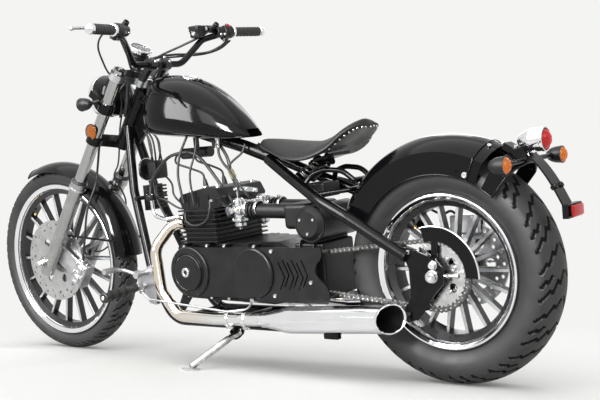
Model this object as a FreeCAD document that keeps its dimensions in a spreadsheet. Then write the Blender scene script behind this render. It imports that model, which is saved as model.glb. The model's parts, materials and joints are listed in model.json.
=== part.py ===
import FreeCAD, Part
import math
import os
import re
import Sketcher
from FreeCAD import Placement, Rotation, Vector

# Driving sizes, in millimetres and degrees. The machine is laid out upright, its origin on the
# ground below the rear axle, +X forward, +Y left, +Z up, and is then leaned onto its side stand.
SIZES = {
    # Whole machine
    "wheelbase": 1650.0,
    "lean": 8.65,
    "rake": 36.0,
    # Rear wheel
    "rear_tyre_radius": 323.0,
    "rear_crown": 100.0,
    "rear_shoulder": 68.0,
    "rear_side_radius": 62.0,
    "rear_lip_radius": 217.0,
    "rear_rim_half": 57.0,
    "rear_bead_radius": 203.0,
    "rear_hub_radius": 38.0,
    "rear_hub_right": 89.5,
    "rear_hub_left": 70.0,
    # Front wheel
    "front_tyre_radius": 341.0,
    "front_crown": 60.0,
    "front_shoulder": 41.0,
    "front_side_radius": 38.0,
    "front_lip_radius": 280.5,
    "front_rim_half": 36.0,
    "front_bead_radius": 267.0,
    "front_hub_radius": 30.0,
    "front_hub_half": 59.5,
    # Both wheels
    "lip_wall": 4.5,
    "rim_wall": 6.0,
    "rim_drop": 17.0,
    "bead_gap": 0.3,
    "spoke_count": 18.0,
    "spoke_root": 15.0,
    "spoke_tip": 10.0,
    "spoke_depth": 24.0,
    "axle_radius": 10.0,
    "axle_bore": 5.0,
    "running_fit": 0.05,
    # Brake discs and calipers
    "front_disc_radius": 149.0,
    "front_disc_place": 62.0,
    "rear_disc_radius": 120.0,
    "rear_disc_place": 92.0,
    "disc_wall": 5.0,
    "disc_hole": 5.0,
    "disc_hole_count": 18.0,
    "disc_window": 15.0,
    "disc_window_count": 6.0,
    "caliper_gap": 5.0,
    "caliper_wall": 16.0,
    "caliper_length": 92.0,
    "caliper_depth": 46.0,
    # Chain drive
    "chain_pitch": 15.875,
    "sprocket_teeth": 38.0,
    "drive_teeth": 15.0,
    "drive_place": 600.0,
    "drive_height": 325.0,
    "chain_line": 96.0,
    "chain_width": 20.0,
    "chain_height": 14.0,
    "roller_height": 9.0,
    "roller_width": 12.0,
    "sprocket_wall": 5.0,
    "sprocket_clear": 1.5,
    # Frame tubes
    "head_radius": 26.0,
    "head_low": 585.0,
    "head_high": 765.0,
    "head_offset": 50.0,
    "stem_radius": 15.0,
    "backbone_radius": 21.0,
    "cradle_radius": 15.5,
    "rail_radius": 17.0,
    "stay_radius": 13.0,
    "seat_node_place": 615.0,
    "seat_node_height": 668.0,
    "cradle_half": 105.0,
    "cradle_height": 155.0,
    "axle_plate_place": 121.0,
    "axle_plate_wall": 8.0,
    # Guards
    "rear_guard_radius": 378.0,
    "rear_guard_crown": 110.0,
    "rear_guard_half": 88.0,
    "rear_guard_skirt": 62.0,
    "rear_guard_front": 29.0,
    "rear_guard_end": 118.0,
    "tail_guard_end": 131.0,
    "front_guard_radius": 362.0,
    "front_guard_crown": 75.0,
    "front_guard_half": 62.0,
    "front_guard_front": 70.0,
    "front_guard_end": 178.0,
    "guard_wall": 2.5,
    # Engine
    "crank_place": 885.0,
    "crank_height": 325.0,
    "case_half": 105.0,
    "case_front": 90.0,
    "case_rear": 385.0,
    "cover_radius": 82.0,
    "cover_wall": 45.0,
    "cover_reach": 262.0,
    "chain_cover_length": 272.0,
    "chain_cover_wall": 6.0,
    "chain_cover_place": 130.0,
    "slot_count": 6.0,
    "slot_pitch": 17.5,
    "slot_width": 5.0,
    "slot_height": 82.0,
    "slot_lean": 20.0,
    "barrel_place": 850.0,
    "barrel_half_length": 66.0,
    "barrel_half_width": 112.0,
    "fin_count": 8.0,
    "fin_pitch": 14.0,
    "fin_wall": 4.0,
    "fin_reach": 18.0,
    "head_rise": 62.0,
    # Exhaust
    "header_radius": 19.0,
    "header_bend": 62.0,
    "muffler_radius": 40.0,
    "muffler_wall": 2.0,
    "muffler_place": 172.0,
    "muffler_height": 212.0,
    "muffler_front": 565.0,
    "muffler_full": 475.0,
    "muffler_tip": 112.0,
    "slash_angle": 32.0,
    # Fork and bars
    "fork_half": 100.0,
    "fork_setback": 12.0,
    "slider_radius": 25.0,
    "slider_low": 38.0,
    "slider_high": 365.0,
    "stanchion_radius": 20.5,
    "stanchion_top": 815.0,
    "lower_clamp_place": 556.0,
    "upper_clamp_place": 782.0,
    "clamp_wall": 26.0,
    "bar_radius": 11.0,
    "bar_half": 403.0,
    "bar_bend": 48.0,
    "grip_radius": 16.5,
    "grip_length": 118.0,
    "grip_end_length": 14.0,
    "headlamp_radius": 72.0,
    "headlamp_length": 105.0,
    "gauge_radius": 38.0,
    # Tank
    "tank_rear": 672.0,
    "tank_front": 1092.0,
    "tank_half": 130.0,
    "tank_top": 962.0,
    "tank_base": 758.0,
    "tank_tunnel": 30.0,
    "cap_radius": 30.0,
    # Seat
    "seat_half": 125.0,
    "seat_thickness": 34.0,
    "seat_droop": 26.0,
    "spring_radius": 19.0,
    "spring_wire": 4.0,
    "spring_coils": 6.0,
    # Rear end
    "tail_lamp_radius": 31.0,
    "indicator_radius": 23.0,
    "indicator_half": 171.0,
    "plate_arm_width": 54.0,
    "plate_arm_wall": 5.0,
    # Side stand
    "stand_place": 745.0,
    "stand_half": 262.0,
    "stand_radius": 11.0,
    "stand_foot": 28.0,
    "stand_pin": 6.0,
}

SHEET = "Sizes"


class Model:
    """The document, its sheet of sizes, and the sub-parts made so far."""

    def __init__(self):
        self.doc = FreeCAD.newDocument("motorcycle")
        self.sheet = self.doc.addObject("Spreadsheet::Sheet", SHEET)
        for row, (alias, number) in enumerate(SIZES.items(), start=1):
            self.sheet.set("A%d" % row, alias)
            self.sheet.set("B%d" % row, str(number))
            self.sheet.setAlias("B%d" % row, alias)
        self.doc.recompute()
        for alias in SIZES:
            setattr(self, alias, float(self.sheet.get(alias)))
        self.pieces = []

    def value(self, expression):
        """The number that an expression of sizes gives."""
        return float(self.sheet.evalExpression(expression))

    def bind(self, item, prop, expression):
        """Ties a property of an object to an expression of sizes in the sheet."""
        item.setExpression(prop, re.sub(r"[a-z][a-z0-9]*_[a-z0-9_]*", SHEET + r".\g<0>", expression))

    def keep(self, item, place):
        """Stands a finished sub-part at its place on the leaned machine."""
        item.Placement = self.parked().multiply(place).multiply(item.Placement)
        self.pieces.append(item)
        return item

    def feature(self, name, shape, place=Placement()):
        """A sub-part whose shape is worked out here from the sizes."""
        item = self.doc.addObject("Part::Feature", name)
        item.Label = name
        item.Shape = shape
        return self.keep(item, place)

    def upright(self, name):
        """Shape of a finished sub-part, as it stands on the upright machine."""
        self.doc.recompute()
        piece = [p for p in self.pieces if p.Label == name][0]
        return piece.Shape.transformed(self.parked().inverse().toMatrix())

    def parked(self):
        """The turn about the wheels' ground line that leans the machine to its left."""
        return Placement(Vector(0, 0, 0), Rotation(Vector(1, 0, 0), -self.lean))

    def axle_height(self, radius, crown):
        """Height of an axle when the round of its leaned tyre touches the ground."""
        return radius - crown + crown / math.cos(math.radians(self.lean))

    def rear_axle(self):
        return Vector(0, 0, self.axle_height(self.rear_tyre_radius, self.rear_crown))

    def front_axle(self):
        return Vector(self.wheelbase, 0, self.axle_height(self.front_tyre_radius, self.front_crown))

    def at_rear(self):
        return Placement(self.rear_axle(), Rotation())

    def at_front(self):
        return Placement(self.front_axle(), Rotation())

    def fork(self):
        """The fork's own frame: origin on the front axle, +Z up along the fork, +X ahead of it."""
        return Placement(self.front_axle(), Rotation(Vector(0, 1, 0), -self.rake))

    def on_fork(self, x, y, z):
        """A point of the fork's frame, in the upright machine's frame."""
        return self.fork().multVec(Vector(x, y, z))


def ring_edges(corners):
    """Pairs of neighbouring corners round a closed outline."""
    return list(zip(corners, corners[1:] + corners[:1]))


def arc_through(start, end, radius, turn):
    """Arc of a radius from start to end, its centre to the left (turn 1) or right (turn -1)."""
    chord = end - start
    normal = Vector(-chord.y, chord.x, 0).normalize() * turn
    offset = math.sqrt(max(radius ** 2 - (chord.Length / 2) ** 2, 0))
    centre = (start + end) * 0.5 + normal * offset
    middle = centre - normal * radius
    return Part.Arc(start, middle, end)


def add_sketch(model, body, role, corners, name):
    """A closed, fully bound outline of lines and arcs on one of the body's origin planes.

    Each corner is (x, y) or, where an arc leads on to the next corner, (x, y, radius, turn)."""
    sketch = body.newObject("Sketcher::SketchObject", name)
    plane = [f for f in body.Origin.OriginFeatures if f.Role == role][0]
    sketch.AttachmentSupport = [(plane, "")]
    sketch.MapMode = "FlatFace"
    points = [Vector(model.value(c[0]), model.value(c[1]), 0) for c in corners]
    ends = []
    for corner, (start, end) in zip(corners, ring_edges(points)):
        if len(corner) == 4:
            sketch.addGeometry(arc_through(start, end, model.value(corner[2]), corner[3]))
            ends.append((1, 2) if corner[3] > 0 else (2, 1))
        else:
            sketch.addGeometry(Part.LineSegment(start, end))
            ends.append((1, 2))
    for index, corner in enumerate(corners):
        following = (index + 1) % len(corners)
        sketch.addConstraint(Sketcher.Constraint(
            "Coincident", index, ends[index][1], following, ends[following][0]))
    for index, corner in enumerate(corners):
        bind_place(model, sketch, index, ends[index][0], corner[0], corner[1])
        if len(corner) == 4:
            bind_datum(model, sketch, ("Radius", index), corner[2])
    return sketch


def add_circles(model, body, role, circles, name):
    """A sketch of bound circles, each (x, y, radius)."""
    sketch = body.newObject("Sketcher::SketchObject", name)
    plane = [f for f in body.Origin.OriginFeatures if f.Role == role][0]
    sketch.AttachmentSupport = [(plane, "")]
    sketch.MapMode = "FlatFace"
    for index, (x, y, radius) in enumerate(circles):
        centre = Vector(model.value(x), model.value(y), 0)
        sketch.addGeometry(Part.Circle(centre, Vector(0, 0, 1), model.value(radius)))
        bind_place(model, sketch, index, 3, x, y)
        bind_datum(model, sketch, ("Radius", index), radius)
    return sketch


def bind_place(model, sketch, geometry, vertex, x, y):
    """Ties a sketch point's two coordinates to expressions."""
    bind_datum(model, sketch, ("DistanceX", geometry, vertex), x)
    bind_datum(model, sketch, ("DistanceY", geometry, vertex), y)


def bind_datum(model, sketch, parts, expression):
    """Adds one dimension to a sketch and ties it to an expression."""
    index = sketch.addConstraint(Sketcher.Constraint(*parts, model.value(expression)))
    model.bind(sketch, "Constraints[%d]" % index, expression)


def new_body(model, name):
    body = model.doc.addObject("PartDesign::Body", name)
    body.Label = name
    return body


def revolve(model, body, corners, name, angle="360"):
    """Turns an outline given as (radius, place along the axle) about the body's Y axis."""
    sketch = add_sketch(model, body, "XY_Plane", corners, name + "_outline")
    turned = body.newObject("PartDesign::Revolution", name)
    turned.Profile = sketch
    turned.ReferenceAxis = (sketch, ["V_Axis"])
    model.bind(turned, "Angle", angle)
    return turned


def pad(model, body, sketch, name, length):
    """Extrudes a sketch evenly to both sides of its plane."""
    padded = body.newObject("PartDesign::Pad", name)
    padded.Profile = sketch
    padded.SideType = "Symmetric"
    model.bind(padded, "Length", length)
    return padded


def pocket(model, body, sketch, name, length):
    """Cuts a sketch evenly to both sides of its plane."""
    cut = body.newObject("PartDesign::Pocket", name)
    cut.Profile = sketch
    cut.SideType = "Symmetric"
    model.bind(cut, "Length", length)
    return cut


def repeat_round(model, body, feature, name, count):
    """Repeats a feature evenly round the body's Y axis."""
    axis = [f for f in body.Origin.OriginFeatures if f.Role == "Y_Axis"][0]
    pattern = body.newObject("PartDesign::PolarPattern", name)
    pattern.Originals = [feature]
    pattern.Axis = (axis, [""])
    pattern.Angle = 360
    model.bind(pattern, "Occurrences", count)
    body.Tip = pattern
    return pattern


def fused(*shapes):
    return shapes[0].multiFuse(list(shapes[1:])).removeSplitter()


def cut_away(shape, *tools):
    return shape.cut(list(tools))


def rod(start, end, radius):
    """Round bar between two points."""
    start, end = Vector(*start), Vector(*end)
    return Part.makeCylinder(radius, (end - start).Length, start, end - start)


def cone(start, end, radius_start, radius_end):
    start, end = Vector(*start), Vector(*end)
    return Part.makeCone(radius_start, radius_end, (end - start).Length, start, end - start)


def block(low, high):
    """Box between its lowest and highest corners."""
    size = Vector(*high) - Vector(*low)
    return Part.makeBox(size.x, size.y, size.z, Vector(*low))


def rounded_block(low, high, radius):
    """Box with all its edges rounded."""
    solid = block(low, high)
    return solid.makeFillet(radius, solid.Edges)


def slab(outline, low, high):
    """Outline of (x, z) points, extruded across the machine from y = low to y = high."""
    points = [Vector(x, low, z) for x, z in outline]
    return Part.Face(Part.makePolygon(points + points[:1])).extrude(Vector(0, high - low, 0))


def turned(profile, start, along):
    """Solid of revolution: (radius, distance) corners turned about a line from start."""
    points = [Vector(radius, 0, distance) for radius, distance in profile]
    face = Part.Face(Part.makePolygon(points + points[:1]))
    solid = face.revolve(Vector(0, 0, 0), Vector(0, 0, 1), 360)
    solid.Placement = Placement(Vector(*start), Rotation(Vector(0, 0, 1), Vector(*along)))
    return solid


def rounded_slab(outline, low, high, radius):
    """A slab whose corners are rounded in side view."""
    solid = slab(outline, low, high)
    upright = [e for e in solid.Edges if abs(e.tangentAt(e.FirstParameter).y) > 0.99]
    return solid.makeFillet(radius, upright)


def bent_wire(points, bend):
    """Straight runs joined by tangent arcs, each as large as the bend and its runs allow."""
    points = [Vector(*p) for p in points]
    edges = []
    last = points[0]
    for before, corner, after in zip(points, points[1:], points[2:]):
        back, ahead = before - corner, after - corner
        reach = 0.45 * min(back.Length, ahead.Length)
        back.normalize()
        ahead.normalize()
        half = back.getAngle(ahead) / 2
        setback = min(bend / math.tan(half), reach)
        radius = setback * math.tan(half)
        middle = corner + (back + ahead).normalize() * (radius / math.sin(half) - radius)
        start, end = corner + back * setback, corner + ahead * setback
        edges.append(Part.LineSegment(last, start).toShape())
        edges.append(Part.Arc(start, middle, end).toShape())
        last = end
    edges.append(Part.LineSegment(last, points[-1]).toShape())
    return Part.Wire(edges)


def tube(points, radius, bend):
    """Round tube along a bent centre line."""
    points = [Vector(*p) for p in points]
    ring = Part.Wire(Part.makeCircle(radius, points[0], points[1] - points[0]))
    return bent_wire(points, bend).makePipeShell([ring], True, False)


def both_sides(points):
    """A left-hand route and its mirror image on the right."""
    return points, [(x, -y, z) for x, y, z in points]


def mirrored(shape):
    return shape.mirror(Vector(0, 0, 0), Vector(0, 1, 0))


def loft(sections):
    """Smooth solid through closed rings of points."""
    rings = []
    for section in sections:
        curve = Part.BSplineCurve()
        curve.interpolate(section, PeriodicFlag=True)
        rings.append(Part.Wire(curve.toShape()))
    return Part.makeLoft(rings, True)


def soft_power(number, power):
    return math.copysign(abs(number) ** power, number)


# Wheels

def wheel(model, name, end, place):
    """Hub, spokes and drop-centre rim of one wheel, in one casting. End is front or rear."""
    body = new_body(model, name)
    left = "rear_hub_left" if end == "rear" else "front_hub_half"
    right = "rear_hub_right" if end == "rear" else "front_hub_half"
    hub = end + "_hub_radius"
    bore = "axle_radius + running_fit"
    revolve(model, body, [
        (bore, "-%s" % right), (hub, "-%s" % right), (hub, "-%s + 12" % right),
        (hub + " - 8", "-%s + 22" % right), (hub + " - 8", "%s - 22" % left),
        (hub, "%s - 12" % left), (hub, left), (bore, left)], name + "_hub")
    barrel = "%s_bead_radius - rim_drop" % end
    spoke = add_sketch(model, body, "XZ_Plane", [
        (hub + " - 12", "-spoke_root / 2"), (barrel + " - 2", "-spoke_tip / 2"),
        (barrel + " - 2", "spoke_tip / 2"), (hub + " - 12", "spoke_root / 2")], name + "_spoke_outline")
    first = pad(model, body, spoke, name + "_spoke", "spoke_depth")
    repeat_round(model, body, first, name + "_spokes", "spoke_count")
    lip = end + "_lip_radius"
    half = end + "_rim_half"
    bead = end + "_bead_radius"
    side = [(lip, "1", half), (lip, "1", half + " - lip_wall"), (bead, "1", half + " - lip_wall - 1"),
            (bead, "1", half + " * 0.55"), (bead + " - rim_drop", "1", half + " * 0.4")]
    under = [(bead + " - rim_drop - rim_wall", "1", half + " * 0.46"),
             (bead + " - rim_wall", "1", half + " * 0.66"),
             (bead + " - rim_wall + 2", "1", half + " - 4"), (lip + " - 4", "1", half + " + 2")]
    outer = [(r, y) for r, _, y in side] + [(r, "-(%s)" % y) for r, _, y in reversed(side)]
    inner = [(r, "-(%s)" % y) for r, _, y in reversed(under)] + [(r, y) for r, _, y in under]
    revolve(model, body, outer + inner, name + "_rim")
    return model.keep(body, place)


def tyre(model, name, end, place):
    """Closed tyre: crown arc, two side arcs, and beads seated inside the rim's lips."""
    body = new_body(model, name)
    radius, crown, shoulder = end + "_tyre_radius", end + "_crown", end + "_shoulder"
    bead = end + "_bead_radius + bead_gap"
    inside = end + "_rim_half - lip_wall - 1 - bead_gap"
    shoulder_radius = "%s - %s + sqrt(%s ^ 2 - %s ^ 2)" % (radius, crown, crown, shoulder)
    side = end + "_side_radius"
    revolve(model, body, [
        (bead, inside), (end + "_lip_radius + 3", inside, side, -1),
        (shoulder_radius, shoulder, crown, -1), (shoulder_radius, "-" + shoulder, side, -1),
        (end + "_lip_radius + 3", "-(%s)" % inside), (bead, "-(%s)" % inside)], name + "_ring")
    return model.keep(body, place)


def brake_disc(model, name, radius, across, hub, place):
    """Drilled brake disc with round windows between its carrier's arms."""
    body = new_body(model, name)
    ring = add_circles(model, body, "XZ_Plane", [("0", "0", radius), ("0", "0", hub)], name + "_ring")
    pad(model, body, ring, name + "_disc", "disc_wall")
    holes = add_circles(model, body, "XZ_Plane", [
        (radius + " - 14", "0", "disc_hole"), (radius + " * cos(7deg) - 30", radius + " * 0.1", "disc_hole")],
        name + "_hole_places")
    drilled = pocket(model, body, holes, name + "_holes", "disc_wall * 3")
    repeat_round(model, body, drilled, name + "_drilling", "disc_hole_count")
    window = add_circles(model, body, "XZ_Plane", [
        ("(%s + %s) / 2 - 10" % (radius, hub), "0", "disc_window")], name + "_window_place")
    opened = pocket(model, body, window, name + "_window", "disc_wall * 3")
    repeat_round(model, body, opened, name + "_windows", "disc_window_count")
    return model.keep(body, place.multiply(Placement(Vector(0, across, 0), Rotation())))


def chain_radius(model, teeth):
    """Pitch radius of a sprocket."""
    return model.chain_pitch / (2 * math.sin(math.pi / teeth))


def sprocket(model, name):
    """Rear sprocket with its teeth and a dished carrier, which bolts to the hub's left end."""
    body = new_body(model, name)
    pitch_radius = "chain_pitch / (2 * sin(180deg / sprocket_teeth))"
    tip = pitch_radius + " - roller_height / 2 - sprocket_clear"
    root = tip + " - 7"
    hub = "axle_radius + running_fit"
    half = "sprocket_wall / 2"
    inner = "chain_line - rear_hub_left"
    revolve(model, body, [
        (hub, half), (hub, "-(%s)" % inner), ("rear_hub_radius - 6", "-(%s)" % inner),
        ("rear_hub_radius - 6", "-" + half), (root, "-" + half), (root, half)], name + "_plate")
    tooth = add_sketch(model, body, "XZ_Plane", [
        (root + " - 2", "-chain_pitch * 0.34"), (tip, "-chain_pitch * 0.14"),
        (tip, "chain_pitch * 0.14"), (root + " - 2", "chain_pitch * 0.34")], name + "_tooth_outline")
    first = pad(model, body, tooth, name + "_tooth", "sprocket_wall")
    repeat_round(model, body, first, name + "_teeth", "sprocket_teeth")
    window = add_circles(model, body, "XZ_Plane", [
        ("(%s + rear_hub_radius) / 2 - 2" % root, "0", "disc_window - 2")], name + "_window_place")
    opened = pocket(model, body, window, name + "_window", "sprocket_wall * 3")
    repeat_round(model, body, opened, name + "_windows", "5")
    return model.keep(body, model.at_rear().multiply(Placement(Vector(0, model.chain_line, 0), Rotation())))


def wheels(model):
    wheel(model, "rear_wheel", "rear", model.at_rear())
    tyre(model, "rear_tyre", "rear", model.at_rear())
    brake_disc(model, "rear_disc", "rear_disc_radius", -model.rear_disc_place, "rear_hub_radius - 8",
               model.at_rear())
    sprocket(model, "rear_sprocket")
    wheel(model, "front_wheel", "front", model.at_front())
    tyre(model, "front_tyre", "front", model.at_front())
    brake_disc(model, "front_disc", "front_disc_radius", model.front_disc_place, "front_hub_radius - 8",
               model.at_front())


def chain_path(model):
    """Corners of the chain's pitch line: two tangent runs and the arcs round both sprockets."""
    big = chain_radius(model, model.sprocket_teeth)
    small = chain_radius(model, model.drive_teeth)
    rear = model.rear_axle()
    drive = Vector(model.drive_place, 0, model.drive_height)
    span = drive - rear
    slope = math.asin((big - small) / span.Length)
    base = math.atan2(span.z, span.x)
    upper = Vector(math.cos(base + math.pi / 2 - slope), 0, math.sin(base + math.pi / 2 - slope))
    lower = Vector(math.cos(base - math.pi / 2 + slope), 0, math.sin(base - math.pi / 2 + slope))
    ahead = Vector(math.cos(base), 0, math.sin(base))
    return rear, drive, big, small, upper, lower, ahead


def chain_ring(model, extra, half, across):
    """Solid loop between the chain's pitch line moved out by extra and moved in by extra."""
    rear, drive, big, small, upper, lower, ahead = chain_path(model)
    faces = []
    for step in (extra, -extra):
        at_rear, at_drive = big + step, small + step
        edges = [
            Part.LineSegment(rear + upper * at_rear, drive + upper * at_drive).toShape(),
            Part.Arc(drive + upper * at_drive, drive + ahead * at_drive, drive + lower * at_drive).toShape(),
            Part.LineSegment(drive + lower * at_drive, rear + lower * at_rear).toShape(),
            Part.Arc(rear + lower * at_rear, rear - ahead * at_rear, rear + upper * at_rear).toShape()]
        faces.append(Part.Face(Part.Wire(edges)))
    flat = faces[0].cut(faces[1])
    flat.translate(Vector(0, across - half, 0))
    return flat.extrude(Vector(0, 2 * half, 0))


def chain_point(model, distance):
    """Place and heading on the chain's pitch line, a distance along it from the top of the rear sprocket."""
    rear, drive, big, small, upper, lower, ahead = chain_path(model)
    run = (drive + upper * small) - (rear + upper * big)
    angle_upper = math.atan2(upper.z, upper.x)
    front_turn = 2 * math.atan2(ahead.cross(upper).Length, ahead.dot(upper))
    rear_turn = 2 * math.pi - front_turn
    lengths = [run.Length, small * front_turn, run.Length, big * rear_turn]
    distance %= sum(lengths)
    if distance < lengths[0]:
        return rear + upper * big + run * (distance / lengths[0]), math.atan2(run.z, run.x)
    distance -= lengths[0]
    if distance < lengths[1]:
        angle = angle_upper - distance / small
        return drive + Vector(math.cos(angle), 0, math.sin(angle)) * small, angle - math.pi / 2
    distance -= lengths[1]
    if distance < lengths[2]:
        back = (rear + lower * big) - (drive + lower * small)
        return drive + lower * small + back * (distance / lengths[2]), math.atan2(back.z, back.x)
    distance -= lengths[2]
    angle = math.atan2(lower.z, lower.x) - distance / big
    return rear + Vector(math.cos(angle), 0, math.sin(angle)) * big, angle - math.pi / 2


def chain_length(model):
    rear, drive, big, small, upper, lower, ahead = chain_path(model)
    front_turn = 2 * math.atan2(ahead.cross(upper).Length, ahead.dot(upper))
    run = (drive + upper * small) - (rear + upper * big)
    return 2 * run.Length + small * front_turn + big * (2 * math.pi - front_turn)


def chain(model):
    """Drive chain: a loop of rollers, with a pair of side plates at every second pitch."""
    band = chain_ring(model, model.roller_height / 2, model.roller_width / 2, model.chain_line)
    links = int(chain_length(model) / (2 * model.chain_pitch))
    step = chain_length(model) / links
    plates = []
    wall = (model.chain_width - model.roller_width) / 2
    for index in range(links):
        point, heading = chain_point(model, index * step)
        plate = block((-0.72 * model.chain_pitch, -wall / 2, -model.chain_height / 2),
                      (0.72 * model.chain_pitch, wall / 2, model.chain_height / 2))
        plate.rotate(Vector(0, 0, 0), Vector(0, 1, 0), -math.degrees(heading))
        for side in (-1, 1):
            copy = plate.copy()
            copy.translate(point + Vector(0, model.chain_line
                                          + side * (model.roller_width + wall) / 2, 0))
            plates.append(copy)
    model.feature("chain", band.multiFuse(plates))


# Frame

def head_point(model, along):
    """Point on the steering axis, a distance up it from abreast of the front axle."""
    return model.on_fork(-model.head_offset, 0, along)


def frame_routes(model):
    """Centre lines of the frame's tubes on its left side: spine, cradle tube and seat rail."""
    low = head_point(model, model.head_low + 28)
    high = head_point(model, model.head_high - 30)
    joint_x, joint_z = model.seat_node_place, model.seat_node_height
    half, base = model.cradle_half, model.cradle_height
    side = model.axle_plate_place
    axle = model.rear_axle().z
    spine = [(high.x, 0, high.z), (model.tank_rear + 250, 0, joint_z + 100),
             (model.tank_rear + 50, 0, joint_z + 38), (joint_x - 12, 0, joint_z - 6)]
    cradle = [(low.x - 8, 14, low.z), (low.x - 44, 50, low.z - 220), (low.x - 150, half - 5, base + 130),
              (low.x - 235, half, base), (model.muffler_front - 10, half, base),
              (430, half + 4, base + 9), (250, side - 9, base + 50), (75, side - 4, axle - 112)]
    rail = [(joint_x, 24, joint_z - 4), (505, 62, joint_z - 62), (365, side - 9, joint_z - 132),
            (270, side, joint_z - 178), (75, side + 6, axle + 52)]
    return spine, cradle, rail


def main_frame(model):
    """Welded frame: head tube, spine, cradle tubes, seat rails, cross tubes, axle plates, stand lug."""
    spine, cradle, rail = frame_routes(model)
    parts = [rod(head_point(model, model.head_low), head_point(model, model.head_high), model.head_radius),
             tube(spine, model.backbone_radius, 220)]
    for route in both_sides(cradle):
        parts.append(tube(route, model.cradle_radius, 90))
    for route in both_sides(rail):
        parts.append(tube(route, model.rail_radius, 160))
    half, base = model.cradle_half, model.cradle_height
    for x in (cradle[3][0] - 20, model.stand_place + 20, 452):
        parts.append(rod((x, -half, base), (x, half, base), model.stay_radius))
    parts.append(rod((505, -60, 606), (505, 60, 606), 8))
    gusset = [(cradle[0][0] - 8, cradle[0][2] + 8), (spine[0][0] - 8, spine[0][2] - 12),
              (spine[0][0] - 80, spine[0][2] - 62), (cradle[0][0] - 26, cradle[0][2] - 70)]
    parts.append(slab(gusset, -5, 5))
    for side in (-1, 1):
        parts.append(axle_plate(model, side))
    bore = rod(head_point(model, model.head_low - 50), head_point(model, model.head_high + 50),
               model.stem_radius + 3)
    below = rod(head_point(model, model.head_low - 50), head_point(model, model.head_low),
                model.head_radius + 12)
    axle = rod((0, -200, model.rear_axle().z), (0, 200, model.rear_axle().z),
               model.axle_radius + model.running_fit)
    stays = cut_away(fender_stays(model), model.upright("rear_fender"))
    frame = cut_away(fused(*parts), bore, below, axle)
    for piece in (stays, stand_lug(model), stand_pin(model)):
        frame = frame.fuse(piece)
    model.feature("main_frame", frame)


def axle_plate(model, side):
    """Plate that joins a seat rail and a cradle tube and carries the rear axle."""
    axle = model.rear_axle().z
    outline = [(-32, axle - 22), (-36, axle + 18), (-12, axle + 48), (60, axle + 74), (98, axle + 82),
               (72, axle + 20), (72, axle - 60), (104, axle - 104), (92, axle - 130), (56, axle - 122),
               (-8, axle - 44)]
    low = model.axle_plate_place - model.axle_plate_wall / 2
    plate = rounded_slab(outline, low, low + model.axle_plate_wall, 6)
    return plate if side > 0 else mirrored(plate)


def rear_axle(model):
    """Hollow rear axle with its nuts, and the spacers that centre the wheel between the plates."""
    z = model.rear_axle().z
    outer = model.axle_plate_place + model.axle_plate_wall / 2
    inner = model.axle_plate_place - model.axle_plate_wall / 2
    gap = 1.0
    parts = [rod((0, -outer - 16, z), (0, outer + 16, z), model.axle_radius)]
    for side in (-1, 1):
        parts.append(rod((0, side * outer, z), (0, side * (outer + 12), z), 15))
    left_end = model.chain_line + model.sprocket_wall / 2 + gap
    right_end = model.rear_disc_place + model.disc_wall / 2 + gap
    parts.append(rod((0, left_end, z), (0, inner, z), 15))
    parts.append(rod((0, -right_end, z), (0, -inner, z), 15))
    bore = rod((0, -200, z), (0, 200, z), model.axle_bore)
    model.feature("rear_axle", cut_away(fused(*parts), bore))


def ring_sector(z, inner, outer, start, stop, low, high):
    """Ring sector about the rear axle, between two angles above the horizontal."""
    def at(radius, angle):
        turn = math.radians(angle)
        return Vector(radius * math.cos(turn), low, z + radius * math.sin(turn))
    middle = (start + stop) / 2
    edges = [Part.Arc(at(outer, start), at(outer, middle), at(outer, stop)).toShape(),
             Part.LineSegment(at(outer, stop), at(inner, stop)).toShape(),
             Part.Arc(at(inner, stop), at(inner, middle), at(inner, start)).toShape(),
             Part.LineSegment(at(inner, start), at(outer, start)).toShape()]
    return Part.Face(Part.Wire(edges)).extrude(Vector(0, high - low, 0))


def chain_guard(model):
    """Crescent guard over the top and back of the rear sprocket, with a raised rim."""
    z = model.rear_axle().z
    big = chain_radius(model, model.sprocket_teeth)
    outer, inner = big + 38, big - 2
    low = model.chain_line + model.chain_width / 2 + 2
    sheet = ring_sector(z, inner, outer, 75, 183, low, low + 3)
    rim = ring_sector(z, outer - 6, outer, 75, 183, low, low + 7)
    tab = slab([(-10, z + 40), (8, z + 46), (2, z + inner + 6), (-16, z + inner + 6)], low, low + 3)
    stud = rod((1, low, z + 45), (1, model.axle_plate_place - model.axle_plate_wall / 2, z + 45), 6)
    model.feature("chain_guard", fused(sheet, rim, tab, stud))


# Guards

def guard_outline(end, extra):
    """Cross-section of a mudguard: a crown arc and, at the rear, straight skirts below it."""
    radius, crown, half = end + "_guard_radius", end + "_guard_crown", end + "_guard_half"
    centre = "%s - %s" % (radius, crown)
    rise = "sqrt(%s ^ 2 - %s ^ 2)" % (crown, half)
    outer, inner = crown + extra, crown + extra + " - guard_wall"
    share = "(%s) / %s" % (outer, crown)
    inner_share = "(%s) / %s" % (inner, crown)
    corners = [
        ("%s + %s * %s" % (centre, rise, share), "%s * %s" % (half, share), outer, -1),
        ("%s + %s * %s" % (centre, rise, share), "-%s * %s" % (half, share)),
        ("%s + %s * %s" % (centre, rise, inner_share), "-%s * %s" % (half, inner_share), inner, 1),
        ("%s + %s * %s" % (centre, rise, inner_share), "%s * %s" % (half, inner_share))]
    if end == "front":
        return corners
    foot = "%s + %s - rear_guard_skirt" % (centre, rise)
    skirt = [(foot, "-" + corners[0][1]), (foot, "-" + corners[2][1][1:])]
    other = [(foot, corners[2][1][1:]), (foot, corners[0][1])]
    return [corners[0], corners[1], *skirt, corners[2], corners[3], *other]


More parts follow.
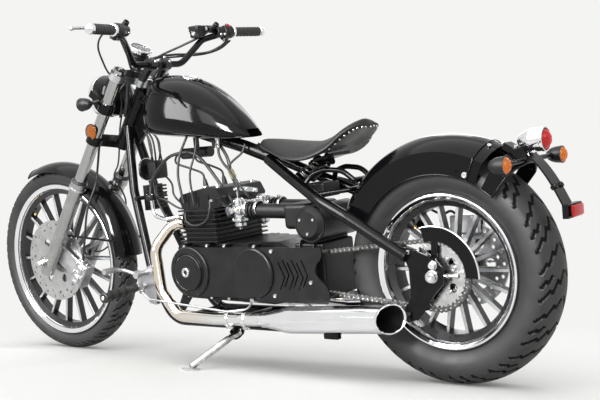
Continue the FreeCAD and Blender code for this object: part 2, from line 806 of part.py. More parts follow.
def mudguard(model, name, end, extra, start, stop, place):
    """Mudguard turned about the axle, from one angle above the horizontal to another."""
    body = new_body(model, name)
    revolve(model, body, guard_outline(end, extra), name + "_shell", "%s - %s" % (stop, start))
    turn = Placement(Vector(0, 0, 0), Rotation(Vector(0, 1, 0), -model.value(stop)))
    return model.keep(body, place.multiply(turn))


def rear_guards(model):
    """Rear mudguard and, lapped over its end, the tail piece."""
    mudguard(model, "rear_fender", "rear", "", "rear_guard_front", "rear_guard_end", model.at_rear())
    mudguard(model, "fender_tail", "rear", " + guard_wall + 0.3", "rear_guard_end - 5", "tail_guard_end",
             model.at_rear())


def stand_room(model):
    """Space in which the stand's eye turns."""
    pivot, foot = stand_points(model)
    axis = fold_axis(model)
    return Part.makeCylinder(21, 13, pivot - axis * 6.5, axis)


def stand_pin(model):
    pivot, foot = stand_points(model)
    axis = fold_axis(model)
    return Part.makeCylinder(model.stand_pin, 30, pivot - axis * 15, axis)


def on_guard(model, angle, radius, across):
    """Point at an angle and radius about the rear axle."""
    turn = math.radians(angle)
    axle = model.rear_axle()
    return (radius * math.cos(turn), across, axle.z + radius * math.sin(turn))


def fender_stays(model):
    """Arched and straight stays from the seat rails to the rear guard's front edge, each pair tied across."""
    parts = []
    seat = on_guard(model, 43, model.rear_guard_radius + 9, 0)
    strap_low = on_guard(model, 38, model.rear_guard_radius + 6, 0)
    for side in (-1, 1):
        arch = [(446, side * 80, 576), (424, side * 60, 612), (380, side * 54, 624), (320, side * 48, 618),
                (seat[0], side * 44, seat[2])]
        parts.append(tube(arch, 8, 60))
        parts.append(rod((400, side * 98, 553), (strap_low[0], side * 44, strap_low[2]), 7))
    parts.append(rod((seat[0], -46, seat[2]), (seat[0], 46, seat[2]), 8.5))
    parts.append(rod((strap_low[0], -46, strap_low[2]), (strap_low[0], 46, strap_low[2]), 7.5))
    return fused(*parts)


# Engine

def crankcase(model):
    """Engine block: crankcase and gearbox in one closed casting."""
    x, z = model.crank_place, model.crank_height
    outline = [(x + model.case_front - 10, z + 75), (x + model.case_front, z + 5), (x + 50, z - 92),
               (x - model.case_rear + 95, z - 108), (x - model.case_rear, z - 90),
               (x - model.case_rear, z + 62), (x - model.case_rear + 60, z + 88), (x + 60, z + 88)]
    case = rounded_slab(outline, -model.case_half + 25, model.case_half - 25, 12)
    rear = x - 225
    wide = rounded_slab([*outline[:3], (rear, z - 100), (rear, z + 88), outline[7]],
                        -model.case_half, model.case_half, 10)
    model.feature("crankcase", fused(case, wide))


def round_cover(x, z, radius, low, high, edge):
    """Round cover on the engine's side, its outer rim rounded."""
    solid = Part.makeCylinder(radius, abs(high - low), Vector(x, low, z), Vector(0, high - low, 0))
    rim = [e for e in solid.Edges if abs(e.BoundBox.YMin - high) < 0.01 and abs(e.BoundBox.YMax - high) < 0.01]
    return solid.makeFillet(edge, rim)


def left_cover(model):
    """Left engine cover: two overlapping rounds joined by a straight body, with a boss in front."""
    x, z, r = model.crank_place, model.crank_height, model.cover_radius
    low, high = model.case_half, model.case_half + model.cover_wall
    rear = x - model.cover_reach
    body = slab([(x, z + r - 3), (x, z - r + 3), (rear, z - r + 3), (rear, z + r - 3)], low, high - 8)
    parts = [round_cover(x, z, r, low, high, 6), body, round_cover(rear, z, r - 3, low, high - 4, 8),
             round_cover(x, z, r - 24, low, high + 7, 4), round_cover(x + 5, z, 12, low, high + 10, 2)]
    room = block((rear - 200, low - 1, z - 120), (x - 227, low + 6, z + 120))
    model.feature("left_cover", fused(*parts).cut(room))


def right_cover(model):
    """Right engine cover: a large clutch round behind a smaller one."""
    x, z, r = model.crank_place, model.crank_height, model.cover_radius
    low, high = -model.case_half, -model.case_half - model.cover_wall
    parts = [round_cover(x - 120, z, r + 3, low, high, 10), round_cover(x, z - 12, r - 20, low, high + 8, 8),
             slab([(x, z + r - 30), (x, z - r + 12), (x - 240, z - r + 12), (x - 225, z + r - 20)],
                  high + 16, low),
             round_cover(x - 120, z, r - 24, low, high - 6, 4)]
    model.feature("right_cover", fused(*parts))


def chain_cover(model):
    """Flat cover over the drive sprocket: chevron slots, a wavy rear edge and two mounting bosses."""
    x, z, r = model.crank_place, model.crank_height, model.cover_radius
    start = x - model.cover_reach + 10
    end = start - model.chain_cover_length
    low = model.chain_cover_place
    high = low + model.chain_cover_wall
    top, base = z + r - 4, z - r - 6
    edge = [Vector(end + a, low, z + b)
            for a, b in ((0, top - z), (8, 42), (24, 22), (26, 4), (6, -22), (-8, base - z))]
    wave = Part.BSplineCurve()
    wave.interpolate(edge)
    edges = [wave.toShape(),
             Part.LineSegment(edge[-1], Vector(start, low, base)).toShape(),
             Part.LineSegment(Vector(start, low, base), Vector(start, low, top)).toShape(),
             Part.LineSegment(Vector(start, low, top), edge[0]).toShape()]
    sheet = Part.Face(Part.Wire(edges)).extrude(Vector(0, high - low, 0))
    bosses = [rod((start - 88, model.case_half - 25, z + height), (start - 88, low + 1, z + height), 8)
              for height in (67, -69)]
    shape = fused(sheet, *bosses)
    slots = []
    for index in range(int(model.slot_count)):
        tip = end + 52 + index * model.slot_pitch
        half, lean, wide = model.slot_height / 2, model.slot_lean, model.slot_width
        shape_points = [(tip + lean, z + half), (tip + lean + wide, z + half), (tip + wide, z - 4),
                        (tip + lean + wide, z - half), (tip + lean, z - half), (tip, z - 4)]
        if index % 2 == 1:
            shape_points = [(a, b - 8) for a, b in shape_points]
        slots.append(slab(shape_points, low - 2, high + 2))
    rear = round_cover(x - model.cover_reach, z, r - 3 + 1, model.case_half, 200, 1)
    body = slab([(x, z + r), (x, z - r), (x - model.cover_reach, z - r), (x - model.cover_reach, z + r)],
                model.case_half, 200)
    model.feature("chain_cover", shape.cut(slots + [rear, body]))


def barrel_base(model):
    return model.crank_height + 88


def fin_top(model):
    return barrel_base(model) + model.fin_count * model.fin_pitch


def cylinder_block(model):
    """Finned block of the two cylinders."""
    x, base, top = model.barrel_place, barrel_base(model), fin_top(model)
    length, width = model.barrel_half_length, model.barrel_half_width
    parts = [block((x - length, -width, base), (x + length, width, top))]
    for index in range(int(model.fin_count)):
        low = base + 6 + index * model.fin_pitch
        fin = block((x - length - model.fin_reach, -width - model.fin_reach, low),
                    (x + length + model.fin_reach, width + model.fin_reach, low + model.fin_wall))
        upright = [e for e in fin.Edges if abs(e.tangentAt(e.FirstParameter).z) > 0.99]
        parts.append(fin.makeFillet(14, upright))
    model.feature("cylinder_block", fused(*parts))


def cylinder_head(model):
    """Rocker cover: a smooth lid that rises to the rear."""
    x, z = model.barrel_place, fin_top(model)
    front, rear = x + model.barrel_half_length + 14, x - model.barrel_half_length - 32
    outline = [(front - 6, z), (front + 6, z + 32), (front - 8, z + 46), (rear + 52, z + model.head_rise + 6),
               (rear + 18, z + model.head_rise), (rear, z + 30), (rear + 12, z)]
    lid = rounded_slab(outline, -model.barrel_half_width + 2, model.barrel_half_width - 2, 7)
    model.feature("cylinder_head", lid)


def port_height(model):
    return fin_top(model) - 48


def carburettors(model):
    """Twin carburettors with float bowls and caps, joined by a rail."""
    rear = model.barrel_place - model.barrel_half_length - model.fin_reach
    z = port_height(model) + 38
    parts = []
    for side in (-1, 1):
        y = side * 58
        parts.append(rod((rear, y, z - 6), (rear - 78, y, z - 6), 21))
        parts.append(rod((rear - 40, y, z - 52), (rear - 40, y, z + 34), 19))
        parts.append(block((rear - 62, y - 20, z - 60), (rear - 18, y + 20, z - 30)))
    parts.append(rod((rear - 40, -58, z + 18), (rear - 40, 58, z + 18), 6))
    lid = [(rear + 20, z + 200), (rear + 20, z - 20), (rear - 8, z - 8), (rear - 20, z + 200)]
    model.feature("carburettors", fused(*parts).cut(slab(lid, -300, 300)))


def airbox(model):
    """Air filter drum across the machine, its domed ends outboard, with ribbed boots to the engine."""
    rear = model.barrel_place - model.barrel_half_length - model.fin_reach
    z = port_height(model) + 32
    x, low = 420, 468
    radius, half = 54, 100
    parts = [rod((x, -half, low), (x, half, low), radius)]
    for side in (-1, 1):
        parts.append(cone((x, side * half, low), (x, side * (half + 12), low), radius - 4, radius - 16))
        parts.append(rod((rear - 74, side * 58, z), (x + 30, side * 58, z - 8), 23))
        for rib in range(3):
            ring_x = rear - 88 - rib * 14
            parts.append(rod((ring_x, side * 58, z), (ring_x - 7, side * 58, z), 28))
    parts.append(rounded_block((x + 18, -84, low - 18), (x + 110, 84, z + 18), 14))
    model.feature("airbox", fused(*parts).cut(model.upright("carburettors")))


def battery_box(model):
    """Battery and tool box behind the gearbox."""
    box = rounded_block((392, -80, 240), (model.crank_place - model.case_rear, 80, 408), 8)
    model.feature("battery_box", box)


def electrics(model):
    """Relay box under the seat, ignition coils below the tank and regulator between the cradle tubes."""
    spine, cradle, rail = frame_routes(model)
    relay = rounded_block((398, -42, 540), (468, 42, 584), 5)
    strap = rod((440, -70, 566), (440, 70, 566), 6)
    relay = fused(relay, strap).cut([tube(route, model.rail_radius, 160) for route in both_sides(rail)])
    coil = fused(rod((915, -42, 700), (960, -42, 700), 18), rod((915, 42, 700), (960, 42, 700), 18),
                 block((920, -60, 694), (954, 60, 706)), block((930, -6, 694), (945, 6, 775)))
    coil = coil.cut(tube(spine, model.backbone_radius, 220))
    fins = [block((1135, -38, 520 + 12 * i), (1157, 38, 526 + 12 * i)) for i in range(7)]
    regulator = fused(block((1155, -38, 516), (1173, 38, 602)), *fins,
                      rod((1179, -72, 560), (1179, 72, 560), 7))
    regulator = regulator.cut([tube(route, model.cradle_radius, 90) for route in both_sides(cradle)])
    solids = [max(s.Solids, key=lambda p: p.Volume) for s in (relay, coil, regulator)]
    model.feature("electrics", Part.makeCompound(solids))


def header_shape(model, name, side):
    """Header pipe with its port flange and two clamps."""
    route = header_route(model)
    parts = [tube(route, model.header_radius, model.header_bend),
             rod(route[0], Vector(*route[0]) + Vector(9, 0, 0), model.header_radius + 12)]
    for x in (730, 660):
        parts.append(rod((x, 159, 182), (x - 14, 159.4, 182.4), model.header_radius + 4))
        parts.append(rod((x - 7, 159, 182), (x - 7, 150, 152), 5))
    shape = fused(*parts)
    shape = shape if side > 0 else mirrored(shape)
    shape = shape.cut([model.upright("cylinder_block"), model.upright(name + "_muffler")])
    return max(shape.Solids, key=lambda s: s.Volume)


# Exhaust

def header_route(model):
    """Centre line of the left header pipe, from its port to the muffler."""
    front = model.barrel_place + model.barrel_half_length + model.fin_reach
    z = port_height(model)
    return [(front + 1, 78, z + 2), (front + 62, 90, z - 4), (front + 108, 136, z - 78),
            (front + 82, 152, 262), (front + 10, 156, 183), (front - 150, 158, 180),
            (model.muffler_front + 60, 162, 184), (model.muffler_front, 165, 188)]


def muffler(model, name, side):
    """Hollow muffler: a cone, a straight body and a slash-cut tip that faces out and back."""
    y, z = model.muffler_place, model.muffler_height
    spine, cradle, rail = frame_routes(model)
    start = Vector(model.muffler_front, y - 8, z - 25)
    along = Vector(model.muffler_tip, y, z) - start
    reach = along.Length
    cone_length = model.muffler_front - model.muffler_full
    radius, inner = model.muffler_radius, model.muffler_radius - model.muffler_wall
    shell = turned([(0, 0), (model.header_radius + 2, 0), (radius, cone_length), (radius, reach + 60),
                    (inner, reach + 60), (inner, reach - 130), (0, reach - 150)], start, along)
    angle = math.radians(model.slash_angle)
    away = Vector(-math.cos(angle), math.sin(angle), 0)
    knife = Part.makeBox(400, 400, 400, Vector(-200, -200, 0))
    knife.Placement = Placement(Vector(model.muffler_tip, y, z), Rotation(Vector(0, 0, 1), away))
    hanger = block((290, y - 12, z - radius - 26), (345, y + 12, z - radius + 2))
    bracket = tube([(318, y, z - radius - 20), (318, 122, z - radius - 18), (318, 112, z - 22)], 5, 12)
    shape = fused(shell.cut(knife), hanger, bracket).cut(tube(cradle, model.cradle_radius, 90))
    shape = max(shape.Solids, key=lambda s: s.Volume)
    model.feature(name, shape if side > 0 else mirrored(shape))


def exhausts(model):
    """Both exhausts: mufflers first, then the headers that end against them."""
    for name, side in (("left", 1), ("right", -1)):
        muffler(model, name + "_muffler", side)
    headers = [header_shape(model, name, side) for name, side in (("left", 1), ("right", -1))]
    model.feature("exhaust_headers", Part.makeCompound(headers))


# Tank and seat

def tank_section(model, share):
    """Ring of the tank at a share of its length from the rear: narrow behind, broad-shouldered ahead."""
    x = model.tank_rear + (model.tank_front - model.tank_rear) * share
    climb = max(1 - share / 0.86, 0) ** 2.1
    top = model.tank_top - 215 * climb - 260 * max(share - 0.9, 0)
    base = model.tank_base - 34 + 46 * share + 14 * (1 - share) ** 8
    plan = (1 - (1 - min(share / 0.74, 1)) ** 1.9) ** 0.78
    nose = math.sqrt(max(1 - (max(share - 0.74, 0) / 0.30) ** 2.4, 0.04))
    half = model.tank_half * (0.2 + 0.8 * plan) * nose
    points = []
    count = 16
    for index in range(count):
        angle = 2 * math.pi * (index + 0.5) / count
        across = soft_power(math.cos(angle), 0.72)
        rise = math.sin(angle)
        rise = soft_power(rise, 0.9 if rise > 0 else 0.55)
        middle = base + (top - base) * 0.36
        reach = (top - middle) if rise > 0 else (middle - base)
        narrow = 1 - 0.16 * max(rise, 0)
        points.append(Vector(x, half * across * narrow, middle + reach * rise))
    return points


def tank_shape(model):
    shares = (0.0, 0.05, 0.18, 0.36, 0.56, 0.76, 0.9, 1.0)
    return loft([tank_section(model, share) for share in shares])


def fuel_tank(model):
    """Teardrop tank over the spine, with a tunnel for it and for the head tube."""
    spine, cradle, rail = frame_routes(model)
    tunnel = fused(tube(spine, model.tank_tunnel, 220),
                   block((650, -model.tank_tunnel, 600), (1200, model.tank_tunnel, model.tank_base + 5)),
                   rod(head_point(model, model.head_low - 50), head_point(model, model.head_high + 60),
                       model.head_radius + 8))
    cap = cap_shape(model, 1.5)
    shape = tank_shape(model).cut([tunnel, cap])
    solid = max(shape.Solids, key=lambda s: s.Volume)
    half = model.tank_tunnel + 2
    saddles = fused(block((990, -half, 800), (1014, half, 848)), block((742, -half, 738), (766, half, 758)))
    solid = solid.fuse(saddles.cut(tube(spine, model.backbone_radius, 220)))
    model.feature("fuel_tank", max(solid.Solids, key=lambda s: s.Volume))


def cap_shape(model, clear=0.0):
    """Filler cap, seated square to the tank's top."""
    foot = Vector(938, 0, model.tank_top - 26)
    lean = Vector(-0.3, 0, 1).normalize()
    return Part.makeCylinder(model.cap_radius + clear, 26, foot, lean)


def filler_cap(model):
    foot = Vector(938, 0, model.tank_top - 26)
    lean = Vector(-0.3, 0, 1).normalize()
    knob = Part.makeCylinder(model.cap_radius - 6, 12, foot + lean * 20, lean)
    model.feature("filler_cap", fused(cap_shape(model), knob))


def seat_sections():
    """Centre line of the seat in side view, with the share of its full width at each place."""
    return [(648, 712, 0.16), (622, 712, 0.34), (560, 704, 0.62), (480, 692, 0.92), (410, 688, 1.0),
            (352, 702, 0.92), (306, 727, 0.78), (272, 749, 0.62), (252, 762, 0.34)]


def seat(model):
    """Solo saddle: a padded pan that droops at its sides and turns up in a rounded tongue behind."""
    places = seat_sections()
    rings = []
    for index, (x, z, share) in enumerate(places):
        before, after = places[max(index - 1, 0)], places[min(index + 1, len(places) - 1)]
        along = Vector(after[0] - before[0], 0, after[1] - before[1]).normalize()
        up = Vector(-along.z, 0, along.x)
        if up.z < 0:
            up = up * -1
        half = model.seat_half * share
        thick = model.seat_thickness / 2 * (0.6 + 0.4 * share)
        droop = model.seat_droop * share if x > 300 else model.seat_droop * 0.4 * share
        ring = []
        for step in range(14):
            angle = 2 * math.pi * (step + 0.5) / 14
            across = soft_power(math.cos(angle), 0.8)
            rise = soft_power(math.sin(angle), 0.8)
            lift = up * (thick * rise - droop * across ** 2)
            ring.append(Vector(x, half * across, z) + lift)
        rings.append(ring)
    shape = loft(rings).cut([model.upright("main_frame"), model.upright("fuel_tank")])
    model.feature("seat", max(shape.Solids, key=lambda s: s.Volume))


def seat_springs(model):
    """Coil springs from the frame up to a plate under the seat, and the hinge at the seat's nose."""
    parts = []
    low, high = Vector(494, 0, 600), Vector(414, 0, 652)
    along = (high - low).normalize()
    length = (high - low).Length
    for side in (-1, 1):
        offset = Vector(0, side * 25, 0)
        parts.append(Part.makeCylinder(7, length, low + offset, along))
        for coil in range(int(model.spring_coils)):
            centre = low + offset + along * (length * (coil + 0.7) / model.spring_coils)
            parts.append(Part.makeTorus(model.spring_radius - model.spring_wire, model.spring_wire,
                                        centre, along))
            parts.append(Part.makeCylinder(model.spring_radius - model.spring_wire, 1.6,
                                           centre - along * 0.8, along))
    parts.append(slab([(352, 672), (428, 656), (428, 644), (352, 660)], -46, 46))
    parts.append(slab([(474, 612), (496, 602), (500, 592), (484, 588), (466, 604)], -40, 40))
    springs = fused(*parts)
    ears = [slab([(600, 692), (640, 684), (660, 712), (650, 722), (626, 704)], y, y + 4) for y in (-20, 16)]
    hinge = fused(*ears, rod((652, -24, 708), (652, 24, 708), 4), block((602, -20, 684), (638, 20, 694)))
    tools = [model.upright("main_frame"), model.upright("seat"), model.upright("fuel_tank")]
    solids = [max(s.cut(tools).Solids, key=lambda p: p.Volume) for s in (springs, hinge)]
    model.feature("seat_springs", Part.makeCompound(solids))


# Rear end

def rear_caliper(model):
    """Rear caliper over the top of its disc, on a bracket that hangs from the axle."""
    axle = model.rear_axle().z
    disc = -model.rear_disc_place
    half = model.disc_wall / 2 + model.caliper_gap
    reach = model.rear_disc_radius
    body = rounded_block((-model.caliper_length / 2, disc - half - model.caliper_wall, axle + reach - 34),
                         (model.caliper_length / 2, disc + half + model.caliper_wall, axle + reach + 22), 7)
    slot = block((-200, disc - half, axle - 300), (200, disc + half, axle + reach + 6))
    inner = -model.axle_plate_place + model.axle_plate_wall / 2
    arm = slab([(-18, axle + 4), (18, axle + 4), (30, axle + reach - 20), (-30, axle + reach - 20)],
               inner - 0.0, inner + 5)
    boss = rod((0, inner, axle), (0, inner + 5, axle), 26)
    hole = rod((0, -200, axle), (0, 0, axle), 15.3)
    model.feature("rear_caliper", fused(body.cut(slot), fused(arm, boss).cut(hole)))


def tail_place(model):
    """Where the tail lamp's bracket sits on the tail guard's crown."""
    return on_guard(model, 124, model.rear_guard_radius + 6, 0)


def tail_bracket(model):
    """Bracket on the guard's tail: lamp seat, indicator bar and root of the plate arm."""
    x, _, z = tail_place(model)
    shape = fused(
        slab([(x + 34, z + 20), (x - 6, z + 6), (x - 34, z + 10), (x - 42, z - 22), (x - 10, z - 30),
              (x - 2, z - 8)], -30, 30),
        rod((x - 28, -model.indicator_half + 22, z - 26), (x - 28, model.indicator_half - 22, z - 26), 7),
        slab([(x - 40, z + 12), (x - 20, z + 10), (x - 24, z - 36), (x - 40, z - 30)], -24, 24),
        ring_sector(model.rear_axle().z, model.rear_guard_radius - 4, model.rear_guard_radius + 14, 119, 128,
                    -22, 22))
    keep_out = model.upright("fender_tail")
    model.feature("tail_bracket", max(shape.cut(keep_out).Solids, key=lambda s: s.Volume))


def tail_lamp(model):
    """Bullet shell of the tail lamp, with the cup that its lens sits in."""
    x, _, z = tail_place(model)
    x -= 40
    z += 26
    radius = model.tail_lamp_radius
    shell = fused(rod((x + 6, 0, z), (x - 44, 0, z), radius),
                  cone((x + 34, 0, z), (x + 6, 0, z), radius * 0.55, radius))
    cup = rod((x - 38, 0, z), (x - 50, 0, z), radius - 3)
    foot = block((x - 22, -12, z - radius - 3), (x + 16, 12, z - radius + 10))
    bracket = model.upright("tail_bracket")
    model.feature("tail_lamp", fused(shell, foot).cut([cup, bracket]))


def indicator(x, y, z, radius, facing):
    """Bullet shell of an indicator and its lens, facing along X."""
    shell = fused(rod((x, y, z), (x - facing * 26, y, z), radius),
                  cone((x - facing * 26, y, z), (x - facing * 46, y, z), radius, radius * 0.45))
    cup = rod((x - facing * 8, y, z), (x + facing * 5, y, z), radius - 2.5)
    lens = Part.makeSphere(radius * 1.25, Vector(x - facing * radius * 0.72, y, z)).common(
        rod((x - facing * 8, y, z), (x + facing * 20, y, z), radius - 2.8))
    return shell.cut(cup), lens


def rear_indicators(model):
    """Amber indicators outboard of the tail, on the bracket's cross bar."""
    x, _, z = tail_place(model)
    x -= 28
    z -= 26
    bracket = model.upright("tail_bracket")
    shells, lenses = [], []
    for side in (-1, 1):
        shell, lens = indicator(x - 22, side * model.indicator_half, z, model.indicator_radius, -1)
        shells.append(shell.cut(bracket))
        lenses.append(lens)
    model.feature("rear_indicators", Part.makeCompound(shells))
    model.feature("rear_indicator_lenses", Part.makeCompound(lenses))


def plate_arm(model):
    """Curved strap that carries a number plate, with a blank crosspiece at its end."""
    x, _, z = tail_place(model)
    points = [(x - 36, z - 4), (x - 72, z - 40), (x - 108, z - 96), (x - 138, z - 158)]
    wall = model.plate_arm_wall
    curve = Part.BSplineCurve()
    curve.interpolate([Vector(a, -model.plate_arm_width / 2, b) for a, b in points])
    under = Part.BSplineCurve()
    under.interpolate([Vector(a + wall * 0.84, -model.plate_arm_width / 2, b - wall * 0.54)
                       for a, b in reversed(points)])
    edges = [curve.toShape(), Part.LineSegment(curve.EndPoint, under.StartPoint).toShape(), under.toShape(),
             Part.LineSegment(under.EndPoint, curve.StartPoint).toShape()]
    strap = Part.Face(Part.Wire(edges)).extrude(Vector(0, model.plate_arm_width, 0))
    end_x, end_z = points[-1]
    cross = block((end_x - 12, -44, end_z - 20), (end_x + 4, 44, end_z + 16))
    hole_x, hole_z = points[2]
    holes = [rod((hole_x - 42, y, hole_z + 27), (hole_x + 42, y, hole_z - 27), 3.25) for y in (-18, 18)]
    tools = holes + [model.upright("tail_bracket"), model.upright("tail_lamp")]
    model.feature("plate_arm", max(fused(strap, cross).cut(tools).Solids, key=lambda s: s.Volume))
    return rounded_block((end_x - 22, -34, end_z - 17), (end_x - 12, 34, end_z + 13), 3)


def red_lenses(model):
    """Domed lens of the tail lamp, and the reflector on the plate arm."""
    x, _, z = tail_place(model)
    x -= 40
    z += 26
    radius = model.tail_lamp_radius
    lens = Part.makeSphere(radius * 1.3, Vector(x - 38 + radius * 0.82, 0, z)).common(
        rod((x - 38.0, 0, z), (x - 62, 0, z), radius - 3.3))
    model.feature("rear_lenses", Part.makeCompound([lens, plate_arm(model)]))


# Foot controls

def foot_controls(model):
    """Forward controls clamped to the cradle tubes: brackets, pegs, shift lever and brake pedal."""
    spine, cradle, rail = frame_routes(model)
    x = cradle[2][0] + 4
    plate = rounded_slab([(x - 46, 345), (x - 12, 338), (x + 42, 288), (x - 6, 214), (x - 40, 208)],
                         118, 132, 6)
    clamp = rod((x + 1, 92, 262), (x + 1, 122, 262), 26)
    arm = rod((x + 12, 128, 272), (x + 12, 172, 272), 12)
    pivot = rod((x - 6, 130, 318), (x - 6, 166, 318), 9)
    bracket = fused(plate, clamp, arm, pivot).cut(tube(cradle, model.cradle_radius, 90))
    bracket = max(bracket.Solids, key=lambda s: s.Volume)
    rubber = [(t, t + 0.09) for t in (0.28, 0.48, 0.68)]
    tip = Vector(x - 4, 330, 268)
    root = Vector(x + 12, 172, 272)
    peg = fused(rod(root, tip, 13), *[rod(root + (tip - root) * a, root + (tip - root) * b, 18)
                                      for a, b in rubber]).cut(arm)
    hub = rod((x - 6, 166, 318), (x - 6, 184, 318), 13)
    toe = tube([(x - 6, 176, 318), (x + 44, 186, 334), (x + 58, 212, 340), (x + 58, 250, 340)], 6, 24)
    pad_end = rod((x + 58, 222, 340), (x + 58, 262, 340), 10)
    down = slab([(x - 12, 318), (x - 30, 262), (x - 22, 254), (x, 312)], 170, 177)
    pedal = fused(hub, toe, pad_end)
    link = tube([(x - 24, 180, 262), (x - 62, 188, 240), (700, 188, 212), (650, 150, 214), (650, 118, 236)],
                3.5, 20)
    shaft = rod((650, model.case_half - 25, 236), (650, 126, 236), 8)
    pin = rod((x - 24, 170, 262), (x - 24, 186, 262), 6)
    shifter = fused(hub, toe, pad_end, down, pin, link, shaft)
    model.feature("foot_brackets", Part.makeCompound([bracket, mirrored(bracket)]))
    model.feature("foot_pegs", Part.makeCompound([peg, mirrored(peg)]))
    model.feature("foot_levers", Part.makeCompound([shifter, mirrored(pedal)]))


# Steering

def steering_stem(model):
    """Stem through the head tube, with the lower fork clamp pressed on its foot."""
    low, wall = model.lower_clamp_place, model.clamp_wall
    back, half, ahead = -model.head_offset, model.fork_half, -model.fork_setback
    parts = [slab_up([(back - 6, 22), (ahead - 20, half), (ahead + 20, half), (back + 34, 0),
                      (ahead + 20, -half), (ahead - 20, -half), (back - 6, -22)], low - wall, low),
             rod((back, 0, low - wall), (back, 0, low), 27),
             rod((back, 0, low - wall), (back, 0, model.upper_clamp_place + model.clamp_wall + 8),
                 model.stem_radius),
             rod((back, 0, low), (back, 0, model.head_low - 0.5), model.head_radius)]
    for side in (-1, 1):
        parts.append(rod((ahead, side * half, low - wall), (ahead, side * half, low), 29))
    tubes = [rod((ahead, side * half, 0), (ahead, side * half, 900), model.stanchion_radius)
             for side in (-1, 1)]
    model.feature("steering_stem", fused(*parts).cut(tubes), model.fork())


def slab_up(outline, low, high):
    """Outline of (x, y) points, extruded up the fork."""
    points = [Vector(x, y, low) for x, y in outline]
    return Part.Face(Part.makePolygon(points + points[:1])).extrude(Vector(0, 0, high - low))


def upper_clamp(model):
    """Upper fork clamp with the two handlebar risers."""
    low = model.upper_clamp_place
    high = low + model.clamp_wall
    back, half, ahead = -model.head_offset, model.fork_half, -model.fork_setback
    parts = [slab_up([(back - 6, 24), (ahead - 20, half), (ahead + 20, half), (ahead + 20, -half),
                      (ahead - 20, -half), (back - 6, -24)], low, high),
             rod((back, 0, low), (back, 0, high), 28)]
    clamp = bar_point(model)
    for side in (-1, 1):
        parts.append(rod((ahead, side * half, low), (ahead, side * half, high), 28))
        parts.append(rod((back - 6, side * 34, low + 2), (clamp.x, side * 34, clamp.z - 6), 15))
        parts.append(rod((clamp.x, side * 34 - 14, clamp.z), (clamp.x, side * 34 + 14, clamp.z), 20))
    tubes = [rod((ahead, side * half, 0), (ahead, side * half, 900), model.stanchion_radius)
             for side in (-1, 1)]
    stem = rod((back, 0, 0), (back, 0, 900), model.stem_radius)
    model.feature("upper_clamp", fused(*parts).cut(tubes + [stem, handlebar_shape(model)]), model.fork())


def bar_point(model):
    """Middle of the handlebar's clamped stretch, in the fork's frame."""
    return Vector(-model.head_offset - 22, 0, model.upper_clamp_place + model.clamp_wall + 66)


def bar_route(model):
    """Centre line of the left half of the handlebar, from the clamp to its end."""
    clamp = bar_point(model)
    inner = model.bar_half - model.grip_length - model.grip_end_length
    return [(clamp.x, 0, clamp.z), (clamp.x, 112, clamp.z), (clamp.x + 14, 186, clamp.z + 88),
            (clamp.x - 20, inner - 10, clamp.z + 138), (clamp.x - 50, model.bar_half, clamp.z + 158)]


def along_bar(model, distance):
    """Point on the bar's outer run, a distance in from its end."""
    route = bar_route(model)
    start, end = Vector(*route[-2]), Vector(*route[-1])
    return end + (start - end).normalize() * distance


def handlebar_shape(model):
    """Bent handlebar in one tube, in the fork's frame."""
    left, right = both_sides(bar_route(model))
    return tube([*reversed(left[1:]), *right[1:]], model.bar_radius, model.bar_bend)


def handlebar(model):
    """Bent handlebar."""
    model.feature("handlebar", handlebar_shape(model), model.fork())


def grips(model):
    """Rubber grips with a ring inboard and a bar-end cap outboard."""
    tip, cap, ring, inner = [along_bar(model, d) for d in (
        -4, model.grip_end_length, model.grip_end_length + model.grip_length - 10,
        model.grip_end_length + model.grip_length)]
    shape = fused(rod(cap, ring, model.grip_radius), rod(tip, cap, model.grip_radius - 1.5),
                  rod(ring, inner, model.grip_radius + 4)).cut(handlebar_shape(model))
    model.feature("grips", Part.makeCompound([shape, mirrored(shape)]), model.fork())


def lever_assembly(model, name, side):
    """Perch, switch housing and lever of one bar; the right one also carries the fluid reservoir."""
    start = model.grip_end_length + model.grip_length
    housing_end, housing, perch_end, perch = [along_bar(model, start + d) for d in (2, 34, 38, 66)]
    mirror_boss = perch + Vector(14, 0, 10)
    parts = [rod(housing_end, housing, 22), rod(perch_end, perch, 19),
             block(perch + Vector(8, -22, -10), perch + Vector(34, 22, 10)),
             rod(mirror_boss, mirror_boss + Vector(-6, 0, 20), 9)]
    reach = [perch + Vector(26, 0, -2), perch + Vector(62, 30, -14), along_bar(model, 120) + Vector(92, 0, -40),
             along_bar(model, 18) + Vector(84, 0, -44)]
    parts.append(tube(reach, 5, 30))
    parts.append(Part.makeSphere(8, reach[-1]))
    if side < 0:
        base = perch + Vector(6, -35, 26)
        parts.append(block(base + Vector(-21, -24, -18), base + Vector(21, 24, 16)))
    else:
        parts.append(block(housing_end + Vector(-16, -30, -30), housing_end + Vector(16, -4, -8)))
    hole = Part.makeCylinder(5, 30, mirror_boss + Vector(-6, 0, 20), Vector(6, 0, -20))
    shape = fused(*parts).cut([handlebar_shape(model), hole])
    shape = max(shape.Solids, key=lambda s: s.Volume)
    model.feature(name, shape if side > 0 else mirrored(shape), model.fork())


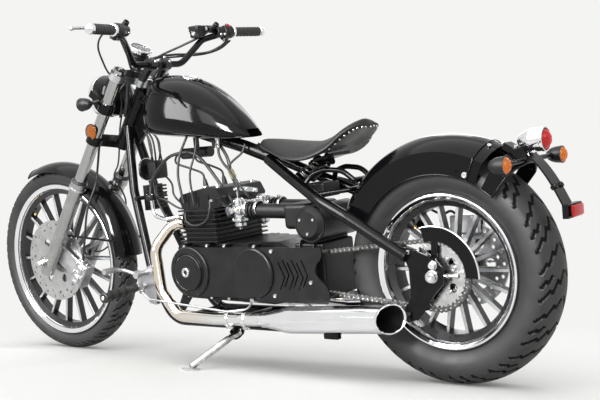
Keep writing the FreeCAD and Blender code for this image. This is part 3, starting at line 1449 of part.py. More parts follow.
def fork_legs(model):
    """Chromed stanchions in their sliders; each slider carries an axle lug."""
    ahead, half = -model.fork_setback, model.fork_half
    stanchions, sliders = [], []
    for side in (-1, 1):
        y = side * half
        stanchions.append(fused(
            rod((ahead, y, model.slider_high - 60), (ahead, y, model.stanchion_top), model.stanchion_radius),
            rod((ahead, y, model.upper_clamp_place + model.clamp_wall), (ahead, y, model.stanchion_top + 6),
                model.stanchion_radius + 2)))
        slider = fused(rod((ahead, y, -model.slider_low), (ahead, y, model.slider_high), model.slider_radius),
                       rod((ahead, y, model.slider_high - 26), (ahead, y, model.slider_high),
                           model.slider_radius + 4),
                       rod((0, y - model.slider_radius, 0), (0, y + model.slider_radius, 0), 22))
        sliders.append(slider.cut([rod((ahead, y, model.slider_high - 60), (ahead, y, 900),
                                       model.stanchion_radius),
                                   rod((0, -200, 0), (0, 200, 0), model.axle_radius)]))
    model.feature("stanchions", Part.makeCompound(stanchions), model.fork())
    model.feature("sliders", Part.makeCompound(sliders), model.fork())


def front_axle(model):
    """Front axle with its spacers and end nuts."""
    half, lug = model.fork_half, model.slider_radius
    z = model.front_axle().z
    x = model.wheelbase
    parts = [rod((x, -half - 34, z), (x, half + 34, z), model.axle_radius)]
    left = model.front_disc_place + model.disc_wall / 2 + 1
    for side, start in ((1, left), (-1, model.front_hub_half + 1)):
        parts.append(rod((x, side * start, z), (x, side * (half - lug), z), 15))
        parts.append(rod((x, side * (half + lug), z), (x, side * (half + lug + 11), z), 14))
    model.feature("front_axle", fused(*parts))


def front_guard(model):
    """Front mudguard."""
    mudguard(model, "front_fender", "front", "", "front_guard_front", "front_guard_end", model.at_front())


def fender_brace(model):
    """Lugs between the sliders and the front guard, and stays out to the guard's tail."""
    ahead, half = -model.fork_setback, model.fork_half
    height = model.slider_high - 36
    inner = half - model.slider_radius
    solids = []
    keep_out = [rod((ahead, side * half, -100), (ahead, side * half, model.slider_high + 40),
                    model.slider_radius) for side in (-1, 1)]
    keep_out += [rod((ahead, side * half, model.slider_high - 26), (ahead, side * half, model.slider_high),
                     model.slider_radius + 4) for side in (-1, 1)]
    guard = model.upright("front_fender").transformed(model.fork().inverse().toMatrix())
    tail = math.radians(132)
    radius = model.front_guard_radius - 26
    for side in (-1, 1):
        solids.append(block((ahead - 12, min(side * 56, side * (inner + 12)), height - 14),
                            (ahead + 12, max(side * 56, side * (inner + 12)), height + 14)))
        foot = (radius * math.cos(tail), side * 61, radius * math.sin(tail))
        solids.append(rod((ahead, side * (inner + 6), 128), foot, 4))
    shapes = [max(s.cut(keep_out + [guard]).Solids, key=lambda p: p.Volume) for s in solids]
    model.feature("front_fender_stays", Part.makeCompound(shapes), model.fork())


def headlamp(model):
    """Headlamp bucket on a bracket between the stanchions, with its rim and lens."""
    radius, length = model.headlamp_radius, model.headlamp_length
    centre = head_lamp_centre(model)
    aim = Vector(1, 0, 0)
    back = centre - aim * (length * 0.55)
    bucket = fused(Part.makeCylinder(radius, length * 0.55, centre - aim * (length * 0.15), aim),
                   Part.makeCone(radius * 0.5, radius, length * 0.4, back, aim))
    hollow = Part.makeCylinder(radius - 3, length, centre + aim * (length * 0.25), aim)
    rim = Part.makeCylinder(radius + 4, 16, centre + aim * (length * 0.4 - 4), aim)
    rim = rim.cut(Part.makeCylinder(radius - 8, 40, centre + aim * (length * 0.2), aim))
    rim = rim.cut(bucket.cut(hollow))
    model.feature("headlamp_bucket", bucket.cut(hollow))
    model.feature("headlamp_rim", rim)
    face = centre + aim * (length * 0.4 + 2)
    lens = Part.makeSphere(radius * 2.2, face - aim * (radius * 2.2 - 12)).common(
        Part.makeCylinder(radius - 8, 30, face - aim * 6, aim))
    model.feature("headlamp_lens", lens)
    headlamp_bracket(model, bucket)


def head_lamp_centre(model):
    return model.on_fork(65, 0, 670)


def headlamp_bracket(model, bucket):
    """Bracket clamped to both stanchions that holds the bucket, and the front indicators on it."""
    ahead, half = -model.fork_setback, model.fork_half
    place = 672
    parts = [block((ahead + 26, -96, place - 12), (ahead + 36, 96, place + 12))]
    for side in (-1, 1):
        parts.append(rod((ahead, side * half, place - 18), (ahead, side * half, place + 18),
                         model.stanchion_radius + 6))
        parts.append(block((ahead, min(side * 100, side * 66), place - 12),
                           (84, max(side * 100, side * 66), place + 12)))
    tubes = [rod((ahead, side * half, 0), (ahead, side * half, 900), model.stanchion_radius)
             for side in (-1, 1)]
    shape = bucket.transformed(model.fork().inverse().toMatrix())
    frame = fused(*parts).cut(tubes + [shape])
    model.feature("headlamp_bracket", max(frame.Solids, key=lambda s: s.Volume), model.fork())
    upright = model.upright("headlamp_bracket")
    shells, lenses = [], []
    for side in (-1, 1):
        base = model.on_fork(34, side * 92, place)
        at = model.on_fork(38, side * 146, place - 14)
        shell, lens = indicator(at.x + 22, at.y, at.z, model.indicator_radius - 1, 1)
        cup = rod((at.x + 14, at.y, at.z), (at.x + 40, at.y, at.z), model.indicator_radius - 3.5)
        stalk = rod(base, (at.x, side * 136, at.z), 6)
        shells.append(fused(shell, stalk).cut([cup, upright]))
        lenses.append(lens)
    model.feature("front_indicators", Part.makeCompound([max(s.Solids, key=lambda p: p.Volume) for s in shells]))
    model.feature("front_indicator_lenses", Part.makeCompound(lenses))


def gauge(model):
    """Round speedometer in a black cup, on a stalk from the upper clamp."""
    base = Vector(-model.fork_setback + 6, 0, model.upper_clamp_place + model.clamp_wall)
    lean = Vector(-0.35, 0, 1).normalize()
    cup_low = base + Vector(28, 0, 20)
    parts = [Part.makeCylinder(9, 26, base + Vector(6, 0, 0), Vector(22, 0, 22)),
             Part.makeCylinder(model.gauge_radius - 5, 44, cup_low, lean),
             Part.makeCylinder(model.gauge_radius, 12, cup_low + lean * 44, lean)]
    model.feature("gauge", fused(*parts).cut(block((-100, -100, 700), (100, 100, base.z))), model.fork())


def front_caliper(model):
    """Front caliper behind the left slider, over the disc's trailing edge."""
    disc = model.front_disc_place
    half = model.disc_wall / 2 + model.caliper_gap
    reach = model.front_disc_radius
    body = rounded_block((-reach - 20, disc - half - model.caliper_wall, -4),
                         (-reach + 40, disc + half + model.caliper_wall, 92), 7)
    slot = block((-reach - 6, disc - half, -200), (200, disc + half, 200))
    slider = rod((-model.fork_setback, model.fork_half, -50), (-model.fork_setback, model.fork_half, 300),
                 model.slider_radius)
    arm = block((-reach + 30, disc + half + 4, 20), (-model.fork_setback - 8, disc + half + 14, 84))
    model.feature("front_caliper", fused(body.cut(slot), arm).cut(slider), model.fork())


# Side stand

def stand_points(model):
    """Pivot and foot of the deployed stand, on the upright machine; the foot meets the ground."""
    slope = math.tan(math.radians(model.lean))
    pivot = Vector(model.stand_place, model.cradle_half + 4, model.cradle_height - 30)
    foot = Vector(model.stand_place + 62, model.stand_half, model.stand_half * slope)
    return pivot, foot


def fold_axis(model):
    """Axis that swings the stand from its foot's place back and up along the machine."""
    pivot, foot = stand_points(model)
    deployed = (foot - pivot).normalize()
    folded = Vector(-0.97, 0.16, -0.03).normalize()
    return deployed.cross(folded).normalize()


def side_stand(model):
    """Leg with a flat foot plate, on a pin through the frame's lug."""
    pivot, foot = stand_points(model)
    axis = fold_axis(model)
    turn = math.radians(model.lean)
    upward = Vector(0, -math.sin(turn), math.cos(turn))
    along = (foot + upward * 10 - pivot).normalize()
    leg = rod(pivot + along * 30, foot + upward * 10, model.stand_radius)
    eye = Part.makeCylinder(17, 12, pivot - axis * 6, axis)
    strap = block((0, -9, -6), (44, 9, 6))
    flat = (along - axis * along.dot(axis)).normalize()
    strap.Placement = Placement(pivot, Rotation(flat, axis.cross(flat), axis, "ZXY"))
    plate = Part.makeCylinder(model.stand_foot, 7, foot, upward)
    hole = Part.makeCylinder(model.stand_pin + 0.05, 60, pivot - axis * 30, axis)
    below = Part.makeBox(400, 400, 100, Vector(-200, -200, -100))
    below.Placement = Placement(foot, Rotation(Vector(0, 0, 1), upward))
    model.feature("side_stand", fused(leg, eye, strap, plate).cut([hole, below]))


def stand_lug(model):
    """Ears under the left cradle tube for the stand's pin, and the bridge that holds the lower one."""
    pivot, foot = stand_points(model)
    axis = fold_axis(model)
    top = model.cradle_height
    ears = [Part.makeCylinder(16, 6, pivot + axis * (side * 10 - 3), axis) for side in (-1, 1)]
    neck = rod((pivot.x, model.cradle_half, top - 4), pivot + axis * 9, 10)
    low = pivot - axis * 10
    bridge = tube([(pivot.x, model.cradle_half - 12, top - 3), (pivot.x, low.y - 30, top - 22),
                   (pivot.x, low.y - 26, low.z + 2), (low.x, low.y - 4, low.z)], 6, 10)
    return ears[0].multiFuse([ears[1], neck, bridge]).cut(stand_room(model))


def build(model):
    """Makes every sub-part, from the wheels up."""
    wheels(model)
    rear_guards(model)
    main_frame(model)
    rear_axle(model)
    chain(model)
    chain_guard(model)
    crankcase(model)
    left_cover(model)
    right_cover(model)
    chain_cover(model)
    cylinder_block(model)
    cylinder_head(model)
    carburettors(model)
    airbox(model)
    battery_box(model)
    electrics(model)
    exhausts(model)
    fuel_tank(model)
    filler_cap(model)
    seat(model)
    seat_springs(model)
    rear_caliper(model)
    tail_bracket(model)
    tail_lamp(model)
    red_lenses(model)
    rear_indicators(model)
    foot_controls(model)
    steering_stem(model)
    upper_clamp(model)
    handlebar(model)
    grips(model)
    lever_assembly(model, "clutch_lever", 1)
    lever_assembly(model, "brake_lever", -1)
    fork_legs(model)
    front_axle(model)
    front_guard(model)
    fender_brace(model)
    headlamp(model)
    gauge(model)
    front_caliper(model)
    side_stand(model)
    model.doc.recompute()


def row_origin(model):
    """Point on the floor below the middle of the parked machine's box."""
    box = FreeCAD.BoundBox()
    for piece in model.pieces:
        points, facets = piece.Shape.tessellate(2.0)
        for point in points:
            box.add(point)
    return Vector(box.Center.x, box.Center.y, 0)


def check(model):
    """Stops where an object failed or a sub-part isn't a sound solid."""
    for item in model.doc.Objects:
        if "Invalid" in item.State or "Error" in item.State:
            raise ValueError(item.Label + " failed to build: " + str(item.State))
    for piece in model.pieces:
        shape = piece.Shape
        if shape.isNull() or not shape.isValid() or not shape.Solids:
            raise ValueError(piece.Label + " is not a valid solid")


def main():
    model = Model()
    build(model)
    origin = row_origin(model)
    for piece in model.pieces:
        piece.Placement = Placement(-origin, Rotation()).multiply(piece.Placement)
    model.doc.recompute()
    check(model)
    os.makedirs("parts", exist_ok=True)
    for piece in model.pieces:
        piece.Shape.exportStep("parts/%s.step" % piece.Label)
    return model, origin


if __name__ == "__main__":
    main()
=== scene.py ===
"""Looks of a low cruiser motorcycle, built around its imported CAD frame."""

import json
import math

import bpy
import bmesh
import numpy as np
from mathutils import Matrix


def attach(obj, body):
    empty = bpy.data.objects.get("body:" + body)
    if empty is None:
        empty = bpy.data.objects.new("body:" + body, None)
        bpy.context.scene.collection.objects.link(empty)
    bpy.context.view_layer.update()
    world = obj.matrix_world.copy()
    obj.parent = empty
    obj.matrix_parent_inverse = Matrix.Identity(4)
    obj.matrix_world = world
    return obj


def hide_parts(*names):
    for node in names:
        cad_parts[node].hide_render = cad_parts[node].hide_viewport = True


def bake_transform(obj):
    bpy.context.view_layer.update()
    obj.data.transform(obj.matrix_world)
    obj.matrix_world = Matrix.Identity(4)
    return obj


bl_info = {
    "name": "Cruiser motorcycle looks",
    "version": (1, 0, 0),
    "blender": (4, 5, 0),
    "location": "3D View > Sidebar > Motorcycle",
    "description": "Dresses the packed motorcycle with detailed pieces and procedural finishes",
    "category": "Object",
}

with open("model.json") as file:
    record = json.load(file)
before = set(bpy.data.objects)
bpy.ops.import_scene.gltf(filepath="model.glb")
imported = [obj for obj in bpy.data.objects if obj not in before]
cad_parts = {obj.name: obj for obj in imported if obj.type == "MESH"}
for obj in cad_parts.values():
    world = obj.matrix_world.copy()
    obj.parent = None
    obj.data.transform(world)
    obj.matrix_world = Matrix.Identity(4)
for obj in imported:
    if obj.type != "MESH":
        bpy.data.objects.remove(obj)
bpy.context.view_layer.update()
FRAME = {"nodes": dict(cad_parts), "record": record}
NODES = FRAME["nodes"]
JOINTS = {joint["name"]: joint for joint in FRAME["record"]["behaviour"]["joints"]}

# The upright machine's own frame has its origin on the ground below the rear axle. ROW carries a
# point from it to the library's frame, and FORK does so from the fork's frame on the front axle.
LATERAL = np.array(JOINTS["rear_wheel_spin"]["axis"], float)
STEER_UP = np.array(JOINTS["steering_turn"]["axis"], float)
REAR_AXLE = np.array(JOINTS["rear_wheel_spin"]["pos_m"], float)
FRONT_AXLE = np.array(JOINTS["front_wheel_spin"]["pos_m"], float)
REAR_AXLE_HEIGHT = 0.32415


def rigid(x_axis, y_axis, z_axis, origin):
    """4x4 matrix with the given axes as columns."""
    matrix = np.eye(4)
    matrix[:3, 0], matrix[:3, 1], matrix[:3, 2], matrix[:3, 3] = x_axis, y_axis, z_axis, origin
    return matrix


AHEAD = np.array([1.0, 0.0, 0.0])
UPWARD = np.cross(AHEAD, LATERAL)
ROW = rigid(AHEAD, LATERAL, UPWARD, REAR_AXLE - UPWARD * REAR_AXLE_HEIGHT)
FORK = rigid(np.cross(LATERAL, STEER_UP), LATERAL, STEER_UP, FRONT_AXLE)
REAR = rigid(AHEAD, LATERAL, UPWARD, REAR_AXLE)
FRONT = rigid(AHEAD, LATERAL, UPWARD, FRONT_AXLE)
TAU = 2 * math.pi
FORWARD, BACKWARD = (1.0, 0.0, 0.0), (-1.0, 0.0, 0.0)
SIDEWAYS, UP = (0.0, 1.0, 0.0), (0.0, 0.0, 1.0)

# The pieces are worked out in millimetres, in the frame that suits each of them.
MM = np.diag([0.001, 0.001, 0.001, 1.0])
UPRIGHT, ON_FORK, AT_REAR, AT_FRONT = ROW @ MM, FORK @ MM, REAR @ MM, FRONT @ MM


# Sizes and colours that a user would change

class MotorcycleWheels(bpy.types.PropertyGroup):
    """Wheels and tyres."""
    groove_depth: bpy.props.FloatProperty(
        name="Groove depth", description="Depth of the tyres' tread grooves", default=0.004, unit="LENGTH")
    spoke_count: bpy.props.IntProperty(
        name="Spokes", description="Spokes in each wheel", default=18, min=3)


class MotorcycleFinish(bpy.types.PropertyGroup):
    """Colours of the main finishes."""
    paint: bpy.props.FloatVectorProperty(
        name="Paint", description="Colour of the tank and guards", subtype="COLOR", size=3,
        default=(0.006, 0.006, 0.007))
    leather: bpy.props.FloatVectorProperty(
        name="Leather", description="Colour of the saddle", subtype="COLOR", size=3,
        default=(0.0075, 0.007, 0.007))
    backdrop: bpy.props.FloatVectorProperty(
        name="Backdrop", description="Colour of the studio floor", subtype="COLOR", size=3,
        default=(0.90, 0.90, 0.887))


# Surfaces worked out on grids

def unit(vectors):
    """Vectors divided by their lengths."""
    vectors = np.asarray(vectors, float)
    return vectors / np.maximum(np.linalg.norm(vectors, axis=-1, keepdims=True), 1e-12)


def placed(points, matrix):
    """Points carried by a 4x4 matrix."""
    points = np.asarray(points, float)
    return points @ matrix[:3, :3].T + matrix[:3, 3]


def patch(grid, closed_u=False, closed_v=True, cap_first=False, cap_last=False, finish=0):
    """Surface over a grid of points (u, v, 3): each cell becomes one quad, and a cap is one flat face."""
    count_u, count_v = grid.shape[:2]
    u = np.arange(count_u if closed_u else count_u - 1)
    v = np.arange(count_v if closed_v else count_v - 1)
    a, b = np.meshgrid(u, v, indexing="ij")
    c, d = (a + 1) % count_u, (b + 1) % count_v
    quads = np.stack([a * count_v + b, a * count_v + d, c * count_v + d, c * count_v + b], -1).reshape(-1)
    sizes = np.full(len(quads) // 4, 4)
    if cap_first:
        quads, sizes = np.append(quads, np.arange(count_v)[::-1]), np.append(sizes, count_v)
    if cap_last:
        quads = np.append(quads, (count_u - 1) * count_v + np.arange(count_v))
        sizes = np.append(sizes, count_v)
    return grid.reshape(-1, 3), quads, sizes, np.full(len(sizes), finish)


def moved(part, matrix):
    return placed(part[0], matrix), part[1], part[2], part[3]


def plate(outline, low, high, bevel=1.0, finish=0):
    """Outline of (x, z) points raised across the machine, from y = low to y = high."""
    points, corners, sizes, finishes = prism(outline, low, high, bevel, finish)
    return points[:, [0, 2, 1]], corners, sizes, finishes


def box(low, high, bevel=1.5, finish=0):
    """Box with bevelled edges and rounded corners in plan."""
    low, high = np.asarray(low, float), np.asarray(high, float)
    middle, half = (low + high) / 2, (high - low) / 2
    reach = min(bevel * 2, half[0], half[1])
    angle = np.linspace(0, math.pi / 2, 4)
    corner = np.stack([np.cos(angle), np.sin(angle)], -1) * reach
    turns = [(1, 1), (-1, 1), (-1, -1), (1, -1)]
    rows = [(corner if sx * sy > 0 else corner[::-1]) * (sx, sy) + np.array([sx, sy]) * (half[:2] - reach)
            for sx, sy in turns]
    shape = prism(np.concatenate(rows), low[2], high[2], min(bevel, half[2]), finish)
    return shape[0] + [middle[0], middle[1], 0], *shape[1:]


def about_axle(angle):
    """4x4 turns about the Y axis by the given angles."""
    angle = np.atleast_1d(angle)
    matrix = np.tile(np.eye(4), (len(angle), 1, 1))
    matrix[:, 0, 0] = matrix[:, 2, 2] = np.cos(angle)
    matrix[:, 0, 2], matrix[:, 2, 0] = np.sin(angle), -np.sin(angle)
    return matrix


def arc(start, end, radius, bulge=1.0, count=12):
    """Points on the arc from start to end that bulges to the left of the way there, or right if bulge is -1."""
    start, end = np.asarray(start, float), np.asarray(end, float)
    chord = end - start
    length = np.linalg.norm(chord)
    left = np.array([-chord[1], chord[0]]) / length * bulge
    centre = (start + end) / 2 - left * math.sqrt(max(radius ** 2 - length ** 2 / 4, 0.0))
    first, last = start - centre, end - centre
    turn = math.atan2(first[0] * last[1] - first[1] * last[0], first @ last)
    angle = math.atan2(first[1], first[0]) + np.linspace(0, turn, count)
    return centre + radius * np.stack([np.cos(angle), np.sin(angle)], -1)


def mirrored(part):
    """The part's image on the machine's other side, its faces turned round again."""
    points, corners, sizes, finish = part
    ends = np.cumsum(sizes)
    starts = np.repeat(ends - sizes, sizes)
    last = np.repeat(ends, sizes) - 1
    return points * [1, -1, 1], corners[starts + last - np.arange(len(corners))], sizes, finish


def mirror_all(parts):
    """The parts' other-side copies."""
    return [mirrored(part) for part in parts]


def both_sides(parts):
    """The parts and their other-side copies."""
    return parts + mirror_all(parts)


def copies(part, matrices):
    """One copy of the part for each 4x4 matrix, worked out in a single product."""
    points, corners, sizes, finish = part
    matrices = np.asarray(matrices, float)
    count, total = len(matrices), len(points)
    spread = np.einsum("nij,pj->npi", matrices[:, :3, :3], points) + matrices[:, None, :3, 3]
    shifted = corners[None] + np.arange(count)[:, None] * total
    return spread.reshape(-1, 3), shifted.reshape(-1), np.tile(sizes, count), np.tile(finish, count)


def joined(parts):
    """Several parts as one."""
    shift = np.cumsum([0] + [len(part[0]) for part in parts[:-1]])
    corners = np.concatenate([part[1] + start for part, start in zip(parts, shift)])
    return (np.concatenate([part[0] for part in parts]), corners,
            np.concatenate([part[2] for part in parts]), np.concatenate([part[3] for part in parts]))


def path_frame(path, up):
    """Side and normal at each point of a path, so that side x normal runs along it."""
    tangent = unit(np.gradient(path, axis=0))
    side = unit(np.cross(np.broadcast_to(up, path.shape), tangent))
    return side, np.cross(tangent, side)


def pipe(path, radius, around=24, up=UP, caps=True, finish=0):
    """Round pipe: at each path point a circle of its radius in the plane of side and normal."""
    path = np.asarray(path, float)
    radius = np.broadcast_to(np.asarray(radius, float), len(path))
    side, normal = path_frame(path, up)
    angle = np.linspace(0, TAU, around, endpoint=False)
    ring = np.cos(angle)[None, :, None] * side[:, None] + np.sin(angle)[None, :, None] * normal[:, None]
    return patch(path[:, None] + radius[:, None, None] * ring, cap_first=caps, cap_last=caps, finish=finish)


def ribbon(path, outline, up=UP, closed=False, finish=0):
    """An outline of (side, normal) points carried along a path."""
    path, outline = np.asarray(path, float), np.asarray(outline, float)
    side, normal = path_frame(path, up)
    grid = path[:, None] + outline[None, :, :1] * side[:, None] + outline[None, :, 1:] * normal[:, None]
    return patch(grid, closed_u=closed, cap_first=not closed, cap_last=not closed, finish=finish)


def axis_matrix(origin, along, hint=UP):
    """Frame whose Z runs along a direction and whose X is as near as it can be to a hint."""
    z = unit(along)
    y = np.cross(z, np.asarray(hint, float))
    if np.linalg.norm(y) < 1e-6:
        y = np.cross(z, np.array([1.0, 0.0, 0.0]))
    y = unit(y)
    return rigid(np.cross(y, z), y, z, origin)


def spun(profile, origin=(0, 0, 0), along=UP, around=48, closed=False, finish=0):
    """Surface of revolution: profile points (radius, distance) turned about a line."""
    profile = np.asarray(profile, float)
    angle = np.linspace(0, TAU, around, endpoint=False)
    grid = np.stack([profile[:, None, 0] * np.cos(angle), profile[:, None, 0] * np.sin(angle),
                     np.broadcast_to(profile[:, None, 1], (len(profile), around))], -1)
    return moved(patch(grid, closed_u=closed, cap_first=not closed, cap_last=not closed, finish=finish),
                 axis_matrix(np.asarray(origin, float), along))


def rounded_profile(corners, radius=1.5, steps=4):
    """Profile with each inner corner replaced by a quadratic curve that starts and ends a radius away."""
    corners = np.asarray(corners, float)
    t = np.linspace(0, 1, steps + 1)[:, None]
    rows = [corners[:1]]
    for before, corner, after in zip(corners, corners[1:], corners[2:]):
        back, ahead = before - corner, after - corner
        reach_back = min(radius, np.linalg.norm(back) * 0.45)
        reach_ahead = min(radius, np.linalg.norm(ahead) * 0.45)
        start, end = corner + unit(back) * reach_back, corner + unit(ahead) * reach_ahead
        rows.append((1 - t) ** 2 * start + 2 * t * (1 - t) * corner + t ** 2 * end)
    rows.append(corners[-1:])
    return np.concatenate(rows)


def prism(outline, low, high, bevel=1.0, finish=0):
    """Closed outline of (x, y) points raised from low to high, with bevelled rims."""
    outline = np.asarray(outline, float)
    back, ahead = outline - np.roll(outline, 1, 0), np.roll(outline, -1, 0) - outline
    turn = np.sum(outline[:, 0] * np.roll(outline[:, 1], -1) - outline[:, 1] * np.roll(outline[:, 0], -1))
    if turn < 0:
        return prism(outline[::-1], low, high, bevel, finish)
    normal = unit(unit(np.stack([back[:, 1], -back[:, 0]], -1)) + unit(np.stack([ahead[:, 1], -ahead[:, 0]], -1)))
    levels = [(-bevel, low), (0, low + bevel), (0, high - bevel), (-bevel, high)]
    rows = [np.concatenate([outline + normal * grow, np.full((len(outline), 1), z)], 1) for grow, z in levels]
    return patch(np.stack(rows), cap_first=True, cap_last=True, finish=finish)


def curve_through(points, samples=40):
    """Smooth path through points: a Catmull-Rom spline, cubic between each two of them."""
    points = np.asarray(points, float)
    padded = np.concatenate([2 * points[:1] - points[1:2], points, 2 * points[-1:] - points[-2:-1]])
    place = np.linspace(0, len(points) - 1 - 1e-9, samples)
    index = place.astype(int)
    t = (place - index)[:, None]
    a, b, c, d = (padded[index + k] for k in range(4))
    return 0.5 * (2 * b + (c - a) * t + (2 * a - 5 * b + 4 * c - d) * t ** 2 + (3 * b - a - 3 * c + d) * t ** 3)


def bent_path(points, bend, step=5.0):
    """Straight runs with each corner replaced by an arc of the bend's radius, as the frame's tubes are."""
    points = np.asarray(points, float)
    rows = [points[:1]]
    for before, corner, after in zip(points, points[1:], points[2:]):
        back, ahead = before - corner, after - corner
        reach = 0.45 * min(np.linalg.norm(back), np.linalg.norm(ahead))
        back, ahead = unit(back), unit(ahead)
        half = math.acos(float(np.clip(back @ ahead, -1, 1))) / 2
        radius = min(bend / math.tan(half), reach) * math.tan(half)
        centre = corner + unit(back + ahead) * radius / math.sin(half)
        start = corner + back * radius / math.tan(half)
        sweep = math.pi - 2 * half
        turn = np.linspace(0, sweep, max(3, int(sweep * radius / step)))[:, None]
        rows.append(centre + (start - centre) * np.cos(turn) - back * radius * np.sin(turn))
    rows.append(points[-1:])
    return np.concatenate(rows)


def rod(start, end, radius, around=20, bevel=1.0, finish=0):
    """Round bar with bevelled ends."""
    start, end = np.asarray(start, float), np.asarray(end, float)
    length = float(np.linalg.norm(end - start))
    profile = [(0, 0), (radius - bevel, 0), (radius, bevel), (radius, length - bevel),
               (radius - bevel, length), (0, length)]
    return spun(profile[1:-1], start, end - start, around, finish=finish)


def bolt_head(radius=6.0, height=6.0, finish=0):
    """Socket-head screw, its foot at the origin and its head along +Z: a rim, a flat and a sunk socket."""
    angle = np.linspace(0, TAU, 12, endpoint=False)
    levels = [(1.0, -0.4), (1.0, 0.85), (0.9, 1.0), (0.55, 1.0), (0.5, 0.55)]
    grid = np.stack([np.stack([radius * size * np.cos(angle), radius * size * np.sin(angle),
                               np.full(12, height * level)], -1) for size, level in levels])
    return patch(grid, cap_first=True, cap_last=True, finish=finish)


def bolts(places, direction, radius=6.0, height=6.0, finish=0):
    """Screws at a list of places, all facing one way."""
    return copies(bolt_head(radius, height, finish),
                  [axis_matrix(np.asarray(p, float), direction, (1.0, 0.3, 0.2)) for p in places])


def piece(name, parts, body, finishes, replaces=(), crease=35.0, matrix=None):
    """Mesh object from parts: faces turned outwards, smooth but for edges sharper than the crease angle.
    Its finishes are names in FINISH, in the order of the faces' finish numbers. A piece given no body is attached to
    none."""
    points, corners, sizes, finish = joined(parts)
    if matrix is not None:
        points = placed(points, matrix)
    mesh = bpy.data.meshes.new(name)
    mesh.vertices.add(len(points))
    mesh.vertices.foreach_set("co", points.astype(np.float32).reshape(-1))
    mesh.loops.add(len(corners))
    mesh.loops.foreach_set("vertex_index", corners.astype(np.int32))
    mesh.polygons.add(len(sizes))
    mesh.polygons.foreach_set("loop_start", (np.cumsum(sizes) - sizes).astype(np.int32))
    mesh.polygons.foreach_set("material_index", finish.astype(np.int32))
    for label in finishes.split():
        mesh.materials.append(FINISH[label])
    mesh.update(calc_edges=True)
    shell = bmesh.new()
    shell.from_mesh(mesh)
    bmesh.ops.remove_doubles(shell, verts=shell.verts, dist=1e-6)
    bmesh.ops.recalc_face_normals(shell, faces=shell.faces)
    for face in shell.faces:
        face.smooth = True
    shell.to_mesh(mesh)
    shell.free()
    mesh.set_sharp_from_angle(angle=math.radians(crease))
    item = bpy.data.objects.new(name, mesh)
    bpy.context.scene.collection.objects.link(item)
    if body:
        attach(item, body)
    if replaces:
        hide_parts(*replaces)
    return item


# Finishes

def new_finish(name, color, rough, metal=0.0, **sockets):
    """A material with one Principled surface, its plain values set on the sockets themselves."""
    material = bpy.data.materials.new(name)
    material.use_nodes = True
    shader = material.node_tree.nodes["Principled BSDF"]
    shader.inputs["Base Color"].default_value = (*color, 1.0)
    shader.inputs["Roughness"].default_value = rough
    shader.inputs["Metallic"].default_value = metal
    for socket, number in sockets.items():
        shader.inputs[socket.replace("_", " ")].default_value = number
    return material


def node(material, kind, **settings):
    item = material.node_tree.nodes.new(kind)
    for key, setting in settings.items():
        if key in item.inputs:
            item.inputs[key].default_value = setting
        else:
            setattr(item, key, setting)
    return item


def wire(material, source, target):
    material.node_tree.links.new(source, target)


def placed_texture(material, kind, **settings):
    """Node whose first input is the place on the object."""
    place = node(material, "ShaderNodeTexCoord")
    item = node(material, kind, **settings)
    wire(material, place.outputs["Object"], item.inputs[0])
    return item


def grain(material, scale, detail=4.0, roughness=0.55, stretch=(1.0, 1.0, 1.0)):
    """Noise on Object coordinates, which may be stretched along an axis."""
    place = node(material, "ShaderNodeTexCoord")
    mapping = node(material, "ShaderNodeMapping", Scale=stretch)
    noise = node(material, "ShaderNodeTexNoise", Scale=scale, Detail=detail, Roughness=roughness)
    wire(material, place.outputs["Object"], mapping.inputs["Vector"])
    wire(material, mapping.outputs["Vector"], noise.inputs["Vector"])
    return noise.outputs["Fac"]


def ramp(material, source, low, high, start=0.3, end=0.7):
    """Maps a 0..1 pattern between two numbers."""
    item = node(material, "ShaderNodeMapRange")
    item.inputs["From Min"].default_value, item.inputs["From Max"].default_value = start, end
    item.inputs["To Min"].default_value, item.inputs["To Max"].default_value = low, high
    wire(material, source, item.inputs["Value"])
    return item.outputs["Result"]


def blend_colors(material, source, low, high, start=0.35, end=0.65):
    """Colour that runs from low to high with a pattern."""
    item = node(material, "ShaderNodeValToRGB")
    item.color_ramp.elements[0].position, item.color_ramp.elements[1].position = start, end
    item.color_ramp.elements[0].color, item.color_ramp.elements[1].color = (*low, 1.0), (*high, 1.0)
    wire(material, source, item.inputs["Fac"])
    return item.outputs["Color"]


def into(material, source, socket):
    wire(material, source, material.node_tree.nodes["Principled BSDF"].inputs[socket])


def bump(material, source, strength, distance=0.001):
    item = node(material, "ShaderNodeBump", Strength=strength, Distance=distance)
    wire(material, source, item.inputs["Height"])
    into(material, item.outputs["Normal"], "Normal")


def varied(name, color, rough, spread=0.06, metal=0.0, scale=14.0, fine=900.0, fine_bump=0.05, tint=1.35,
           **sockets):
    """A finish whose colour and roughness drift softly over the surface, with a fine grain in its normals."""
    material = new_finish(name, color, rough, metal, **sockets)
    broad = grain(material, scale, 5.0)
    lighter = tuple(min(1.0, channel * tint) for channel in color)
    into(material, blend_colors(material, broad, color, lighter), "Base Color")
    into(material, ramp(material, broad, max(rough - spread, 0.02), rough + spread), "Roughness")
    bump(material, grain(material, fine, 2.0), fine_bump, 0.0005)
    return material


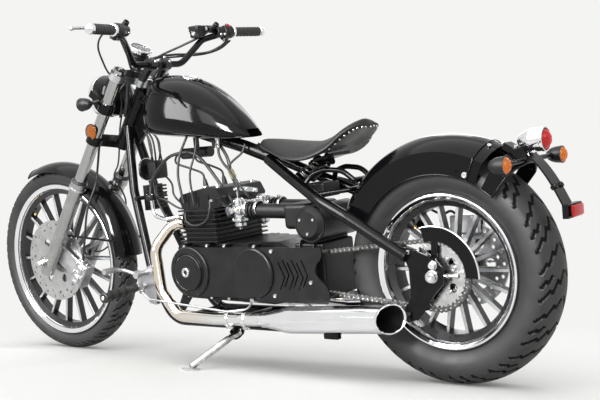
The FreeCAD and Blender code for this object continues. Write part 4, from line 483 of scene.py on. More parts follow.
def turned_metal(name, color, rough, matrix, rings=420.0):
    """Machined metal: fine rings about a wheel's axle, from the distance to it."""
    material = new_finish(name, color, rough, 1.0)
    place = node(material, "ShaderNodeTexCoord")
    mapping = node(material, "ShaderNodeMapping")
    inverse = np.linalg.inv(matrix)
    lean = math.atan2(matrix[2, 1], matrix[1, 1])
    mapping.inputs["Rotation"].default_value = (-lean, 0.0, 0.0)
    mapping.inputs["Location"].default_value = tuple(inverse[:3, 3])
    wave = node(material, "ShaderNodeTexWave", wave_type="RINGS", rings_direction="Y", Scale=rings,
                Distortion=0.6, Detail=2.0)
    wire(material, place.outputs["Object"], mapping.inputs["Vector"])
    wire(material, mapping.outputs["Vector"], wave.inputs["Vector"])
    into(material, ramp(material, wave.outputs["Fac"], rough - 0.07, rough + 0.09, 0.0, 1.0), "Roughness")
    into(material, blend_colors(material, grain(material, 30.0), tuple(c * 0.82 for c in color), color),
         "Base Color")
    bump(material, wave.outputs["Fac"], 0.12, 0.0003)
    return material


FINISH = {}


def make_finishes():
    """Every finish of the machine, kept by name."""
    tones = bpy.context.scene.motorcycle_finish
    f = FINISH
    f["paint"] = varied("gloss_black_paint", tuple(tones.paint), 0.10, 0.03, scale=4.0, fine=260.0,
                        fine_bump=0.012, tint=1.2, Specular_IOR_Level=0.15, Coat_Weight=0.08,
                        Coat_Roughness=0.03)
    f["frame"] = varied("satin_black_frame", (0.005, 0.005, 0.006), 0.22, 0.07, fine_bump=0.03,
                         Specular_IOR_Level=0.2)
    f["engine"] = varied("engine_black", (0.009, 0.009, 0.010), 0.36, 0.08, scale=20.0, fine=700.0,
                         fine_bump=0.12, Specular_IOR_Level=0.3)
    f["plastic"] = varied("black_plastic", (0.010, 0.010, 0.010), 0.42, 0.08, scale=18.0, fine=1200.0,
                          fine_bump=0.10, Specular_IOR_Level=0.32)
    f["wheel"] = varied("wheel_black", (0.012, 0.012, 0.013), 0.28, 0.06, fine_bump=0.03)
    f["chrome"] = varied("chrome_plate", (0.80, 0.80, 0.82), 0.06, 0.02, 1.0, scale=9.0, fine=120.0,
                         fine_bump=0.004, tint=1.05)
    f["fork_tube"] = varied("fork_chrome", (0.42, 0.42, 0.42), 0.10, 0.03, 1.0, scale=9.0, fine=120.0,
                            fine_bump=0.004, tint=1.1)
    f["fork_alloy"] = varied("fork_alloy", (0.36, 0.365, 0.36), 0.26, 0.05, 1.0, scale=16.0, fine_bump=0.05,
                             tint=1.15)
    f["alloy"] = varied("satin_alloy", (0.52, 0.53, 0.54), 0.30, 0.06, 1.0, scale=16.0, fine_bump=0.05,
                        tint=1.15)
    f["cast"] = varied("cast_alloy", (0.36, 0.36, 0.37), 0.42, 0.08, 1.0, scale=30.0, fine=600.0,
                       fine_bump=0.22, tint=1.3)
    f["steel"] = varied("bright_steel", (0.50, 0.50, 0.50), 0.26, 0.08, 1.0, scale=40.0, fine_bump=0.05)
    f["dark_steel"] = varied("oiled_steel", (0.10, 0.098, 0.095), 0.34, 0.08, 1.0, scale=60.0,
                             fine_bump=0.08, tint=1.8)
    f["rear_disc"] = turned_metal("rear_disc_steel", (0.56, 0.56, 0.56), 0.24, REAR)
    f["front_disc"] = turned_metal("front_disc_steel", (0.56, 0.56, 0.56), 0.24, FRONT)
    f["tyre"] = varied("tyre_rubber", (0.021, 0.021, 0.021), 0.58, 0.08, scale=22.0, fine=500.0,
                       fine_bump=0.16, tint=1.5)
    # Painted shade in the tread's grooves: the same rubber as the tyre, drawn darker and less glossy.
    f["groove"] = varied("groove_painted_shade", (0.006, 0.006, 0.006), 0.80, 0.06, scale=22.0, fine=500.0,
                         fine_bump=0.16, Specular_IOR_Level=0.1)
    f["rubber"] = varied("moulded_rubber", (0.012, 0.012, 0.012), 0.55, 0.08, scale=30.0, fine_bump=0.12)
    f["leather"] = leather(tuple(tones.leather))
    f["amber"] = lens("amber_lens", (0.95, 0.26, 0.015), 0.45)
    f["red"] = lens("red_lens", (0.75, 0.010, 0.010), 0.35)
    f["clear"] = lens("clear_lens", (0.95, 0.97, 0.98), 0.95)
    f["filter"] = varied("filter_plastic", (0.55, 0.53, 0.28), 0.30, 0.05, scale=40.0, Transmission_Weight=0.3)
    f["mark"] = new_finish("dial_mark", (0.75, 0.75, 0.72), 0.5)
    f["clamp"] = clamp_finish()
    f["red_plastic"] = new_finish("red_switch", (0.55, 0.01, 0.01), 0.35)
    f["brass"] = varied("brass_fitting", (0.50, 0.36, 0.14), 0.30, 0.06, 1.0)


def clamp_finish():
    """Satin alloy on the fork clamp and black on the risers above it, by the height along the fork."""
    material = varied("fork_clamp", (0.50, 0.51, 0.52), 0.30, 0.06, 1.0, scale=16.0)
    place = node(material, "ShaderNodeTexCoord")
    height = node(material, "ShaderNodeVectorMath", operation="DOT_PRODUCT")
    height.inputs[1].default_value = tuple(ON_FORK[:3, 2] * 1000.0)
    wire(material, place.outputs["Object"], height.inputs[0])
    edge = float(placed([(-60.0, 0.0, 807.0)], ON_FORK)[0] @ ON_FORK[:3, 2] * 1000.0)
    risers = ramp(material, height.outputs["Value"], 0.0, 1.0, edge, edge + 0.001)
    into(material, blend_colors(material, risers, (0.50, 0.51, 0.52), (0.008, 0.008, 0.009), 0.4, 0.6),
         "Base Color")
    into(material, ramp(material, risers, 1.0, 0.0, 0.0, 1.0), "Metallic")
    return material


def leather(color):
    """Black leather: pebbled cells with soft creases, worn a little shinier in broad patches."""
    material = new_finish("saddle_leather", color, 0.4, Specular_IOR_Level=0.3)
    cells = placed_texture(material, "ShaderNodeTexVoronoi", Scale=420.0, feature="DISTANCE_TO_EDGE")
    pebble = ramp(material, cells.outputs["Distance"], 0.0, 1.0, 0.0, 0.22)
    broad = grain(material, 9.0, 6.0)
    into(material, blend_colors(material, broad, color, tuple(c * 1.9 for c in color)), "Base Color")
    into(material, ramp(material, broad, 0.36, 0.52), "Roughness")
    bump(material, pebble, 0.22, 0.0006)
    return material


def lens(name, color, clear):
    """Moulded lens: coloured clear plastic with fine ribs on its face."""
    material = new_finish(name, color, 0.07, 0.0, Transmission_Weight=clear, IOR=1.45)
    ribs = placed_texture(material, "ShaderNodeTexWave", Scale=90.0, bands_direction="Z")
    into(material, blend_colors(material, grain(material, 20.0), tuple(c * 0.85 for c in color), color),
         "Base Color")
    bump(material, ribs.outputs["Fac"], 0.12, 0.0006)
    return material


NODE_FINISH = {
    "paint": "rear_fender fender_tail front_fender fuel_tank chain_guard",
    "frame": "main_frame steering_stem plate_arm tail_bracket headlamp_bracket headlamp_bucket "
             "front_fender_stays handlebar front_indicators rear_indicators",
    "engine": "crankcase left_cover right_cover chain_cover cylinder_block cylinder_head",
    "plastic": "airbox battery_box electrics gauge",
    "wheel": "rear_wheel front_wheel",
    "chrome": "exhaust_headers left_muffler right_muffler tail_lamp headlamp_rim filler_cap",
    "clamp": "upper_clamp",
    "fork_tube": "stanchions",
    "fork_alloy": "sliders",
    "alloy": "clutch_lever brake_lever",
    "cast": "carburettors foot_brackets foot_levers rear_caliper front_caliper",
    "steel": "rear_sprocket rear_axle front_axle seat_springs side_stand",
    "dark_steel": "chain",
    "rear_disc": "rear_disc",
    "front_disc": "front_disc",
    "tyre": "rear_tyre front_tyre",
    "rubber": "grips foot_pegs",
    "leather": "seat",
    "amber": "front_indicator_lenses rear_indicator_lenses",
    "red": "rear_lenses",
    "clear": "headlamp_lens",
}


class MOTORCYCLE_OT_finishes(bpy.types.Operator):
    """Makes the finishes and puts them on the CAD nodes."""
    bl_idname = "motorcycle.finishes"
    bl_label = "Finishes"

    def execute(self, context):
        make_finishes()
        for finish, names in NODE_FINISH.items():
            for name in names.split():
                item = NODES[name]
                item.data.materials.clear()
                item.data.materials.append(FINISH[finish])
        return {"FINISHED"}


# Studio

CAMERA_PLACE = (-1.4414, 2.5861, 0.3916)
CAMERA_YAW = -52.0
CAMERA_PITCH = 2.5
CAMERA_LENS = 62.02
CAMERA_SHIFT = (-0.0033, -0.0032)
STUDIO_WHITE = (1.0, 1.0, 0.985, 1.0)
SHOWN_TO = ("Is Camera Ray", "Is Glossy Ray", "Is Transmission Ray")
WORLD_LIGHT = 0.42
BACKDROP = 0.905
FLOOR_LIFT = 0.085
FLOOR_REACH = 14.0
FLOOR_FADE = (1.25, 2.2)
# name, place, strength, width in degrees
SUNS = (("high_lamp", (0.4, 0.6, 3.0), 1.05, 70), ("near_lamp", (-1.5, 2.4, 1.8), 0.55, 50))
# name, place, aim, size, power; the windows show in gloss only
TANK_BOX = ("tank_box", (-0.3, 3.0, 2.1), (0.0, 0.0, 0.7), (1.5, 0.8), 16.0)
WINDOWS = (("wide_window", (1.25, 3.0, 2.05), (0.3, 0.0, 0.8), (2.3, 1.35), 220.0),
           ("low_window", (-0.95, 3.0, 1.5), (0.3, 0.0, 0.8), (1.25, 0.5), 200.0))
BOXES = (("rear_box", (-3.4, 0.8, 2.0), (-0.8, 0.0, 0.5), (1.2, 0.9), 12.0),
         ("far_box", (0.8, -2.8, 2.2), (0.0, 0.0, 0.6), (2.2, 0.8), 14.0))


class MOTORCYCLE_OT_stage(bpy.types.Operator):
    """Makes the floor, the lights and the camera."""
    bl_idname = "motorcycle.stage"
    bl_label = "Studio stage"

    def execute(self, context):
        scene = context.scene
        scene.view_settings.view_transform = "Standard"
        add_camera(scene)
        add_lights(scene)
        add_floor(scene)
        return {"FINISHED"}


def add_camera(scene):
    """Camera at the photograph's place, given on the ground below the rear axle."""
    data = bpy.data.cameras.new("camera")
    data.lens = CAMERA_LENS
    data.sensor_width = 36.0
    data.shift_x, data.shift_y = CAMERA_SHIFT
    camera = bpy.data.objects.new("camera", data)
    shift = np.array([ROW[0, 3], ROW[1, 3], 0.0])
    camera.location = tuple(np.array(CAMERA_PLACE) + shift)
    camera.rotation_euler = (math.radians(90 + CAMERA_PITCH), 0.0, math.radians(CAMERA_YAW - 90))
    scene.collection.objects.link(camera)
    scene.camera = camera


def add_area(scene, name, place, aim, size, power):
    """Soft box that shines from a place towards a point."""
    data = bpy.data.lights.new(name, "AREA")
    data.shape = "RECTANGLE"
    data.size, data.size_y = size
    data.energy = power
    lamp = bpy.data.objects.new(name, data)
    turn_towards(lamp, place, aim)
    scene.collection.objects.link(lamp)
    return lamp


def add_sun(scene, name, place, strength, width):
    """Far, broad lamp: it lights floor and machine evenly."""
    data = bpy.data.lights.new(name, "SUN")
    data.energy = strength
    data.angle = math.radians(width)
    lamp = bpy.data.objects.new(name, data)
    turn_towards(lamp, place, (0.0, 0.0, 0.0))
    scene.collection.objects.link(lamp)


def turn_towards(lamp, place, aim):
    """Lamps shine along their own -Z."""
    matrix = axis_matrix(np.array(place, float), np.array(place, float) - np.array(aim, float))
    lamp.matrix_world = Matrix([list(row) for row in matrix])


def add_lights(scene):
    """Two broad lamps, three soft boxes and two window panes, and a world that lights plainly but shows
    the backdrop's brightness to the camera, to metal and to glass."""
    for sun in SUNS:
        add_sun(scene, *sun)
    add_area(scene, *TANK_BOX)
    for window in WINDOWS:
        add_area(scene, *window).visible_diffuse = False
    for soft_box in BOXES:
        add_area(scene, *soft_box)
    world = bpy.data.worlds.new("studio")
    scene.world = world
    world.use_nodes = True
    tree = world.node_tree
    seen = any_ray(tree, SHOWN_TO)
    strength = tree.nodes.new("ShaderNodeMapRange")
    strength.inputs["To Min"].default_value = WORLD_LIGHT
    strength.inputs["To Max"].default_value = BACKDROP
    tree.links.new(seen, strength.inputs["Value"])
    background = tree.nodes["Background"]
    background.inputs["Color"].default_value = STUDIO_WHITE
    tree.links.new(strength.outputs["Result"], background.inputs["Strength"])


def any_ray(tree, kinds):
    """1 for rays of any of these kinds."""
    path = tree.nodes.new("ShaderNodeLightPath")
    found = path.outputs[kinds[0]]
    for kind in kinds[1:]:
        either = tree.nodes.new("ShaderNodeMath")
        either.operation = "MAXIMUM"
        tree.links.new(found, either.inputs[0])
        tree.links.new(path.outputs[kind], either.inputs[1])
        found = either.outputs[0]
    return found


def add_floor(scene):
    """Pale floor that takes the machine's shadow and, further out, runs into the backdrop unseen."""
    tone = tuple(scene.motorcycle_finish.backdrop)
    material = new_finish("studio_floor", tone, 0.75, Specular_IOR_Level=0.0)
    into(material, blend_colors(material, grain(material, 1.2), tuple(c * 0.99 for c in tone), tone),
         "Base Color")
    tree = material.node_tree
    shown = any_ray(tree, SHOWN_TO)
    tree.nodes["Principled BSDF"].inputs["Emission Color"].default_value = STUDIO_WHITE
    into(material, ramp(material, shown, 0.0, FLOOR_LIFT, 0.0, 1.0), "Emission Strength")
    length = placed_texture(material, "ShaderNodeVectorMath", operation="LENGTH")
    outside = ramp(material, length.outputs["Value"], 0.0, 1.0, *FLOOR_FADE)
    seen = node(material, "ShaderNodeMath", operation="MULTIPLY")
    wire(material, outside, seen.inputs[0])
    wire(material, shown, seen.inputs[1])
    glow = node(material, "ShaderNodeEmission")
    glow.inputs["Color"].default_value = STUDIO_WHITE
    glow.inputs["Strength"].default_value = BACKDROP
    both = node(material, "ShaderNodeMixShader")
    wire(material, seen.outputs[0], both.inputs["Fac"])
    wire(material, tree.nodes["Principled BSDF"].outputs["BSDF"], both.inputs[1])
    wire(material, glow.outputs["Emission"], both.inputs[2])
    wire(material, both.outputs["Shader"], tree.nodes["Material Output"].inputs["Surface"])
    mesh = bpy.data.meshes.new("floor")
    corners = [(x * FLOOR_REACH, y * FLOOR_REACH, 0) for x, y in ((-1, -1), (1, -1), (1, 1), (-1, 1))]
    mesh.from_pydata(corners, [], [(0, 1, 2, 3)])
    mesh.materials.append(material)
    floor = bpy.data.objects.new("floor", mesh)
    scene.collection.objects.link(floor)


# Tyres and wheels

TYRES = {
    # radius, crown, shoulder, side radius, lip, inside half, bead, tread pitches
    "rear": (323.0, 100.0, 68.0, 62.0, 220.0, 51.2, 203.3, 14),
    "front": (341.0, 60.0, 41.0, 38.0, 283.5, 30.2, 267.3, 20),
}
GROOVES = [
    [(0.00, 0.06), (0.20, 0.27), (0.15, 0.40), (0.37, 0.62), (0.33, 0.74), (0.55, 1.08)],
    [(0.52, 0.16), (0.66, 0.36), (0.62, 0.48), (0.84, 0.72), (0.81, 0.82), (0.98, 1.06)],
    [(0.06, 0.66), (0.17, 0.80), (0.14, 0.90), (0.26, 1.08)],
]


def groove_field(along, across):
    """1 in a groove and 0 away from it: the nearer a point lies to one of the zigzag lines, the deeper."""
    field = np.zeros(np.broadcast(along, across).shape)
    for line in GROOVES:
        for (s0, t0), (s1, t1) in zip(line, line[1:]):
            for wrap in (-1.0, 0.0, 1.0):
                ds, dt = s1 - s0, t1 - t0
                share = ((along - s0 - wrap) * ds + (across - t0) * dt) / (ds ** 2 + dt ** 2)
                share = np.clip(share, 0, 1)
                gap = np.hypot((along - s0 - wrap - share * ds) * 1.9, across - t0 - share * dt)
                field = np.maximum(field, np.clip((0.082 - gap) / 0.028, 0, 1))
    return field * field * (3 - 2 * field)


def tyre_surface(end, around, depth):
    """Tyre: a crown arc, two side arcs and beads turned about the axle; the tread's zigzag grooves are
    sunk along the section's normals, and three thin rings stand out of each side."""
    radius, crown, shoulder, side, lip, inside, bead, pitches = TYRES[end]
    shoulder_radius = radius - crown + math.sqrt(crown ** 2 - shoulder ** 2)
    wall = arc((lip, inside), (shoulder_radius, shoulder), side, 1.0, 16)[:-1]
    top = arc((shoulder_radius, shoulder), (shoulder_radius, -shoulder), crown, 1.0, 58 if end == "rear" else 40)
    section = np.concatenate([[(bead, inside)], wall, top, wall[::-1] * [1, -1], [(bead, -inside)]])
    step = np.gradient(section, axis=0)
    normal = unit(np.stack([-step[:, 1], step[:, 0]], -1))
    normal *= np.sign(np.sum(normal * (section - [lip, 0]), -1, keepdims=True) + 1e-9)
    length = np.concatenate([[0], np.cumsum(np.linalg.norm(np.diff(section, axis=0), axis=1))])
    reach = length - length[-1] / 2
    half_tread = crown * math.asin(shoulder / crown)
    across = np.abs(reach) / half_tread
    angle = np.linspace(0, TAU, around, endpoint=False)
    along = angle[:, None] * pitches / TAU + np.where(reach > 0, 0.5, 0.0)[None]
    field = groove_field(along % 1.0, across[None])
    rings = sum(0.9 * np.exp(-((across - place) / 0.02) ** 2) for place in (1.42, 1.62, 1.86))
    edge = np.clip((1.16 - across) / 0.06, 0, 1)
    sunk = field * edge[None]
    moved_in = rings[None] - depth * sunk
    spread = section[None] + normal[None] * moved_in[..., None]
    grid = np.stack([spread[..., 0] * np.cos(angle)[:, None], spread[..., 1],
                     spread[..., 0] * np.sin(angle)[:, None]], -1)
    points, corners, sizes, finish = patch(grid, closed_u=True, closed_v=True)
    # Faces deep in a groove take the second finish, a darker rubber that is painted shade.
    finish[sunk.reshape(-1)[corners.reshape(-1, 4)].mean(1) > 0.45] = 1
    return points, corners, sizes, finish


def rim_skin(lip, half, bead, finish=0):
    """Polished lip: a ring over the rim's flange and the step behind it, on both sides."""
    step = bead - 6.0
    outline = [(lip + 0.6, half - 3.5), (lip + 1.2, half + 0.6), (lip - 0.6, half + 3.2), (lip - 4.5, half + 3.9),
               (lip - 9.0, half + 1.4), (step + 4.0, half - 3.0), (step + 0.8, half - 7.0),
               (step - 0.8, half * 0.70), (step - 0.6, half * 0.64), (step + 2.5, half * 0.64),
               (step + 3.5, half - 6.5), (lip - 2.0, half - 1.0)]
    ring = spun(curve_loop(outline, 60), along=SIDEWAYS, around=160, closed=True, finish=finish)
    return [ring, mirrored(ring)]


def curve_loop(points, samples=48):
    """Closed smooth loop through points, by the same cubic as curve_through."""
    points = np.asarray(points, float)
    place = np.linspace(0, len(points), samples, endpoint=False)
    index = place.astype(int)
    t = (place - index)[:, None]
    a, b, c, d = (points[(index + k) % len(points)] for k in (-1, 0, 1, 2))
    return 0.5 * (2 * b + (c - a) * t + (2 * a - 5 * b + 4 * c - d) * t ** 2 + (3 * b - a - 3 * c + d) * t ** 3)


def spoke_faces(inner, outer, root, tip, count):
    """Machined faces of the spokes: a bevelled bar on both sides of each spoke."""
    outline = [(inner, -root / 2), (outer, -tip / 2), (outer, tip / 2), (inner, root / 2)]
    bar = plate(outline, 10.5, 13.6, 0.8)
    ring = copies(bar, about_axle(np.arange(count) * TAU / count))
    return [ring, mirrored(ring)]


class MOTORCYCLE_OT_tyres(bpy.types.Operator):
    """Makes both tyres with their tread."""
    bl_idname = "motorcycle.tyres"
    bl_label = "Tyres"

    def execute(self, context):
        depth = context.scene.motorcycle_wheels.groove_depth * 1000
        around = 1000
        # The second finish darkens the grooves: painted shade.
        rubber = "tyre groove"
        piece("rear_tyre_skin", [tyre_surface("rear", around, depth)], "rear_wheel", rubber,
              ("rear_tyre",), 40, AT_REAR)
        piece("front_tyre_skin", [tyre_surface("front", around, depth * 0.8)], "front_wheel",
              rubber, ("front_tyre",), 40, AT_FRONT)
        return {"FINISHED"}


class MOTORCYCLE_OT_wheels(bpy.types.Operator):
    """Makes the wheels' polished lips, spoke faces, hubs and fastenings."""
    bl_idname = "motorcycle.wheels"
    bl_label = "Wheels"

    def execute(self, context):
        count = context.scene.motorcycle_wheels.spoke_count
        for end, lip, half, bead, hub, barrel, matrix in (
                ("rear", 217.0, 57.0, 203.0, 38.0, 186.0, AT_REAR),
                ("front", 280.5, 36.0, 267.0, 30.0, 250.0, AT_FRONT)):
            body = end + "_wheel"
            piece(end + "_rim_polish", rim_skin(lip, half, bead), body, "chrome", matrix=matrix)
            piece(end + "_spoke_faces", spoke_faces(hub + 9, barrel - 4, 13.0, 8.6, count), body,
                  "alloy", matrix=matrix)
            piece(end + "_hub_trim", hub_trim(end), body, "chrome steel", matrix=matrix)
            piece(end + "_valve", valve(bead, count), body, "rubber brass", matrix=matrix)
        return {"FINISHED"}


def valve(bead, count):
    """Tyre valve: a rubber stem with a brass cap, aslant from the rim's well between two spokes."""
    turn = TAU / count * 2.5
    root = np.array([(bead - 22) * math.cos(turn), 8.0, (bead - 22) * math.sin(turn)])
    out = unit(np.array([-math.cos(turn), 0.75, -math.sin(turn)]))
    stem = spun([(5.5, 0), (4.2, 5), (3.6, 16), (3.6, 24)], root, out, 12)
    cap = spun(rounded_profile([(3.0, 22), (3.9, 24), (3.9, 32), (2.4, 35)], 1), root, out, 12, finish=1)
    return [stem, cap]


def hub_trim(end):
    """Polished hub rings, the rear hub's dished flange beside the sprocket, and the discs' screws."""
    if end == "rear":
        dish = spun(rounded_profile([(33, 71), (41, 74), (52, 84), (74, 89), (80, 88), (80, 84), (73, 83), (56, 76),
                                     (46, 66), (33, 64)], 3), along=SIDEWAYS, around=96, closed=True)
        barrel = spun(rounded_profile([(31, -62), (37, -58), (40, -34), (40, 20), (36, 50), (31, 56)], 4),
                      along=SIDEWAYS, around=64, closed=False)
        angle = np.arange(5) * TAU / 5 + 0.3
        screws = bolts(np.stack([56 * np.cos(angle), np.full(5, 98.5), 56 * np.sin(angle)], -1), SIDEWAYS,
                       7.5, 6, 1)
        nuts = bolts(np.stack([34.5 * np.cos(angle), np.full(5, -94.5), 34.5 * np.sin(angle)], -1), (0, -1, 0),
                     3.4, 4, 1)
        arms = copies(plate([(34, -9), (78, -5), (78, 5), (34, 9)], 88, 92, 1.2), about_axle(angle))
        return [dish, barrel, screws, nuts, arms]
    ring = spun(rounded_profile([(23, -54), (31, -52), (33, -44), (30, -36), (28, 0), (30, 36), (33, 44),
                                 (31, 52), (23, 54)], 3), along=SIDEWAYS, around=64)
    angle = np.arange(6) * TAU / 6
    screws = bolts(np.stack([26 * np.cos(angle), np.full(6, 64.5), 26 * np.sin(angle)], -1), SIDEWAYS,
                   3.6, 4, 1)
    return [ring, screws]


# Chain

BIG, SMALL = (15.875 / (2 * math.sin(math.pi / teeth)) for teeth in (38, 15))
DRIVE = np.array([600.0, 325.0 - 324.15])


def chain_place(distance):
    """Places and headings on the pitch line at distances along it: two tangent runs and an arc round each
    sprocket, in the rear axle's frame."""
    span = float(np.linalg.norm(DRIVE))
    slope, base = math.asin((BIG - SMALL) / span), math.atan2(DRIVE[1], DRIVE[0])
    up, down = base + math.pi / 2 - slope, base - math.pi / 2 + slope
    run = math.sqrt(span ** 2 - (BIG - SMALL) ** 2)
    front_turn = up - down
    rear_turn = TAU - front_turn
    lengths = np.array([run, SMALL * front_turn, run, BIG * rear_turn])
    ends = np.cumsum(lengths)
    distance = np.asarray(distance, float) % ends[-1]

    def on(centre, radius, angle):
        return centre + radius * np.stack([np.cos(angle), np.sin(angle)], -1)

    top = on(np.zeros(2), BIG, np.array(up)), on(DRIVE, SMALL, np.array(up))
    low = on(DRIVE, SMALL, np.array(down)), on(np.zeros(2), BIG, np.array(down))
    share = distance[:, None] / run
    turn_front = up - (distance - ends[0]) / SMALL
    turn_rear = down - (distance - ends[2]) / BIG
    options = [top[0] + (top[1] - top[0]) * share, on(DRIVE, SMALL, turn_front),
               low[0] + (low[1] - low[0]) * (distance - ends[1])[:, None] / run, on(np.zeros(2), BIG, turn_rear)]
    which = np.searchsorted(ends, distance, side="right")
    place = np.choose(which[:, None], options)
    heading = np.choose(which, [np.full(len(distance), up - math.pi / 2), turn_front - math.pi / 2,
                                np.full(len(distance), down - math.pi / 2), turn_rear - math.pi / 2])
    return place, heading, ends[-1]


def link_outline(length, radius, waist, count=7):
    """Side plate of a chain link: two rounds joined by a waist."""
    angle = np.linspace(-math.pi / 2, math.pi / 2, count)
    right = np.stack([length / 2 + radius * np.cos(angle), radius * np.sin(angle)], -1)
    left = -right
    return np.concatenate([right, [(0, waist)], left, [(0, -waist)]])


class MOTORCYCLE_OT_chain(bpy.types.Operator):
    """Makes the drive chain's links and rollers."""
    bl_idname = "motorcycle.chain"
    bl_label = "Chain"

    def execute(self, context):
        total = chain_place(np.zeros(1))[2]
        count = int(round(total / 15.875 / 2)) * 2
        pitch = total / count
        place, heading, _ = chain_place(np.arange(count) * pitch)
        matrices = about_axle(-heading)
        matrices[:, 0, 3], matrices[:, 1, 3], matrices[:, 2, 3] = place[:, 0], 96.0, place[:, 1]
        outline = link_outline(pitch, 6.6, 4.4)
        shift = outline + [pitch / 2, 0]
        inner = [plate(shift, side * 7.2 - 0.9, side * 7.2 + 0.9, 0.4) for side in (-1, 1)]
        outer = [plate(shift, side * 9.2 - 0.9, side * 9.2 + 0.9, 0.4) for side in (-1, 1)]
        roller = spun([(4.6, -6.2), (4.9, -5.4), (4.9, 5.4), (4.6, 6.2)], along=SIDEWAYS, around=10, finish=1)
        pin = spun([(2.2, -10.8), (2.6, -10.2), (2.6, 10.2), (2.2, 10.8)], along=SIDEWAYS, around=8, finish=1)
        piece("chain_links", [copies(joined(inner), matrices[::2]), copies(joined(outer), matrices[1::2]),
                              copies(joined([roller, pin]), matrices)],
              "frame", "dark_steel steel", ("chain",), 40, AT_REAR)
        return {"FINISHED"}


# Exhaust

HEADER = [(935, 78, 479), (996, 90, 473), (1042, 136, 399), (1016, 152, 262), (944, 156, 183), (784, 158, 180),
          (625, 162, 184), (565, 165, 188)]
MUFFLER_START, MUFFLER_TIP = np.array([565.0, 164.0, 187.0]), np.array([112.0, 172.0, 212.0])


def header_parts():
    """Left header: a bent pipe, its port flange with two studs, and two clamps."""
    path = bent_path(HEADER, 62)
    parts = [pipe(path, 19.0, 40, (0.0, 1.0, 0.05)),
             spun(rounded_profile([(20, 0), (31, 0), (31, 9), (22, 9), (20, 15)], 2), HEADER[0], (1, 0.1, 0),
                  around=48)]
    parts.append(bolts([(945, 78, 504), (945, 78, 454)], (1, 0.1, 0), 6.5, 8, 1))
    for x in (723, 653):
        band = rounded_profile([(19.4, -8), (22.8, -8), (23.6, -5), (23.6, 5), (22.8, 8), (19.4, 8)], 1.5)
        parts.append(spun(band, (x, 159.2, 182.2), FORWARD, around=48, closed=True))
        parts.append(box((x - 6, 152, 152), (x + 6, 166, 162), 1.5, finish=1))
        parts.append(rod((x - 14, 159, 156), (x + 14, 159, 156), 3.4, finish=1))
        parts.append(bolts([(x + 7, 159, 156)], FORWARD, 5.5, 5, 1))
    return parts


def muffler_parts():
    """Left muffler: a cone, a straight body and a tip cut aslant by a plane that faces out and back, its lip
    rolled, then an inner wall back to a dark baffle with a hole."""
    along = unit(MUFFLER_TIP - MUFFLER_START)
    reach = float(np.linalg.norm(MUFFLER_TIP - MUFFLER_START))
    side = unit(np.cross(along, [0.0, 0.0, 1.0]))
    rise = np.cross(side, along)
    away = np.array([-math.cos(math.radians(32)), math.sin(math.radians(32)), 0.0])
    angle = np.linspace(0, TAU, 96, endpoint=False)
    ring = np.cos(angle)[:, None] * side + np.sin(angle)[:, None] * rise
    cut = (reach * (along @ away) - 40.0 * (ring @ away)) / (along @ away)
    fixed = [(21.5, -14), (22.5, -12), (22.5, 2), (24.0, 8), (30.0, 42), (36.5, 74), (39.3, 88), (40.0, 96),
             (40.0, 150), (40.0, 250)]
    rows = [np.stack([np.full(96, radius), np.full(96, float(s))], -1) for radius, s in fixed]
    for radius, back in ((40.0, 9.0), (40.2, 5.0), (41.6, 3.0), (41.9, 0.6), (40.6, -0.8), (38.2, -0.4),
                         (37.0, 2.0), (37.0, 8.0)):
        rows.append(np.stack([np.full(96, radius), cut - back], -1))
    outer = len(rows)
    for radius, s in ((37.0, reach - 128), (34.0, reach - 132), (12.0, reach - 130), (10.5, reach - 134),
                      (10.5, reach - 146)):
        rows.append(np.stack([np.full(96, radius), np.full(96, s)], -1))
    rows = np.stack(rows)
    grid = MUFFLER_START + rows[..., :1] * ring[None] + rows[..., 1:] * along
    shell = patch(grid, cap_first=True, cap_last=True)
    dark = np.repeat(np.arange(len(rows) - 1) >= outer - 1, 96)
    finish = np.concatenate([np.where(dark, 1, 0), [0, 1]])
    shell = shell[0], shell[1], shell[2], finish
    hanger = [box((292, 162, 146), (343, 182, 176), 2, finish=2),
              pipe(bent_path([(318, 172, 152), (318, 128, 154), (316, 121, 166)], 10), 5.0, 16, FORWARD,
                   finish=2)]
    return [shell, *hanger]


def exhaust_chrome():
    """Chrome that has turned straw towards the front, where the hot gas meets the bends."""
    material = FINISH["chrome"].copy()
    material.name = "exhaust_chrome"
    spread = placed_texture(material, "ShaderNodeSeparateXYZ")
    heat = ramp(material, spread.outputs["X"], 0.0, 1.0, ROW[0, 3] + 0.70, ROW[0, 3] + 1.02)
    straw = blend_colors(material, heat, (0.80, 0.80, 0.80), (0.74, 0.66, 0.56), 0.1, 0.95)
    into(material, straw, "Base Color")
    return material


class MOTORCYCLE_OT_exhaust(bpy.types.Operator):
    """Makes the headers and the slash-cut mufflers."""
    bl_idname = "motorcycle.exhaust"
    bl_label = "Exhaust"

    def execute(self, context):
        FINISH["exhaust_chrome"] = exhaust_chrome()
        headers = header_parts()
        piece("header_pipes", both_sides(headers), "frame",
              "exhaust_chrome steel", ("exhaust_headers",), matrix=UPRIGHT)
        left = muffler_parts()
        finishes = "chrome engine frame"
        piece("left_muffler_shell", left, "frame", finishes, ("left_muffler",), 30, UPRIGHT)
        piece("right_muffler_shell", mirror_all(left), "frame", finishes,
              ("right_muffler",), 30, UPRIGHT)
        return {"FINISHED"}


# Saddle

SEAT_LINE = np.array([(648, 712, 0.16), (622, 712, 0.34), (560, 704, 0.62), (480, 692, 0.92), (410, 688, 1.0),
                      (352, 702, 0.90), (306, 724, 0.76), (270, 742, 0.70), (249, 752, 0.68)], float)


def power(number, exponent):
    return np.sign(number) * np.abs(number) ** exponent


